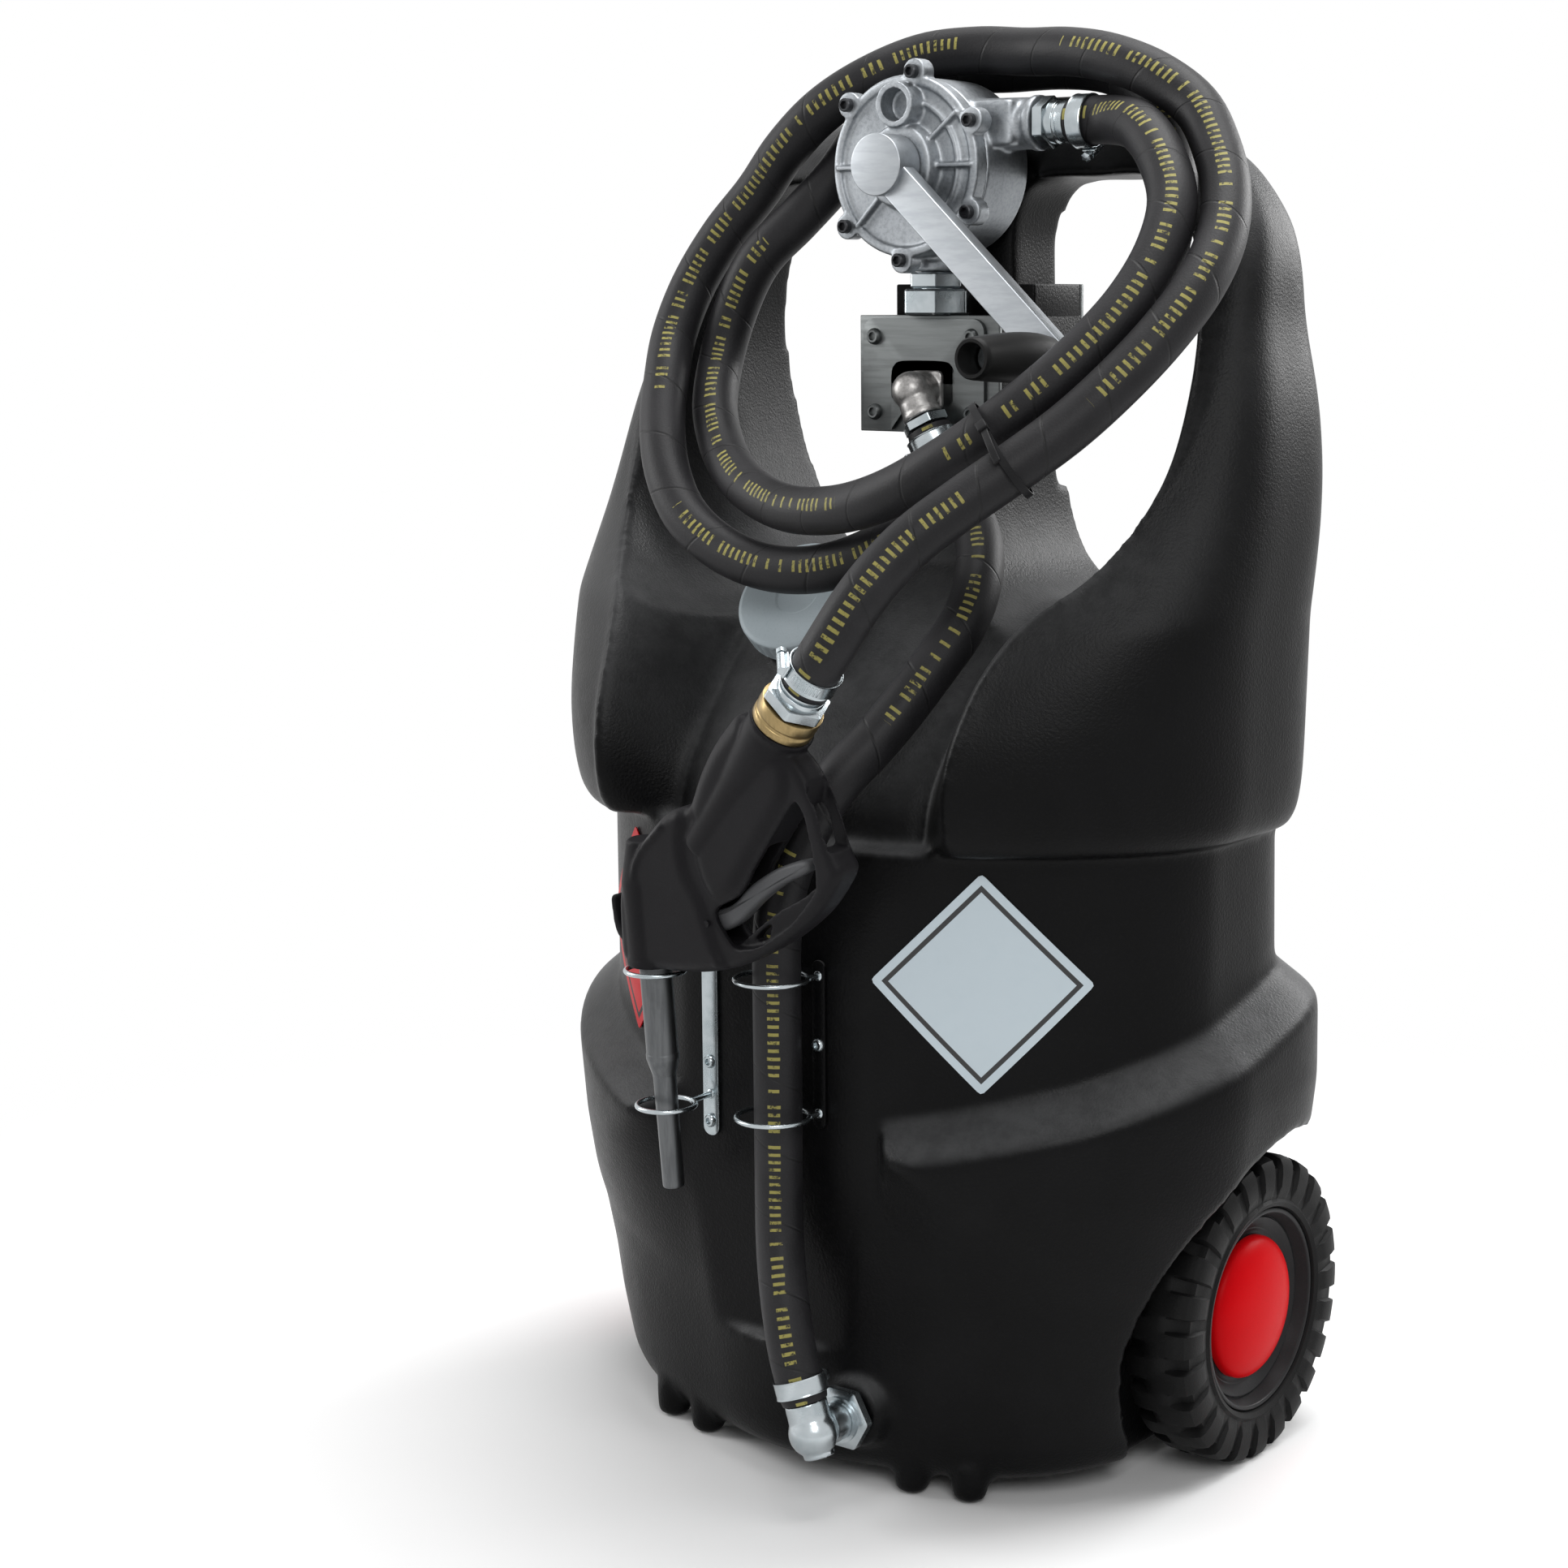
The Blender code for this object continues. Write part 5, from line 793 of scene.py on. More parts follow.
# Cable tie round two stretches of the delivery hose
tie = {"spot": (0.1635, -0.0975, 0.6895), "room": 0.0030, "thick": 0.0014, "wide": 0.0045, "head": 0.006,
       "tail": 0.030}
quarter = len(deliveryPoints) // 4
late = len(deliveryPoints) - quarter
spotGap = np.linalg.norm(deliveryPoints - np.array(tie["spot"]), axis=1)
tieNear = [1 + int(np.argmin(spotGap[1:quarter])), late + int(np.argmin(spotGap[late:-2]))]
tieEnds = [Vector(deliveryPoints[k]) for k in tieNear]
tieRuns = [Vector(deliveryPoints[k + 1] - deliveryPoints[k - 1]).normalized() for k in tieNear]
tieAlong = (tieRuns[0] + tieRuns[1]).normalized()
tieAcross = tieEnds[1] - tieEnds[0]
tieAcross = tieAcross - tieAlong * tieAcross.dot(tieAlong)
halfSpan = tieAcross.length / 2
tieAcross.normalize()
tieTurn = Matrix((tieAcross, tieAlong.cross(tieAcross), tieAlong)).transposed().to_4x4()
tiePlace = Matrix.Translation((tieEnds[0] + tieEnds[1]) / 2) @ tieTurn


def stadium(half, radius, steps=20):
    # two half circles joined by straight sides
    a = np.linspace(-math.pi / 2, math.pi / 2, steps + 1)
    right = np.column_stack([half + radius * np.cos(a), radius * np.sin(a)])
    return np.vstack([right, -right])


tieInner = hose["radius"] + tie["room"]
inner = stadium(halfSpan, tieInner)
outer = stadium(halfSpan, tieInner + tie["thick"])
wide, half = tie["wide"], tie["wide"] / 2
hoop = layers([(inner, -half), (outer, -half), (outer, half), (inner, half)])
tailLine = smoothLine([(wide * 0.6, tieInner + 0.0035, 0), (0.010, tieInner + 0.0040, 0.0005),
                       (0.020, tieInner + 0.0030, 0.0015), (tie["tail"], tieInner - 0.0005, 0.0028)], 24)
tailRing = roundBox(half, tie["thick"] / 2, tie["thick"] * 0.45, steps=3)
tailRing = np.stack([0 * tailRing[:, 0], tailRing[:, 1], tailRing[:, 0]], axis=-1)
tieShells = [placed(skin(hoop, wrapRows=True), tiePlace),
             block((-wide * 0.9, tieInner + tie["thick"] * 0.5, -wide * 0.7),
                   (wide * 0.9, tieInner + tie["head"], wide * 0.7), 0.0006, 0.001, tiePlace),
             placed(skin(tailLine[:, None] + tailRing[None]), tiePlace)]
cableTie = piece("cableTie", tieShells, "tieBlack", "cable_tie")

# Tank: half outlines at many levels, worked out together
tank = {"height": 0.900, "halfWidth": 0.264, "front": 0.195, "back": 0.134, "skirt": 0.428,
        "stepProud": 0.029, "stepRise": 0.024, "stepStart": 0.104, "stepBlend": 0.020, "stepFade": 0.27,
        "stepLow": 0.16, "valleyEdge": 0.050, "ridge": 0.0045, "backPower": 4.5, "archHalf": 0.200,
        "sill": 0.570, "lintel": 0.845, "postHalf": 0.040, "postFront": 0.062, "postBack": 0.118,
        "grain": 0.0025, "soften": 28, "mostTriangles": 186000}
waistTable = np.array([   # height, width, front, back, roundness, valley depth, valley half width
    (0.0128, 0.560, 0.680, 0.700, 1.9, 0.00, 0.36), (0.0207, 0.660, 0.745, 0.840, 1.8, 0.00, 0.36),
    (0.0393, 0.710, 0.770, 0.930, 1.8, 0.00, 0.36), (0.0836, 0.752, 0.785, 1.000, 1.8, 0.00, 0.36),
    (0.1180, 0.790, 0.800, 1.030, 1.7, 0.00, 0.36), (0.1672, 0.838, 0.810, 1.045, 1.7, 0.00, 0.36),
    (0.2262, 0.886, 0.820, 1.045, 1.7, 0.00, 0.36), (0.2852, 0.912, 0.820, 1.045, 1.7, 0.00, 0.36),
    (0.3737, 0.912, 0.820, 1.030, 1.7, 0.00, 0.36), (0.4759, 0.912, 0.820, 1.000, 1.7, 0.00, 0.36)])
hoodTable = np.array([
    (0.4759, 0.955, 0.930, 0.960, 1.8, 0.20, 0.36), (0.4877, 0.985, 0.985, 0.985, 1.8, 0.24, 0.36),
    (0.5113, 0.993, 0.995, 0.990, 1.8, 0.30, 0.36), (0.5408, 0.997, 0.975, 0.990, 1.9, 0.38, 0.36),
    (0.6097, 1.004, 0.780, 0.990, 2.1, 0.54, 0.40), (0.6441, 1.008, 0.620, 0.990, 2.3, 0.56, 0.47),
    (0.6785, 1.010, 0.440, 0.990, 2.6, 0.42, 0.56), (0.7129, 1.006, 0.290, 0.990, 3.0, 0.26, 0.63),
    (0.7522, 0.995, 0.180, 0.985, 3.4, 0.14, 0.68), (0.7965, 0.968, 0.080, 0.975, 3.8, 0.04, 0.70),
    (0.8407, 0.922, -0.020, 0.960, 4.0, 0.00, 0.70), (0.8850, 0.915, -0.110, 0.945, 4.0, 0.00, 0.70),
    (0.9278, 0.840, -0.230, 0.930, 3.8, 0.00, 0.70), (0.9690, 0.690, -0.330, 0.885, 3.4, 0.00, 0.70),
    (0.9900, 0.510, -0.395, 0.835, 3.0, 0.00, 0.70), (1.0000, 0.330, -0.450, 0.770, 2.6, 0.00, 0.70)])
stepPlace = [0.0, 0.10, 0.20, 0.32, 0.45, 0.60, 0.80, 1.0]
stepHeight = [0.2704, 0.2783, 0.2920, 0.3110, 0.3410, 0.3700, 0.3835, 0.3855]


def eased(t):
    return t * t * (3 - 2 * t)


def halfOutline(table, levels, soften, count=400):
    # x = w |sin a|^(2/n), y = middle + reach sign(v) |v|^(2/n) with v = -cos a, one row for each level;
    # the front is pushed back by the valley, and the tables are averaged over neighbouring levels
    shares = levels / tank["height"]
    cols = [np.interp(shares, table[:, 0], table[:, k]) for k in range(1, 7)]
    if soften:
        kernel = np.ones(soften) / soften
        cols = [np.convolve(np.pad(c, soften // 2, mode="reflect", reflect_type="odd"), kernel, "valid")
                for c in cols]
    w, f, b, power, valley, wide = (c[:, None] for c in cols)
    front = -f * tank["front"]
    back = b * tank["back"]
    middle = np.maximum(0.0, (front + back) / 2)
    a = np.linspace(0, math.pi, count + 1)[None]
    u, v = np.sin(a), -np.cos(a)
    n = np.where(v < 0, power, tank["backPower"])
    x = w * tank["halfWidth"] * np.abs(u) ** (2 / n)
    x[:, 0] = x[:, -1] = 0.0
    y = middle + np.sign(v) * np.where(v < 0, middle - front, back - middle) * np.abs(v) ** (2 / n)
    edge = np.clip((x - wide * tank["halfWidth"]) / tank["valleyEdge"], 0, 1)
    y = np.where(v < 0, y + valley * tank["front"] * (1 - eased(edge)), y)
    # a crease along the valley's foot and a raised lip along its brow
    lip = np.exp(-((edge - 0.97) / 0.16) ** 2) - 0.9 * np.exp(-((edge - 0.10) / 0.14) ** 2)
    slope = (v < 0) & (edge > 0) & (edge < 1)
    return x, np.where(slope, y - tank["ridge"] * lip * np.clip(valley / 0.3, 0, 1), y)


def stepPush(x, y, levels):
    # the lower body stands proud below a line that rises to the back
    run = np.cumsum(np.hypot(np.diff(x, axis=1, prepend=x[:, :1]), np.diff(y, axis=1, prepend=y[:, :1])),
                    axis=1)
    share = run / run[:, -1:]
    depth = np.interp(share, stepPlace, stepHeight) * tank["height"] - levels[:, None]
    drop = np.clip(depth / tank["stepRise"], 0, 1)
    below = np.clip(depth / (tank["stepLow"] * tank["height"]), 0, 1)
    begin = np.clip((share - tank["stepStart"]) / (tank["stepBlend"] + tank["stepFade"] * below), 0, 1)
    push = tank["stepProud"] * drop * eased(begin)
    dx, dy = np.gradient(x, axis=1), np.gradient(y, axis=1)
    size = np.hypot(dx, dy) + 1e-12
    pushed = x + dy / size * push
    pushed[:, 0] = pushed[:, -1] = 0.0
    return pushed, y - dx / size * push


def wholeRings(x, y, levels):
    # the half outlines and their mirror images, from the front round to the front
    right = np.stack([x, y + shiftY, np.broadcast_to(levels[:, None], x.shape)], axis=-1)
    left = right[:, -2:0:-1] * np.array([-1, 1, 1])
    return np.concatenate([right, left], axis=1)


waistLevels = np.concatenate([[0.01152, 0.0140], np.linspace(0.0175, 0.4283, 120)])
hoodLevels = np.concatenate([np.linspace(0.4283, 0.4400, 7)[:-1], np.linspace(0.4400, 0.9000, 130)])
waist = stepPush(*halfOutline(waistTable, waistLevels, 3), waistLevels)
hood = halfOutline(hoodTable, hoodLevels, 15)
tankShell = skin(np.concatenate([wholeRings(*waist, waistLevels), wholeRings(*hood, hoodLevels)]))

opening = {"flare": 0.034, "flareFront": -0.050, "flareBack": 0.055, "steps": 26, "back": 0.150}
openingShares = [(0.00, 0.30), (0.05, 0.16), (0.15, 0.06), (0.32, 0.0), (0.55, 0.03), (0.76, 0.14),
                 (0.91, 0.32), (0.99, 0.53), (1.0, 0.70), (0.95, 0.84), (0.83, 0.95), (0.66, 1.0),
                 (0.43, 1.0), (0.20, 1.0), (0.06, 0.97), (0.0, 0.88), (0.0, 0.74), (0.0, 0.59),
                 (0.0, 0.44)]
rise = tank["lintel"] - tank["sill"]
past = 0.01                  # how far a cut runs past the surface
cutFront = -tank["front"] - past
cutBack = tank["back"] + past


def archOpening(side):
    # the outline is carried from front to back while its lower flare eases away
    outline = smoothLine(openingShares, 320, closed=True)
    span = tank["archHalf"] - tank["postHalf"]
    front, back = opening["flareFront"], opening["flareBack"]
    depth = np.concatenate([[cutFront], np.linspace(front, back, opening["steps"]), [opening["back"]]])
    flare = opening["flare"] * (1 - eased(np.clip((depth - front) / (back - front), 0, 1)))[:, None]
    u, v = outline[None, :, 0], outline[None, :, 1]
    xs = side * (tank["postHalf"] + u * (span + flare))
    zs = tank["sill"] + v * rise - flare * np.maximum(0, 0.5 - v)
    ys = np.broadcast_to(depth[:, None] + shiftY, xs.shape)
    return skin(np.stack([xs, ys, zs], axis=-1))


def boxCut(lo, hi, corner=0.001):
    return block(lo, hi, 0, corner, inTank)


postShares = [(0.00, 0.050), (0.320, 0.048), (0.640, 0.050), (0.740, 0.110), (0.850, 0.200),
              (0.950, 0.300), (1.000, 0.380), (1.000, 1.0), (0.0, 1.0)]
postProfile = [(-tank["front"] + u * (tank["postFront"] + tank["front"]), tank["sill"] + v * rise)
               for u, v in postShares]
footHalf = tank["postHalf"] + (tank["archHalf"] - tank["postHalf"]) * 0.30
postGap = tank["postHalf"] + gap
recessHalf = pump["coverRadius"] + 0.006
recessBack = bodyBack + gap * 3
channel = {"front": 0.146, "half": 0.086, "low": 0.095}
wing = channel["half"] + (tank["front"] - channel["front"]) * 0.6
channelOutline = [(-channel["half"], -channel["front"]), (-wing, cutFront), (wing, cutFront),
                  (channel["half"], -channel["front"])]
tankCuts = [archOpening(1), archOpening(-1),
            slab(postProfile, -footHalf, footHalf, inTank @ turnAcross),
            boxCut((-postGap, tank["postBack"], tank["sill"] + rise / 4),
                   (postGap, cutBack, tank["lintel"])),
            boxCut((-recessHalf, -tank["front"], tank["lintel"] - 0.020),
                   (recessHalf, recessBack, tank["height"] + past), 0.003),
            boxCut((-tank["postHalf"] - 0.003, -tank["front"], tank["lintel"] - rise / 4),
                   (tank["postHalf"] + 0.003, recessBack, tank["lintel"])),
            slab(channelOutline, channel["low"], tank["skirt"] + 0.030, inTank)]
wheel = {"radius": 0.103, "width": 0.050, "outer": 0.246, "axleY": 0.065, "axle": 0.008, "rim": 0.068,
         "cap": 0.048, "gap": 0.022, "lugs": 24, "lugDepth": 0.0065, "web": 0.005, "capEdge": 0.0016}
wellInner = wheel["outer"] - wheel["width"] - wheel["gap"] / 2
wellRadius = wheel["radius"] + wheel["gap"]
for side in (-1, 1):
    low, high = sorted((side * wellInner, side * (tank["halfWidth"] + past)))
    tankCuts.append(turned([(wellRadius, low), (wellRadius, high)],
                           at(0, wheel["axleY"], wheel["radius"]) @ toRight, 96))
    tankCuts.append(boxCut((low, wheel["axleY"], -past),
                           (high, cutBack, wheel["radius"] + wellRadius / 2), 0.002))
slotHalf = wheel["axle"] + gap
tankCuts.append(boxCut((-tank["halfWidth"], wheel["axleY"] - slotHalf, wheel["radius"] - slotHalf),
                       (tank["halfWidth"], cutBack, wheel["radius"] + slotHalf)))
keeper = {"x": 0.100, "half": 0.016, "high": 0.022, "seat": tank["back"] * 0.92}
for side in (-1, 1):
    middle, half, high = side * keeper["x"], keeper["half"] + gap, keeper["high"] + gap
    tankCuts.append(boxCut((middle - half, keeper["seat"], wheel["radius"] - high),
                           (middle + half, cutBack, wheel["radius"] + high)))
cap = {"radius": 0.043, "thick": 0.016, "place": (-0.042, -0.062, 0.568), "lean": 49.0, "sideways": 0.10,
       "neck": 0.0585}
lean = math.radians(cap["lean"])
capAxis = Vector((cap["sideways"], -math.sin(lean), math.cos(lean))).normalized()
neckRadius = cap["radius"] * 0.82
neckBase = Vector(cap["place"]) - capAxis * 0.060
outlet = (0.061, -0.152, 0.057)
bossRadius = fitting["radius"] * 1.8
tankAdds = [turned([(neckRadius, 0), (neckRadius, cap["neck"])], aimed(neckBase, capAxis), 72),
            turned([(bossRadius * 1.25, -0.031), (bossRadius * 1.1, -0.014), (bossRadius, -0.0015)],
                   at(*outlet) @ toFront, 64)]
for u, v in ((0.478, -0.550), (0.330, -0.600)):
    for side in (-1, 1):
        tankAdds.append(turned([(0.0095, 0.0004), (0.0118, 0.0030), (0.0125, 0.026)],
                               at(side * u * tank["halfWidth"], v * tank["front"], 0), 40))


def castFrom(name, shells, cuts, adds, look, grain, soften, node, whole=False):
    # the shells melt into one skin, the cuts are taken out, the additions melt in, and edges soften;
    # a whole shell is one skin already
    obj = linked(name, tidied(meshOf(name, shells)))
    if not whole:
        melt(obj, grain)
    helpers = []
    for shell in cuts:
        helpers.append(linked(name + "_cut", tidied(meshOf(name + "_cut", [shell]))))
        mod = obj.modifiers.new("cut", "BOOLEAN")
        mod.operation = "DIFFERENCE"
        mod.solver = "MANIFOLD"
        mod.object = helpers[-1]
    settle(obj)
    for helper in helpers:
        bpy.data.objects.remove(helper)
    if adds:
        bm = bmesh.new()
        bm.from_mesh(obj.data)
        extra = tidied(meshOf(name + "_add", adds))
        bm.from_mesh(extra)
        bm.to_mesh(obj.data)
        bm.free()
        bpy.data.meshes.remove(extra)
    melt(obj, grain)
    soft = obj.modifiers.new("soften", "SMOOTH")
    soft.factor = 0.5
    soft.iterations = soften
    settle(obj)
    triangles = len(obj.data.polygons) * 2
    if triangles > tank["mostTriangles"]:
        thin = obj.modifiers.new("thin", "DECIMATE")
        thin.ratio = tank["mostTriangles"] / triangles
        settle(obj)
    print(name, "faces:", len(obj.data.polygons))
    return dress(obj, look, node, sharp=None)


castFrom("tankShell", [tankShell], tankCuts, tankAdds, "tankBlack", tank["grain"], tank["soften"],
         "tank_body", whole=True)


# Wheels
def tyreShell(place):
    # a section carried round the axle, notched between lugs:
    # r = section - depth * shoulder * notch(angle)
    half = wheel["width"] / 2
    r = wheel["radius"]
    inner = wheel["rim"] + gap
    section = np.array([
        (inner, -half * 0.78), (inner + 0.001, -half * 0.90), (inner + 0.004, -half * 0.96),
        (inner + 0.006, -half * 0.90), (inner + 0.012, -half * 0.97), (r - 0.020, -half),
        (r - 0.012, -half * 0.99), (r - 0.006, -half * 0.95), (r - 0.0022, -half * 0.86),
        (r - 0.0008, -half * 0.72), (r, -half * 0.55), (r, -half * 0.30), (r, -half * 0.10)])
    section = np.vstack([section, section[::-1] * np.array([1, -1])])
    a = ringAngles(wheel["lugs"] * 16)
    h = np.broadcast_to(section[:, 1][:, None], (len(section), len(a)))
    rad = np.broadcast_to(section[:, 0][:, None], h.shape)
    turns = a[None] * wheel["lugs"] / (2 * math.pi) + np.where(h < 0, 0.5, 0.0)
    turns = turns + 0.10 * np.sin(h / half * 2.0)
    wave = np.abs((turns % 1.0) - 0.5) * 2
    notch = eased(np.clip((0.44 - wave) / 0.10, 0, 1))
    shoulder = np.clip((np.abs(h) - half * 0.28) / (half * 0.10), 0, 1)
    shoulder = shoulder * np.clip((rad - (r - 0.026)) / 0.004, 0, 1)
    rad = rad - wheel["lugDepth"] * notch * shoulder
    h = h - np.sign(h) * 0.0022 * notch * shoulder * (np.abs(h) > half * 0.9)
    grid = np.stack([rad * np.cos(a)[None], rad * np.sin(a)[None], h], axis=-1)
    return placed(skin(grid, wrapRows=True), place)


webOut = wheel["width"] * 0.16
webIn = webOut - wheel["web"]
for side, word in ((-1, "left"), (1, "right")):
    hub = (at(side * (wheel["outer"] - wheel["width"] / 2), wheel["axleY"], wheel["radius"])
           @ spun(90 * side, "Y"))
    body = "wheel_" + word
    piece("tyreTread_" + word, [tyreShell(hub)], "tyreBlack", "tyre_" + word, body, 32)
    half = wheel["width"] * 0.42
    rim = wheel["rim"]
    barrel = rim * 0.90
    bore = wheel["axle"] + gap
    profile = [(bore, -half), (0.020, -half), (0.0195, webIn), (barrel, webIn), (barrel, -half),
               (rim, -half), (rim, half), (rim * 0.955, half), (rim * 0.945, half - 0.002),
               (barrel, half * 0.5), (barrel * 0.985, webOut + wheel["web"]), (barrel * 0.86, webOut),
               (wheel["cap"] + 0.004, webOut), (wheel["cap"] + 0.002, webOut - 0.001),
               (bore, webOut - 0.001), (bore, -half)]
    piece("rimDisc_" + word, [turned(rounded(profile, 0.0014, 3), hub, 96)], "rimBlack", "rim_" + word,
          body)
    base = webOut + gap
    edge = base + wheel["capEdge"]
    high = wheel["width"] / 2 - edge
    r = wheel["cap"]
    t = np.linspace(0, 1, 22)[1:-1] * math.pi / 2      # a dome: (r sin t, edge + high cos^0.8 t)
    dome = np.column_stack([r * np.sin(t), edge + high * np.cos(t) ** 0.8])
    profile = np.vstack([dome, [(r * 0.998, edge), (r, base + 0.0008), (r, base), (r * 0.92, base)]])
    piece("hubDome_" + word, [turned(profile, hub, 96)], "capRed", "hub_cap_" + word,
          body, 60)
print("tank and wheels built")


# Filler cap with a fluted edge
flutes = {"count": 36, "depth": 0.016, "below": 0.0026, "above": 0.0006}
capPlace = aimed(Vector(cap["place"]) + capAxis * gap, capAxis)
capBase = 0.0015 + gap
capTop = capBase + cap["thick"] * 0.55
capSkirt = capBase - cap["thick"] * 0.45
skirtBore = neckRadius + gap * 3


def fluted(a, h):
    # shallow finger flutes on the rim only
    onRim = (h < capTop - flutes["below"]) & (h > capSkirt + flutes["above"])
    return 1 - flutes["depth"] * np.clip(np.cos(a * flutes["count"]), 0, 1) * onRim


r = cap["radius"]
profile = [(r * 0.30, capTop - 0.0008), (r * 0.34, capTop - 0.0008), (r * 0.36, capTop),
           (r * 0.93, capTop), (r * 0.985, capTop - 0.0010), (r, capTop - 0.0030),
           (r, capSkirt + 0.0010), (r * 0.99, capSkirt), (skirtBore, capSkirt), (skirtBore, capBase)]
piece("fillerCap", [turned(rounded(profile, 0.0007), capPlace, 216, fluted)], "capPale", "filler_cap",
      "cap")

# Bracket: the front plate's outer outline runs from the arch's right foot round to its left foot,
# then back over the arch
plate = {"width": 0.100, "height": 0.074, "thick": 0.003, "y": 0.018, "z": 0.717, "x": -0.0025,
         "screw": (0.0056, 0.0034), "nut": 0.0095}
frontPlace = at(plate["x"], plate["y"] + plate["thick"], plate["z"]) @ toFront
archHalf = plate["width"] * 0.26
archTop = plate["height"] * 0.12
half = plate["height"] / 2
archRight = [(archHalf, -half), (archHalf, -half * 0.4), (archHalf * 0.99, 0),
             (archHalf * 0.92, archTop * 0.6), (archHalf * 0.72, archTop * 0.95)]
arch = smoothLine(archRight + [(0, archTop * 1.02)] + [(-u, v) for u, v in archRight[::-1]], 60)
ring = roundBox(plate["width"] / 2, half, plate["width"] * 0.09, steps=8)
ring = ring[(ring[:, 1] > -half + 1e-6) | (np.abs(ring[:, 0]) >= archHalf)]
rightFoot = (ring[:, 1] < -half + 1e-6) & (ring[:, 0] > 0)
ring = np.roll(ring, -int(np.argmin(np.where(rightFoot, ring[:, 0], np.inf))), axis=0)
frontOutline = np.vstack([ring, arch[::-1]])


def socketScrew(place, radius, high):
    # a button head with a shallow round socket
    socket = radius * 0.5
    return turned([(socket * 0.92, high * 0.35), (socket, high * 0.97), (radius * 0.72, high),
                   (radius * 0.93, high * 0.60), (radius, high * 0.15), (radius, -0.0005)], place, 36)


def hexSocketScrew(place, radius, high):
    # a cylinder head with a deep hexagon socket
    inner = hexagon(radius * 1.15, 3)
    circle = circleLike(inner) * radius
    return placed(skin(layers([(inner * 0.9, high * 0.45), (inner, high), (circle * 0.86, high),
                               (circle, high * 0.88), (circle, -high * 0.10)])), place)


toFaceFront, toFaceBack = (0, -1, 0), (0, 1, 0)
plateShells = [slab(frontOutline, 0, plate["thick"], frontPlace, 0.0004, 2)]
for u, v in ((-0.40, 0.34), (0.40, 0.34), (-0.40, -0.34), (0.40, -0.34)):
    spot = (plate["x"] + u * plate["width"], plate["y"], plate["z"] + v * plate["height"])
    plateShells.append(socketScrew(aimed(spot, toFaceFront), *plate["screw"]))
piece("bracketFront", plateShells, "plateSteel", "bracket_front_plate")
backLow = plate["y"] + plate["thick"] + gap
backThick = plate["thick"] * 1.3
backHalf = plate["width"] * 0.575
backTop = plate["z"] + plate["height"] * 0.53
backBottom = plate["z"] - plate["height"] * 0.52
backPlate = block((-backHalf, backLow, backBottom), (backHalf, backLow + backThick, backTop),
                  0.0006, 0.0010, inTank)
piece("bracketBack", [backPlate], "plateSteel", "bracket_back_plate")
blockLow = backLow + backThick + gap
armTop = backTop + plate["height"] * 0.28
slotX = tank["postHalf"] + gap
slotY = tank["postFront"] - gap
postBack = tank["postBack"]
blockOutline = [(-backHalf, blockLow), (backHalf, blockLow), (backHalf, postBack), (slotX, postBack),
                (slotX, slotY), (-slotX, slotY), (-slotX, postBack), (-backHalf, postBack)]
blockShells = [slab(blockOutline, backBottom, backTop, inTank, 0.001, 3)]
for side in (-1, 1):
    lo, hi = sorted((side * slotX, side * backHalf))
    blockShells.append(block((lo, slotY, backTop - 0.002), (hi, postBack, armTop), 0.0012, 0.002,
                             inTank))
piece("bracketCore", blockShells, "tankBlack", "bracket_block")
rearLow = postBack + gap
rearFace = rearLow + backThick
rearShells = [block((-backHalf, rearLow, backBottom), (backHalf, rearFace, armTop), 0.0006, 0.001,
                    inTank)]
for side in (-1, 1):
    for share in (0.2, 0.8):
        spot = (side * (backHalf + slotX) / 2, rearFace, backBottom + share * (armTop - backBottom))
        rearShells += [hexNut(plate["nut"], -0.0005, 0.0045, aimed(spot, toFaceBack), 0.0007),
                       turned([(0.0062, -0.0004), (0.0062, 0.0008)], aimed(spot, toFaceBack), 28)]
piece("bracketRear", rearShells, "plateSteel", "bracket_rear_plate")


def pipeBend(start, middle, end, radius):
    # a straight run, a quadratic turn at the middle point and a straight run
    p, q, s = (np.array(v, float) for v in (start, middle, end))
    back = q + (p - q) / np.linalg.norm(p - q) * radius * 1.25
    ahead = q + (s - q) / np.linalg.norm(s - q) * radius * 1.25
    line = np.vstack([p + (back - p) * np.linspace(0, 0.9, 5)[:, None],
                      bridged(back[None], q[None], ahead[None], 16),
                      ahead + (s - ahead) * np.linspace(0.1, 1, 5)[:, None]])
    line[:, 1] += shiftY
    return line


r = fitting["radius"]
elbowSeat = backLow - gap
elbowStart = (elbowBend.x, elbowSeat - 0.002, elbowBend.z)
elbowEnd = elbowBend + elbowDown * elbowLong
elbowShells = [tube(pipeBend(elbowStart, elbowBend, elbowEnd, r), r * 0.985, 36),
               slab(roundBox(r * 1.05, r * 1.05, 0.004), 0, plate["thick"] * 2,
                    at(elbowBend.x, elbowSeat, elbowBend.z) @ toFront, 0.001),
               turned(rounded([(r * 1.06, -0.004), (r * 1.06, 0)], 0.0006),
                      aimed(elbowEnd, elbowDown), 48),
               ball(r * 1.05, aimed(elbowBend, elbowDown))]
castFrom("bracketElbow", elbowShells, [], [], "elbowGrey", 0.0008, 4, "bracket_elbow")
elbowNut = hexNut(0.028, nutLow, nutLow + fitting["nut"], aimed(elbowBend, elbowDown, 12), 0.0014)
piece("elbowNut", [elbowNut], "zincPlate", "elbow_nut")
print("cap and bracket built")


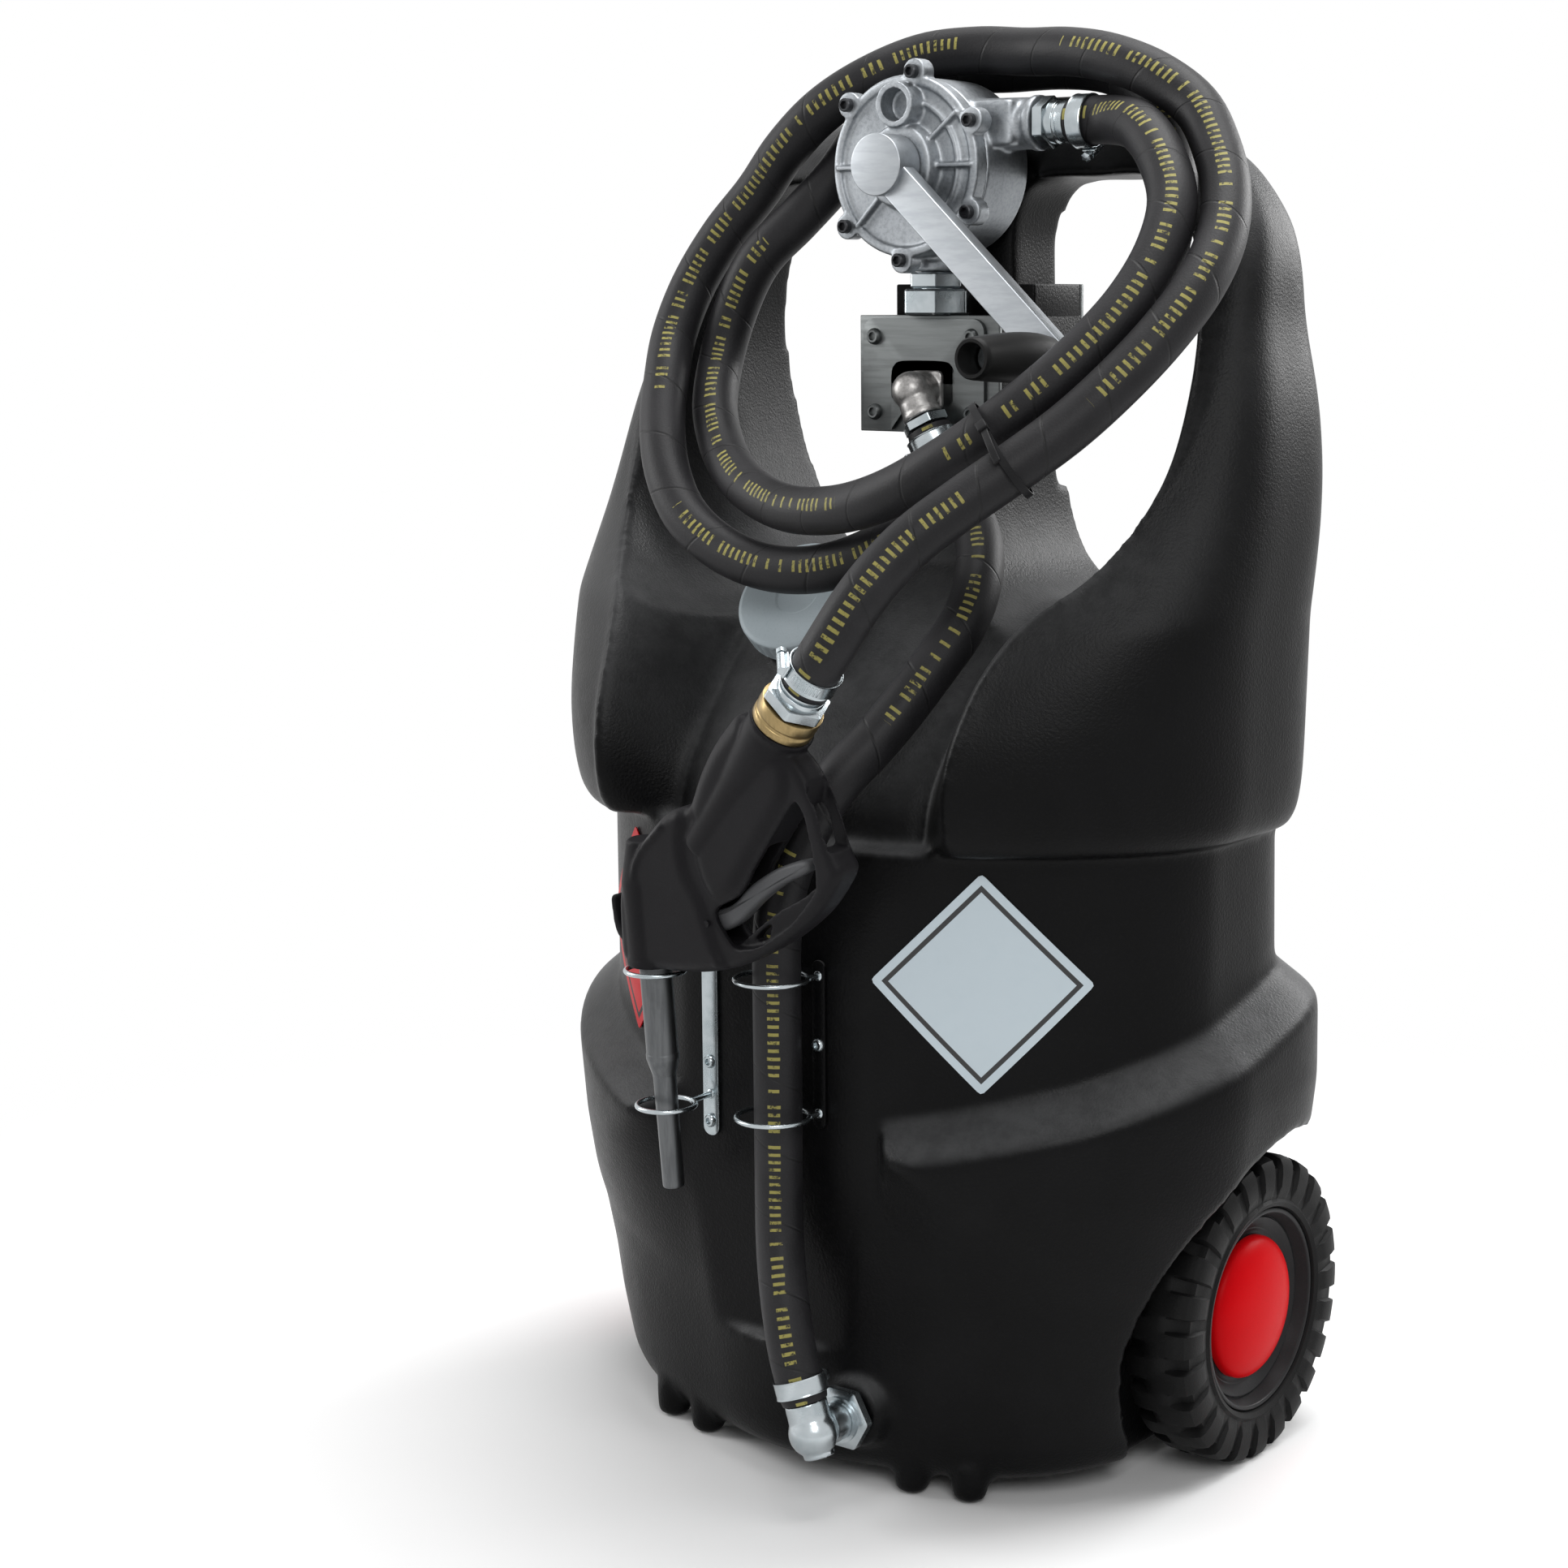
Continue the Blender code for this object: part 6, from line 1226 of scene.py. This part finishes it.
# Pump: heights are counted forwards from the middle of the tank
faceY = -pump["coverFront"]
facePlace = at(0, 0, pump["height"]) @ toFront
outletAxis = at(0, portY, pump["height"] + pump["outletRise"]) @ toRight
inletAxis = at(0, portY, 0)
r, chamber, port = pump["coverRadius"], pump["chamber"], pump["port"]
neckLow = pump["height"] - bodyRadius - port * 0.6
upright = Matrix(((1, 0, 0, 0), (0, -1, 0, 0), (0, 0, 1, 0), (0, 0, 0, 1)))
bodyShells = [turned([(bodyRadius * 0.94, -bodyBack), (bodyRadius, -bodyBack + pump["backWall"] * 0.5),
                      (bodyRadius, -bodyFront - 0.006), (bodyRadius, -bodyFront)], facePlace, 96),
              turned([(port * 1.06, chamber * 0.6), (port, portEnd - 0.006),
                      (port * 1.08, portEnd - 0.005), (port * 1.08, portEnd)], outletAxis, 56),
              turned([(port * 1.08, neckLow), (port * 1.08, neckLow + 0.006), (port, neckLow + 0.008),
                      (port, pump["height"] - chamber)], inletAxis, 56),
              block((chamber * 0.4, -bodyBack + 0.004, pump["outletRise"] - port * 0.9),
                    (portEnd * 0.86, -bodyFront - 0.004, pump["outletRise"] + port * 0.9),
                    0.003, 0.004, at(0, 0, pump["height"]) @ upright)]
bodyBores = [turned([(chamber, -bodyBack + pump["backWall"]), (chamber, -bodyFront + past)],
                    at(0, 0, pump["height"] - pump["chamberDrop"]) @ toFront, 80),
             turned([(port * 0.6, chamber * 0.5), (port * 0.6, portEnd + past)], outletAxis, 40),
             turned([(port * 0.6, neckLow - past), (port * 0.6, pump["height"] - chamber * 0.8)],
                    inletAxis, 40)]
castFrom("pumpHousing", bodyShells, bodyBores, [], "castGrey", 0.0012, 3, "pump_body")

cover = {"lugs": (27, 82, 138, 219, 268, 330), "lugRadius": 0.145, "lugFace": 0.0036,
         "lugCircle": 1.035, "ribs": (0, 38, 180, 225, 315), "ribHalf": 0.0015, "ribFace": 0.005,
         "shaft": 0.008, "screw": (0.0045, 0.0050), "lipFrom": -50, "lipTo": 70}
bush = cover["shaft"] * 1.4 + gap
hub = r * 0.45
hubFace = faceY + pump["hubRise"]
lugCircle = r * cover["lugCircle"]
lugPlaces = [at(lugCircle * math.cos(a), 0, pump["height"] + lugCircle * math.sin(a)) @ toFront
             for a in np.radians(cover["lugs"])]
lug = [(r * cover["lugRadius"], -coverBack + gap), (r * cover["lugRadius"], faceY + cover["lugFace"])]
coverShells = [turned([(bush, -coverBack), (r, -coverBack), (r, faceY + 0.0015),
                       (r * 0.975, faceY + 0.003), (r * 0.90, faceY + 0.003), (r * 0.88, faceY),
                       (hub * 1.08, faceY), (hub, faceY + pump["hubRise"] * 0.9),
                       (hub * 0.93, hubFace), (bush, hubFace), (bush, -coverBack)], facePlace, 120)]
coverShells += [turned(lug, place, 36) for place in lugPlaces]
ribLow = (hub * 0.97, -cover["ribHalf"], -coverBack / 2)
ribHigh = (r * 0.94, cover["ribHalf"], faceY + cover["ribFace"])
coverShells += [block(ribLow, ribHigh, 0.0004, 0.0006, facePlace @ spun(degrees))
                for degrees in cover["ribs"]]
bossPlace = at(0, 0, pump["height"] + r * 0.665) @ toFront
# a raised lip round the outer half of the face
a = np.radians(np.linspace(cover["lipFrom"], cover["lipTo"], 40))
lip = np.column_stack([r * 0.72 * np.cos(a), r * 0.72 * np.sin(a), np.full(len(a), faceY + 0.0012)])
coverShells += [turned([(r * 0.25, -coverBack / 2), (r * 0.25, faceY + 0.014)], bossPlace, 56),
                placed(tube(lip, 0.0016, 14), facePlace)]
coverCuts = [turned([(r * 0.18, faceY + 0.0005), (r * 0.18, faceY + 0.024)], bossPlace, 48)]
castFrom("pumpCoverCast", coverShells, coverCuts, [], "castGrey", 0.0009, 2, "pump_cover")
screwHead = hexSocketScrew(Matrix.Translation((0, 0, faceY + cover["lugFace"])), *cover["screw"])
piece("pumpScrews", [placed(screwHead, place) for place in lugPlaces], "screwBlack")

low, long, flats = outletHex["low"], outletHex["long"], outletHex["flats"]
thread = [(flats * 0.46, low + long * 0.5), (flats * 0.46, low + long * 0.8),
          (flats * 0.43, low + long * 0.82), (flats * 0.43, low + long * 0.95),
          (flats * 0.46, low + long * 0.97), (flats * 0.46, low + long * 1.25)]
piece("outletFitting", [hexNut(flats, low, low + long * 0.55, outletAxis, 0.0014),
                        turned(rounded(thread, 0.0005), outletAxis, 60)], "zincPlate", "outlet_fitting")
inletNuts = {"nipple": 0.0120, "top": 0.034, "low": 0.042, "split": 0.60, "edge": 0.0015, "small": 0.93}
nippleLow = backTop + gap
nutSplit = nippleLow + (neckLow - nippleLow) * inletNuts["split"]
for name, node, flats, low, high in (
        ("inletNutTop", "inlet_nut_top", inletNuts["top"], nutSplit + gap, neckLow - gap),
        ("inletNutLow", "inlet_nut_low", inletNuts["low"], nippleLow, nutSplit)):
    outline = hexagon(flats, 5)
    small = outline * inletNuts["small"]
    circle = circleLike(outline) * (inletNuts["nipple"] + gap)
    rows = [(circle, low), (small, low), (outline, low + inletNuts["edge"]),
            (outline, high - inletNuts["edge"]), (small, high), (circle, high)]
    piece(name, [placed(skin(layers(rows), wrapRows=True), inletAxis)], "zincPlate", node)

# Crank arm: a rounded bar and its hub disc
crank = {"radius": 0.180, "width": 0.024, "thick": 0.012, "front": -0.033, "angle": -42.3,
         "disc": 0.0200, "proud": 0.004, "grip": 0.084, "gripRadius": 0.0125, "gripBulge": 0.0155,
         "pin": 0.005, "bore": 0.0083}
angle = math.radians(crank["angle"])
armFront = -crank["front"]
armBack = armFront - crank["thick"]
hubBack = hubFace + gap * 2
hubFront = armFront + crank["proud"]
half = crank["width"] / 2
a = np.linspace(-math.pi / 2, math.pi / 2, 17)
armEnd = np.column_stack([crank["radius"] + half * np.cos(a), half * np.sin(a)])
disc = rounded([(crank["bore"], hubBack), (crank["disc"], hubBack), (crank["disc"], hubFront),
                (0.0001, hubFront)], 0.0010)
armShells = [turned(np.vstack([(crank["bore"], armFront - gap), disc]), facePlace, 84),
             slab(np.vstack([(0, -half), armEnd, (0, half)]), armBack, armFront,
                  facePlace @ Matrix.Rotation(angle, 4, "Z"), 0.0012, 4)]
piece("crankArm", armShells, "armSatin", "crank_arm", "crank")
pinPlace = at(math.cos(angle) * crank["radius"], 0,
              pump["height"] + math.sin(angle) * crank["radius"]) @ toFront
headLow = armFront + crank["grip"] * 0.74
headRadius = crank["gripRadius"] * 0.66
gripPin = rounded([(crank["pin"], armBack + 0.0002), (crank["pin"], headLow), (headRadius, headLow),
                   (headRadius, headLow + 0.003)], 0.0006)
piece("gripPin", [turned(gripPin, pinPlace, 36)], "zincPlate", "grip_pin", "crank")
gripPlace = pinPlace @ Matrix.Translation((0, 0, armFront + gap))
long = crank["grip"]
r0, r1 = crank["gripRadius"], crank["gripBulge"]
bore = crank["pin"] + gap
headSeat = long * 0.74 - gap * 3
swell = smoothLine([(r0, 0.0012), (r1 * 0.96, long * 0.2), (r1, long * 0.45), (r1 * 0.93, long * 0.75),
                    (r0 * 1.06, long * 0.95)], 30)
profile = np.vstack([[(bore, 0), (r0 * 0.93, 0), (r0 * 0.985, 0.0005)], swell,
                     [(r0 * 1.03, long * 0.985), (r0 * 0.95, long), (r0 * 0.80, long),
                      (r0 * 0.76, long - 0.0015), (r0 * 0.76, headSeat), (bore, headSeat), (bore, 0)]])
piece("gripSleeve", [turned(profile, gripPlace, 64)], "gripBlack", "grip", "grip", 40)
print("pump and crank built")


# Nozzle: local x from the spout to the guard, y up along the body, z to the front
bodyShares = [(-0.088, 0.000), (-0.088, 0.100), (-0.080, 0.262), (-0.014, 0.393), (0.112, 0.527),
              (0.172, 0.578), (0.227, 0.595), (0.256, 0.590), (0.315, 0.722), (0.387, 0.832),
              (0.465, 0.915), (0.498, 0.950), (0.722, 0.820), (0.803, 0.684), (0.853, 0.504),
              (0.889, 0.456), (0.779, 0.304), (0.644, 0.193), (0.519, 0.117), (0.411, 0.060),
              (0.267, 0.020), (0.100, 0.000)]
openShares = [(0.722, 0.690), (0.608, 0.537), (0.520, 0.415), (0.500, 0.378), (0.452, 0.318),
              (0.345, 0.262), (0.345, 0.215), (0.416, 0.128), (0.522, 0.152), (0.666, 0.252),
              (0.775, 0.378), (0.787, 0.420), (0.778, 0.507), (0.762, 0.599), (0.750, 0.640)]
aboveShares = openShares[:6] + [(0.345, 0.180), (0.430, 0.160), (0.500, 0.215), (0.600, 0.290),
                                (0.700, 0.345)] + openShares[-4:]
headShares = bodyShares[:7] + [(0.262, 0.560), (0.236, 0.470), (0.252, 0.370), (0.310, 0.285),
                               (0.336, 0.200), (0.372, 0.100), (0.400, 0.056)] + bodyShares[-2:]
barrelShares = ([(0.275, 0.545)] + bodyShares[7:13] + openShares[:3] + openShares[4:6]
                + [(0.290, 0.330), (0.262, 0.430)])
windowShares = [(0.470, 0.152), (0.535, 0.176), (0.560, 0.240), (0.500, 0.195)]
throatShares = [(0.268, 0.130), (0.400, 0.130), (0.520, 0.230), (0.640, 0.500), (0.500, 0.520),
                (0.370, 0.390), (0.268, 0.290)]
leverShares = [(0.288, 0.205), (0.300, 0.240), (0.345, 0.250), (0.405, 0.280), (0.470, 0.350),
               (0.590, 0.430), (0.722, 0.480), (0.736, 0.455), (0.720, 0.430), (0.600, 0.372),
               (0.490, 0.285), (0.420, 0.215), (0.340, 0.165), (0.300, 0.175)]
hookShares = [(-0.060, 0.030), (-0.120, 0.040), (-0.165, 0.090), (-0.175, 0.220), (-0.150, 0.225),
              (-0.145, 0.120), (-0.120, 0.085), (-0.060, 0.075)]
slotShares = [(0.730, 0.520), (0.950, 0.520), (0.900, 0.800), (0.772, 0.770), (0.745, 0.660)]


def shaped(shares, count=0, soft=0.3):
    # shares of the nozzle's width and height; each corner is cut by a short curve, then read evenly
    p = np.array(shares, float) * (nozzle["wide"], nozzle["tall"])
    if not count:
        return p
    line = softened(p, 7, soft)
    return evenly(np.vstack([line, line[:1]]), count, closed=True)


half = nozzle["thick"] / 2
neck = nozzle["neck"]
socket = {"radius": 0.0172, "long": 0.055}
spoutAxis = localAxis((0, 0, 0), (0, -1, 0))
r = socket["radius"]
guardHalf, barrelHalf = half * 0.76, half * 0.97
nozzleShells = [slab(shaped(bodyShares, 150, 0.40), -guardHalf, guardHalf, nozzlePlace,
                     nozzle["guardEdge"], 6),
                slab(shaped(headShares, 130, 0.40), -half, half, nozzlePlace, nozzle["headEdge"], 6),
                slab(shaped(barrelShares, 130, 0.40), -barrelHalf, barrelHalf, nozzlePlace,
                     nozzle["barrelEdge"], 8),
                turned([(neck * 0.80, -neckLength), (neck * 0.86, -neckLength / 2),
                        (neck * 1.05, -neck * 0.3), (neck * 1.12, 0)], neckAxis, 72),
                turned([(r * 0.7, -socket["long"] * 1.5), (r, -socket["long"]), (r, 0)], spoutAxis, 72),
                slab(shaped(hookShares, 60, 0.35), -half * 0.6, half * 0.2, nozzlePlace, 0.002, 3)]
flankShares = np.array([(0.020, 0.10, 0), (0.020, 0.36, 0), (0.16, 0.53, 0)])
flank = smoothLine(flankShares * (nozzle["wide"], nozzle["tall"], 0), 30)
for z in (-half * 0.98, half * 0.98):  # a raised rib down each flank, and a collar at the mouth
    nozzleShells.append(placed(tube(flank + (0, 0, z), 0.0020, 16), nozzlePlace))
nozzleShells.append(turned([(r * 1.05, -0.004), (r * 1.05, 0)], spoutAxis, 64))
web, slotHalf = nozzle["web"], nozzle["slotHalf"]
whole = half + past
trigger = {"thick": 0.012, "edge": 0.0032}
leverHalf = trigger["thick"] / 2
throatHalf = leverHalf + gap * 3
stem = {"spring": 0.0063, "springLow": -0.0025, "springHigh": 0.024, "rod": 0.0033, "rodLow": 0.0215,
        "rodHigh": 0.046}
stemAxis = localAxis(inNozzle(0.440, 0.340), Vector((-0.64, 0.77, 0)).normalized())
spout = {"radius": 0.0105, "long": 0.152, "seat": 0.0294, "wall": 0.0014}
openOutline = shaped(openShares, 90, 0.30)
nozzleCuts = [slab(openOutline, web, whole, nozzlePlace), slab(openOutline, -whole, -web, nozzlePlace),
              slab(shaped(aboveShares, 90, 0.25), -web - 0.0025, web + 0.0025, nozzlePlace),
              slab(shaped(windowShares, 40, 0.25), -whole, whole, nozzlePlace),
              slab(shaped(throatShares), -throatHalf, throatHalf, nozzlePlace),
              slab(shaped(slotShares, 50, 0.2), -slotHalf, slotHalf, nozzlePlace),
              turned([(0.008, -neckLength * 0.45), (0.008, past)], neckAxis, 36),
              turned([(spout["radius"] + gap, -0.030), (spout["radius"] + gap, past)], spoutAxis, 48),
              turned([(stem["spring"], stem["springLow"]), (stem["spring"], stem["springHigh"])],
                     stemAxis, 32),
              turned([(stem["rod"], stem["rodLow"]), (stem["rod"], stem["rodHigh"])], stemAxis, 28)]
castFrom("nozzleCast", nozzleShells, nozzleCuts, [], "nozzleGrey", 0.00115, 3, "nozzle_body")
lever = slab(shaped(leverShares, 100, 0.45), -leverHalf, leverHalf, nozzlePlace, trigger["edge"], 5)
piece("triggerLever", [lever], "leverGrey", "trigger", "trigger", 60)
r, wall, seat, long = (spout[word] for word in ("radius", "wall", "seat", "long"))
step = long * 0.42
tip = r * 0.72
profile = [(r - wall, -seat), (r, -seat), (r, step - 0.004), (r * 1.04, step - 0.003), (r * 1.04, step),
           (tip * 1.02, step * 1.18), (tip, step * 1.22), (tip * 0.94, long - 0.001), (tip * 0.90, long),
           (tip * 0.94 - wall, long), (tip - wall, step * 1.18), (r - wall, step), (r - wall, -seat)]
piece("spoutTube", [turned(rounded(profile, 0.0005, 2), spoutAxis, 64)], "spoutSatin", "spout",
      sharp=40)
r, long = neck * 1.03, nozzle["ring"]
profile = [(0.008, gap), (r, gap), (r, long * 0.30), (neck * 0.985, long * 0.34),
           (neck * 0.985, long * 0.46), (r, long * 0.50), (r, long), (0.008, long), (0.008, gap)]
piece("nozzleRing", [turned(rounded(profile, 0.0006, 2), neckAxis, 84)], "tanRing", "nozzle_ring")
wide, thin, long = neck * 0.80, neck * 0.70, nozzle["adaptor"]
profile = [(wide, adaptorLow + long * 0.3), (wide, adaptorLow + long * 0.80),
           (thin, adaptorLow + long * 0.82), (thin, adaptorLow + long * 0.90),
           (wide, adaptorLow + long * 0.92), (wide, adaptorLow + long)]
piece("nozzleAdaptor", [hexNut(neck * 1.85, adaptorLow, adaptorLow + long * 0.6, neckAxis, 0.0014),
                        turned(rounded(profile, 0.0004), neckAxis, 60)], "zincPlate", "nozzle_adaptor")
print("nozzle built")


# Outlet at the tank's foot
outletPlace = at(outlet[0], outlet[1] - gap, outlet[2]) @ toFront
piece("outletNut", [hexNut(0.0378, 0, fitting["nut"], outletPlace, 0.0014),
                    turned(rounded([(0.0151, 0.004), (0.0151, 0.0104)], 0.0005), outletPlace, 60)],
      "zincPlate", "outlet_nut")
r = fitting["radius"]
upEnd = lowerBall + lowerTurn * fitting["upright"]
footShells = [tube(pipeBend((0.061, -0.1627, 0.057), lowerBall, upEnd, r), r, 36),
              ball(fitting["ball"], aimed(lowerBall, lowerTurn), 48, 24),
              turned(rounded([(r * 1.1, -0.013), (r * 1.1, 0)], 0.0006), aimed(upEnd, lowerTurn), 56),
              turned(rounded([(r * 0.8, 0.0), (r * 0.8, fitting["ball"])], 0.0008),
                     aimed(lowerBall, -lowerTurn), 40)]
castFrom("outletElbow", footShells, [], [], "zincPlate", 0.0008, 4, "outlet_elbow")

# Wire holders on the channel
holder = {"strip": 0.002, "wire": 0.0016, "hoseX": 0.018, "hoseRing": 0.0235, "hoseLow": 0.253,
          "hoseHigh": 0.343, "hoseWide": 0.010, "spoutRing": 0.0190, "spoutWide": 0.013, "apart": 0.091,
          "screw": (0.0045, 0.0028)}
stripY = -channel["front"] - gap
stripFace = Matrix(((1, 0, 0, 0), (0, 0, -1, 0), (0, 1, 0, 0), (0, 0, 0, 1)))


def wireHolder(name, node, centreX, rings, radius, stripX, low, high, wide, screwHeights, dark=False):
    # a strip with rounded ends, wire rings round the middle on short stalks, and its screws
    outline = roundBox(wide / 2, (high - low) / 2, wide * 0.46, (stripX, (low + high) / 2), 8)
    strip = slab(outline, 0, holder["strip"], at(0, stripY, 0) @ stripFace, 0.0004, 2)
    if dark:
        piece(name + "Strip", [strip], "tankBlack", node)
    shells = [] if dark else [strip]
    wire = holder["wire"]
    side = stripX - centreX
    face = stripY - holder["strip"]
    rivet = rounded([(wire * 2.0, -0.0003), (wire * 2.0, 0.0006), (wire * 1.3, 0.0012)], 0.0003)
    for y, z in rings:
        hit = y + math.sqrt(max(radius * radius - side * side, 0))
        reach = stripY - holder["strip"] / 2 - hit
        stalk = [(wire * 1.2, 0), (wire * 1.2, reach + wire / 2)]
        shells += [wireRing(radius, wire, at(centreX, y, z)),
                   turned(stalk, at(stripX, hit - wire / 2, z) @ spun(-90, "X"), 20),
                   turned(rivet, aimed((stripX, face, z), toFaceFront), 24)]
    for height in screwHeights:
        shells.append(socketScrew(aimed((stripX, face, height), toFaceFront), *holder["screw"]))
    piece(name, shells, "zincPlate", node)


lowZ, highZ, radius = holder["hoseLow"], holder["hoseHigh"], holder["hoseRing"]
ringFront = channel["front"] + radius + holder["wire"] + gap * 2
wireHolder("hoseHolder", "hose_holder", holder["hoseX"], [(-ringFront, lowZ), (-ringFront, highZ)],
           radius, holder["hoseX"] + radius * 0.80, lowZ - 0.010, highZ + 0.010, holder["hoseWide"],
           [(lowZ + highZ) / 2], True)
highZ, radius = nozzle["z"] - 0.005, holder["spoutRing"]
lowZ = highZ - holder["apart"]
lowY = nozzle["y"] + (nozzle["z"] - lowZ) * math.tan(math.radians(nozzle["lean"]))
wireHolder("nozzleHolder", "nozzle_holder", nozzle["x"], [(nozzle["y"], highZ), (lowY, lowZ)],
           radius, nozzle["x"] + radius * 0.35, lowZ - 0.028, highZ + 0.010, holder["spoutWide"],
           [lowZ + 0.022, lowZ - 0.018])

# Labels: bare diamonds that follow the tank's sides
label = {"side": 0.100, "thick": 0.0008, "x": 0.142, "z": 0.346, "corner": 0.05, "rings": 26,
         "first": 0.04, "clear": gap * 2.5}


def labelPiece(side, name, node, look):
    # squares growing from the middle, turned 45 degrees: s = (p + q) / 2 along the side, z = (p - q) / 2
    x, y = (row[0] for row in halfOutline(waistTable, np.array([label["z"]]), 0))
    run = distances(np.column_stack([x, y]))
    nx, ny = np.gradient(y), -np.gradient(x)
    size = np.hypot(nx, ny)
    half = label["side"] / math.sqrt(2)
    front = len(x) // 2
    middle = float(np.interp(label["x"], x[:front], run[:front]))
    square = roundBox(1.0, 1.0, label["corner"], steps=6)
    square = evenly(np.vstack([square, square[:1]]), 160, closed=True)
    grow = np.linspace(label["first"], 1, label["rings"])
    far = np.repeat([label["clear"] + label["thick"], label["clear"]], label["rings"])[:, None]
    pq = np.concatenate([grow, grow[::-1]])[:, None, None] * square[None]
    s = middle + half * (pq[..., 0] + pq[..., 1]) / 2
    z = label["z"] + half * (pq[..., 0] - pq[..., 1]) / 2
    px = side * (np.interp(s, run, x) + np.interp(s, run, nx / size) * far)
    py = np.interp(s, run, y) + np.interp(s, run, ny / size) * far
    shell = skin(np.stack([px, py + shiftY, z], axis=-1))
    obj = linked(name, tidied(meshOf(name, [shell]), merge=False))
    uv = np.vstack([pq.reshape(-1, 2) / 2 + 0.5, [[0.5, 0.5]], [[0.5, 0.5]]])
    setUv(obj.data, uv[cornerPoints(obj.data)])
    dress(obj, look, node)


labelPiece(1, "labelDiamondRight", "label_right", "labelPale")
labelPiece(-1, "labelDiamondLeft", "label_left", "labelRed")
print("outlet, holders and labels built")


# Nodes that keep their own shape get their finishes
for look, names in (
        ("steelBright", ("axle", "pump_shaft", "valve_stem", "valve_spring")),
        ("nozzleGrey", ("trigger_pin",)),
        ("zincPlate", ("axle_clip_left", "axle_clip_right", "wheel_spacer_left", "wheel_spacer_right",
                       "inlet_nipple")),
        ("plateSteel", ("axle_keeper_left", "axle_keeper_right")),
        ("gripBlack", ("cap_gasket", "pump_gasket")), ("bushBrass", ("shaft_bush",)),
        ("castGrey", ("pump_rotor",)),
        ("vaneBlack", ("pump_vane_1", "pump_vane_2", "pump_vane_3", "pump_vane_4"))):
    for name in names:
        coat(nodes[name], look)

# Floor, studio light and backdrop
studio = {"floor": 0.95, "floorRadius": 3, "world": 0.26, "fadeStart": 0.40, "fadeEnd": 1.15,
          "middle": (0, 0.04, 0.45), "lights": {   # place, size, power
              "keyLight": ((2.3, -2.3, 2.5), (1.6, 1.6), 42),
              "leftLight": ((-2.6, -1.2, 1.6), (1.2, 2.0), 42),
              "topLight": ((0.2, 0.4, 2.9), (1.8, 1.8), 62),
              "rimLight": ((1.1, 2.5, 1.7), (1.8, 1.2), 60)}}
for name, (place, size, power) in studio["lights"].items():
    lamp = bpy.data.lights.new(name, "AREA")
    lamp.shape = "RECTANGLE"
    lamp.size, lamp.size_y = size
    lamp.energy = power
    light = linked(name, lamp)
    light.location = place
    light.rotation_euler = lookTurn(place, studio["middle"])

floorData = bpy.data.meshes.new("floor")
a = ringAngles(64)
floorPoints = studio["floorRadius"] * np.column_stack([np.cos(a), np.sin(a), 0 * a])
floorData.from_pydata(floorPoints.tolist(), [], [list(range(len(a)))])
floor = linked("floor", floorData)
floorPaint = Paint("floorPaper", (studio["floor"],) * 3, 0.9)
reach = floorPaint.node("ShaderNodeVectorMath", {"operation": "LENGTH"}, {0: floorPaint.place()}, 1)
fade = floorPaint.ramp(reach, studio["fadeStart"], studio["fadeEnd"])
paper = Value(floorPaint, floorPaint.shader.outputs[0])
clear = floorPaint.node("ShaderNodeBsdfTransparent")
mixed = floorPaint.node("ShaderNodeMixShader", None, {0: fade, 1: paper, 2: clear})
floorPaint.feed(floorPaint.tree.nodes["Material Output"].inputs[0], mixed)
floorData.materials.append(floorPaint.mat)

world = bpy.data.worlds.new("studio")
world.use_nodes = True
bpy.context.scene.world = world
sky = Graph(world.node_tree)
backdrop = sky.tree.nodes["Background"]
backdrop.inputs["Color"].default_value = (1, 1, 1, 1)
cameraRay, glossyRay, clearRay = (sky.node("ShaderNodeLightPath", out="Is " + word + " Ray")
                                  for word in ("Camera", "Glossy", "Transmission"))
seen = cameraRay.join("MAXIMUM", glossyRay).join("MAXIMUM", clearRay)
strength = {"Value": seen, "To Min": studio["world"], "To Max": 1.0}
sky.feed(backdrop.inputs["Strength"], sky.node("ShaderNodeMapRange", None, strength))
bpy.context.scene.view_settings.view_transform = "Standard"
print("studio set")
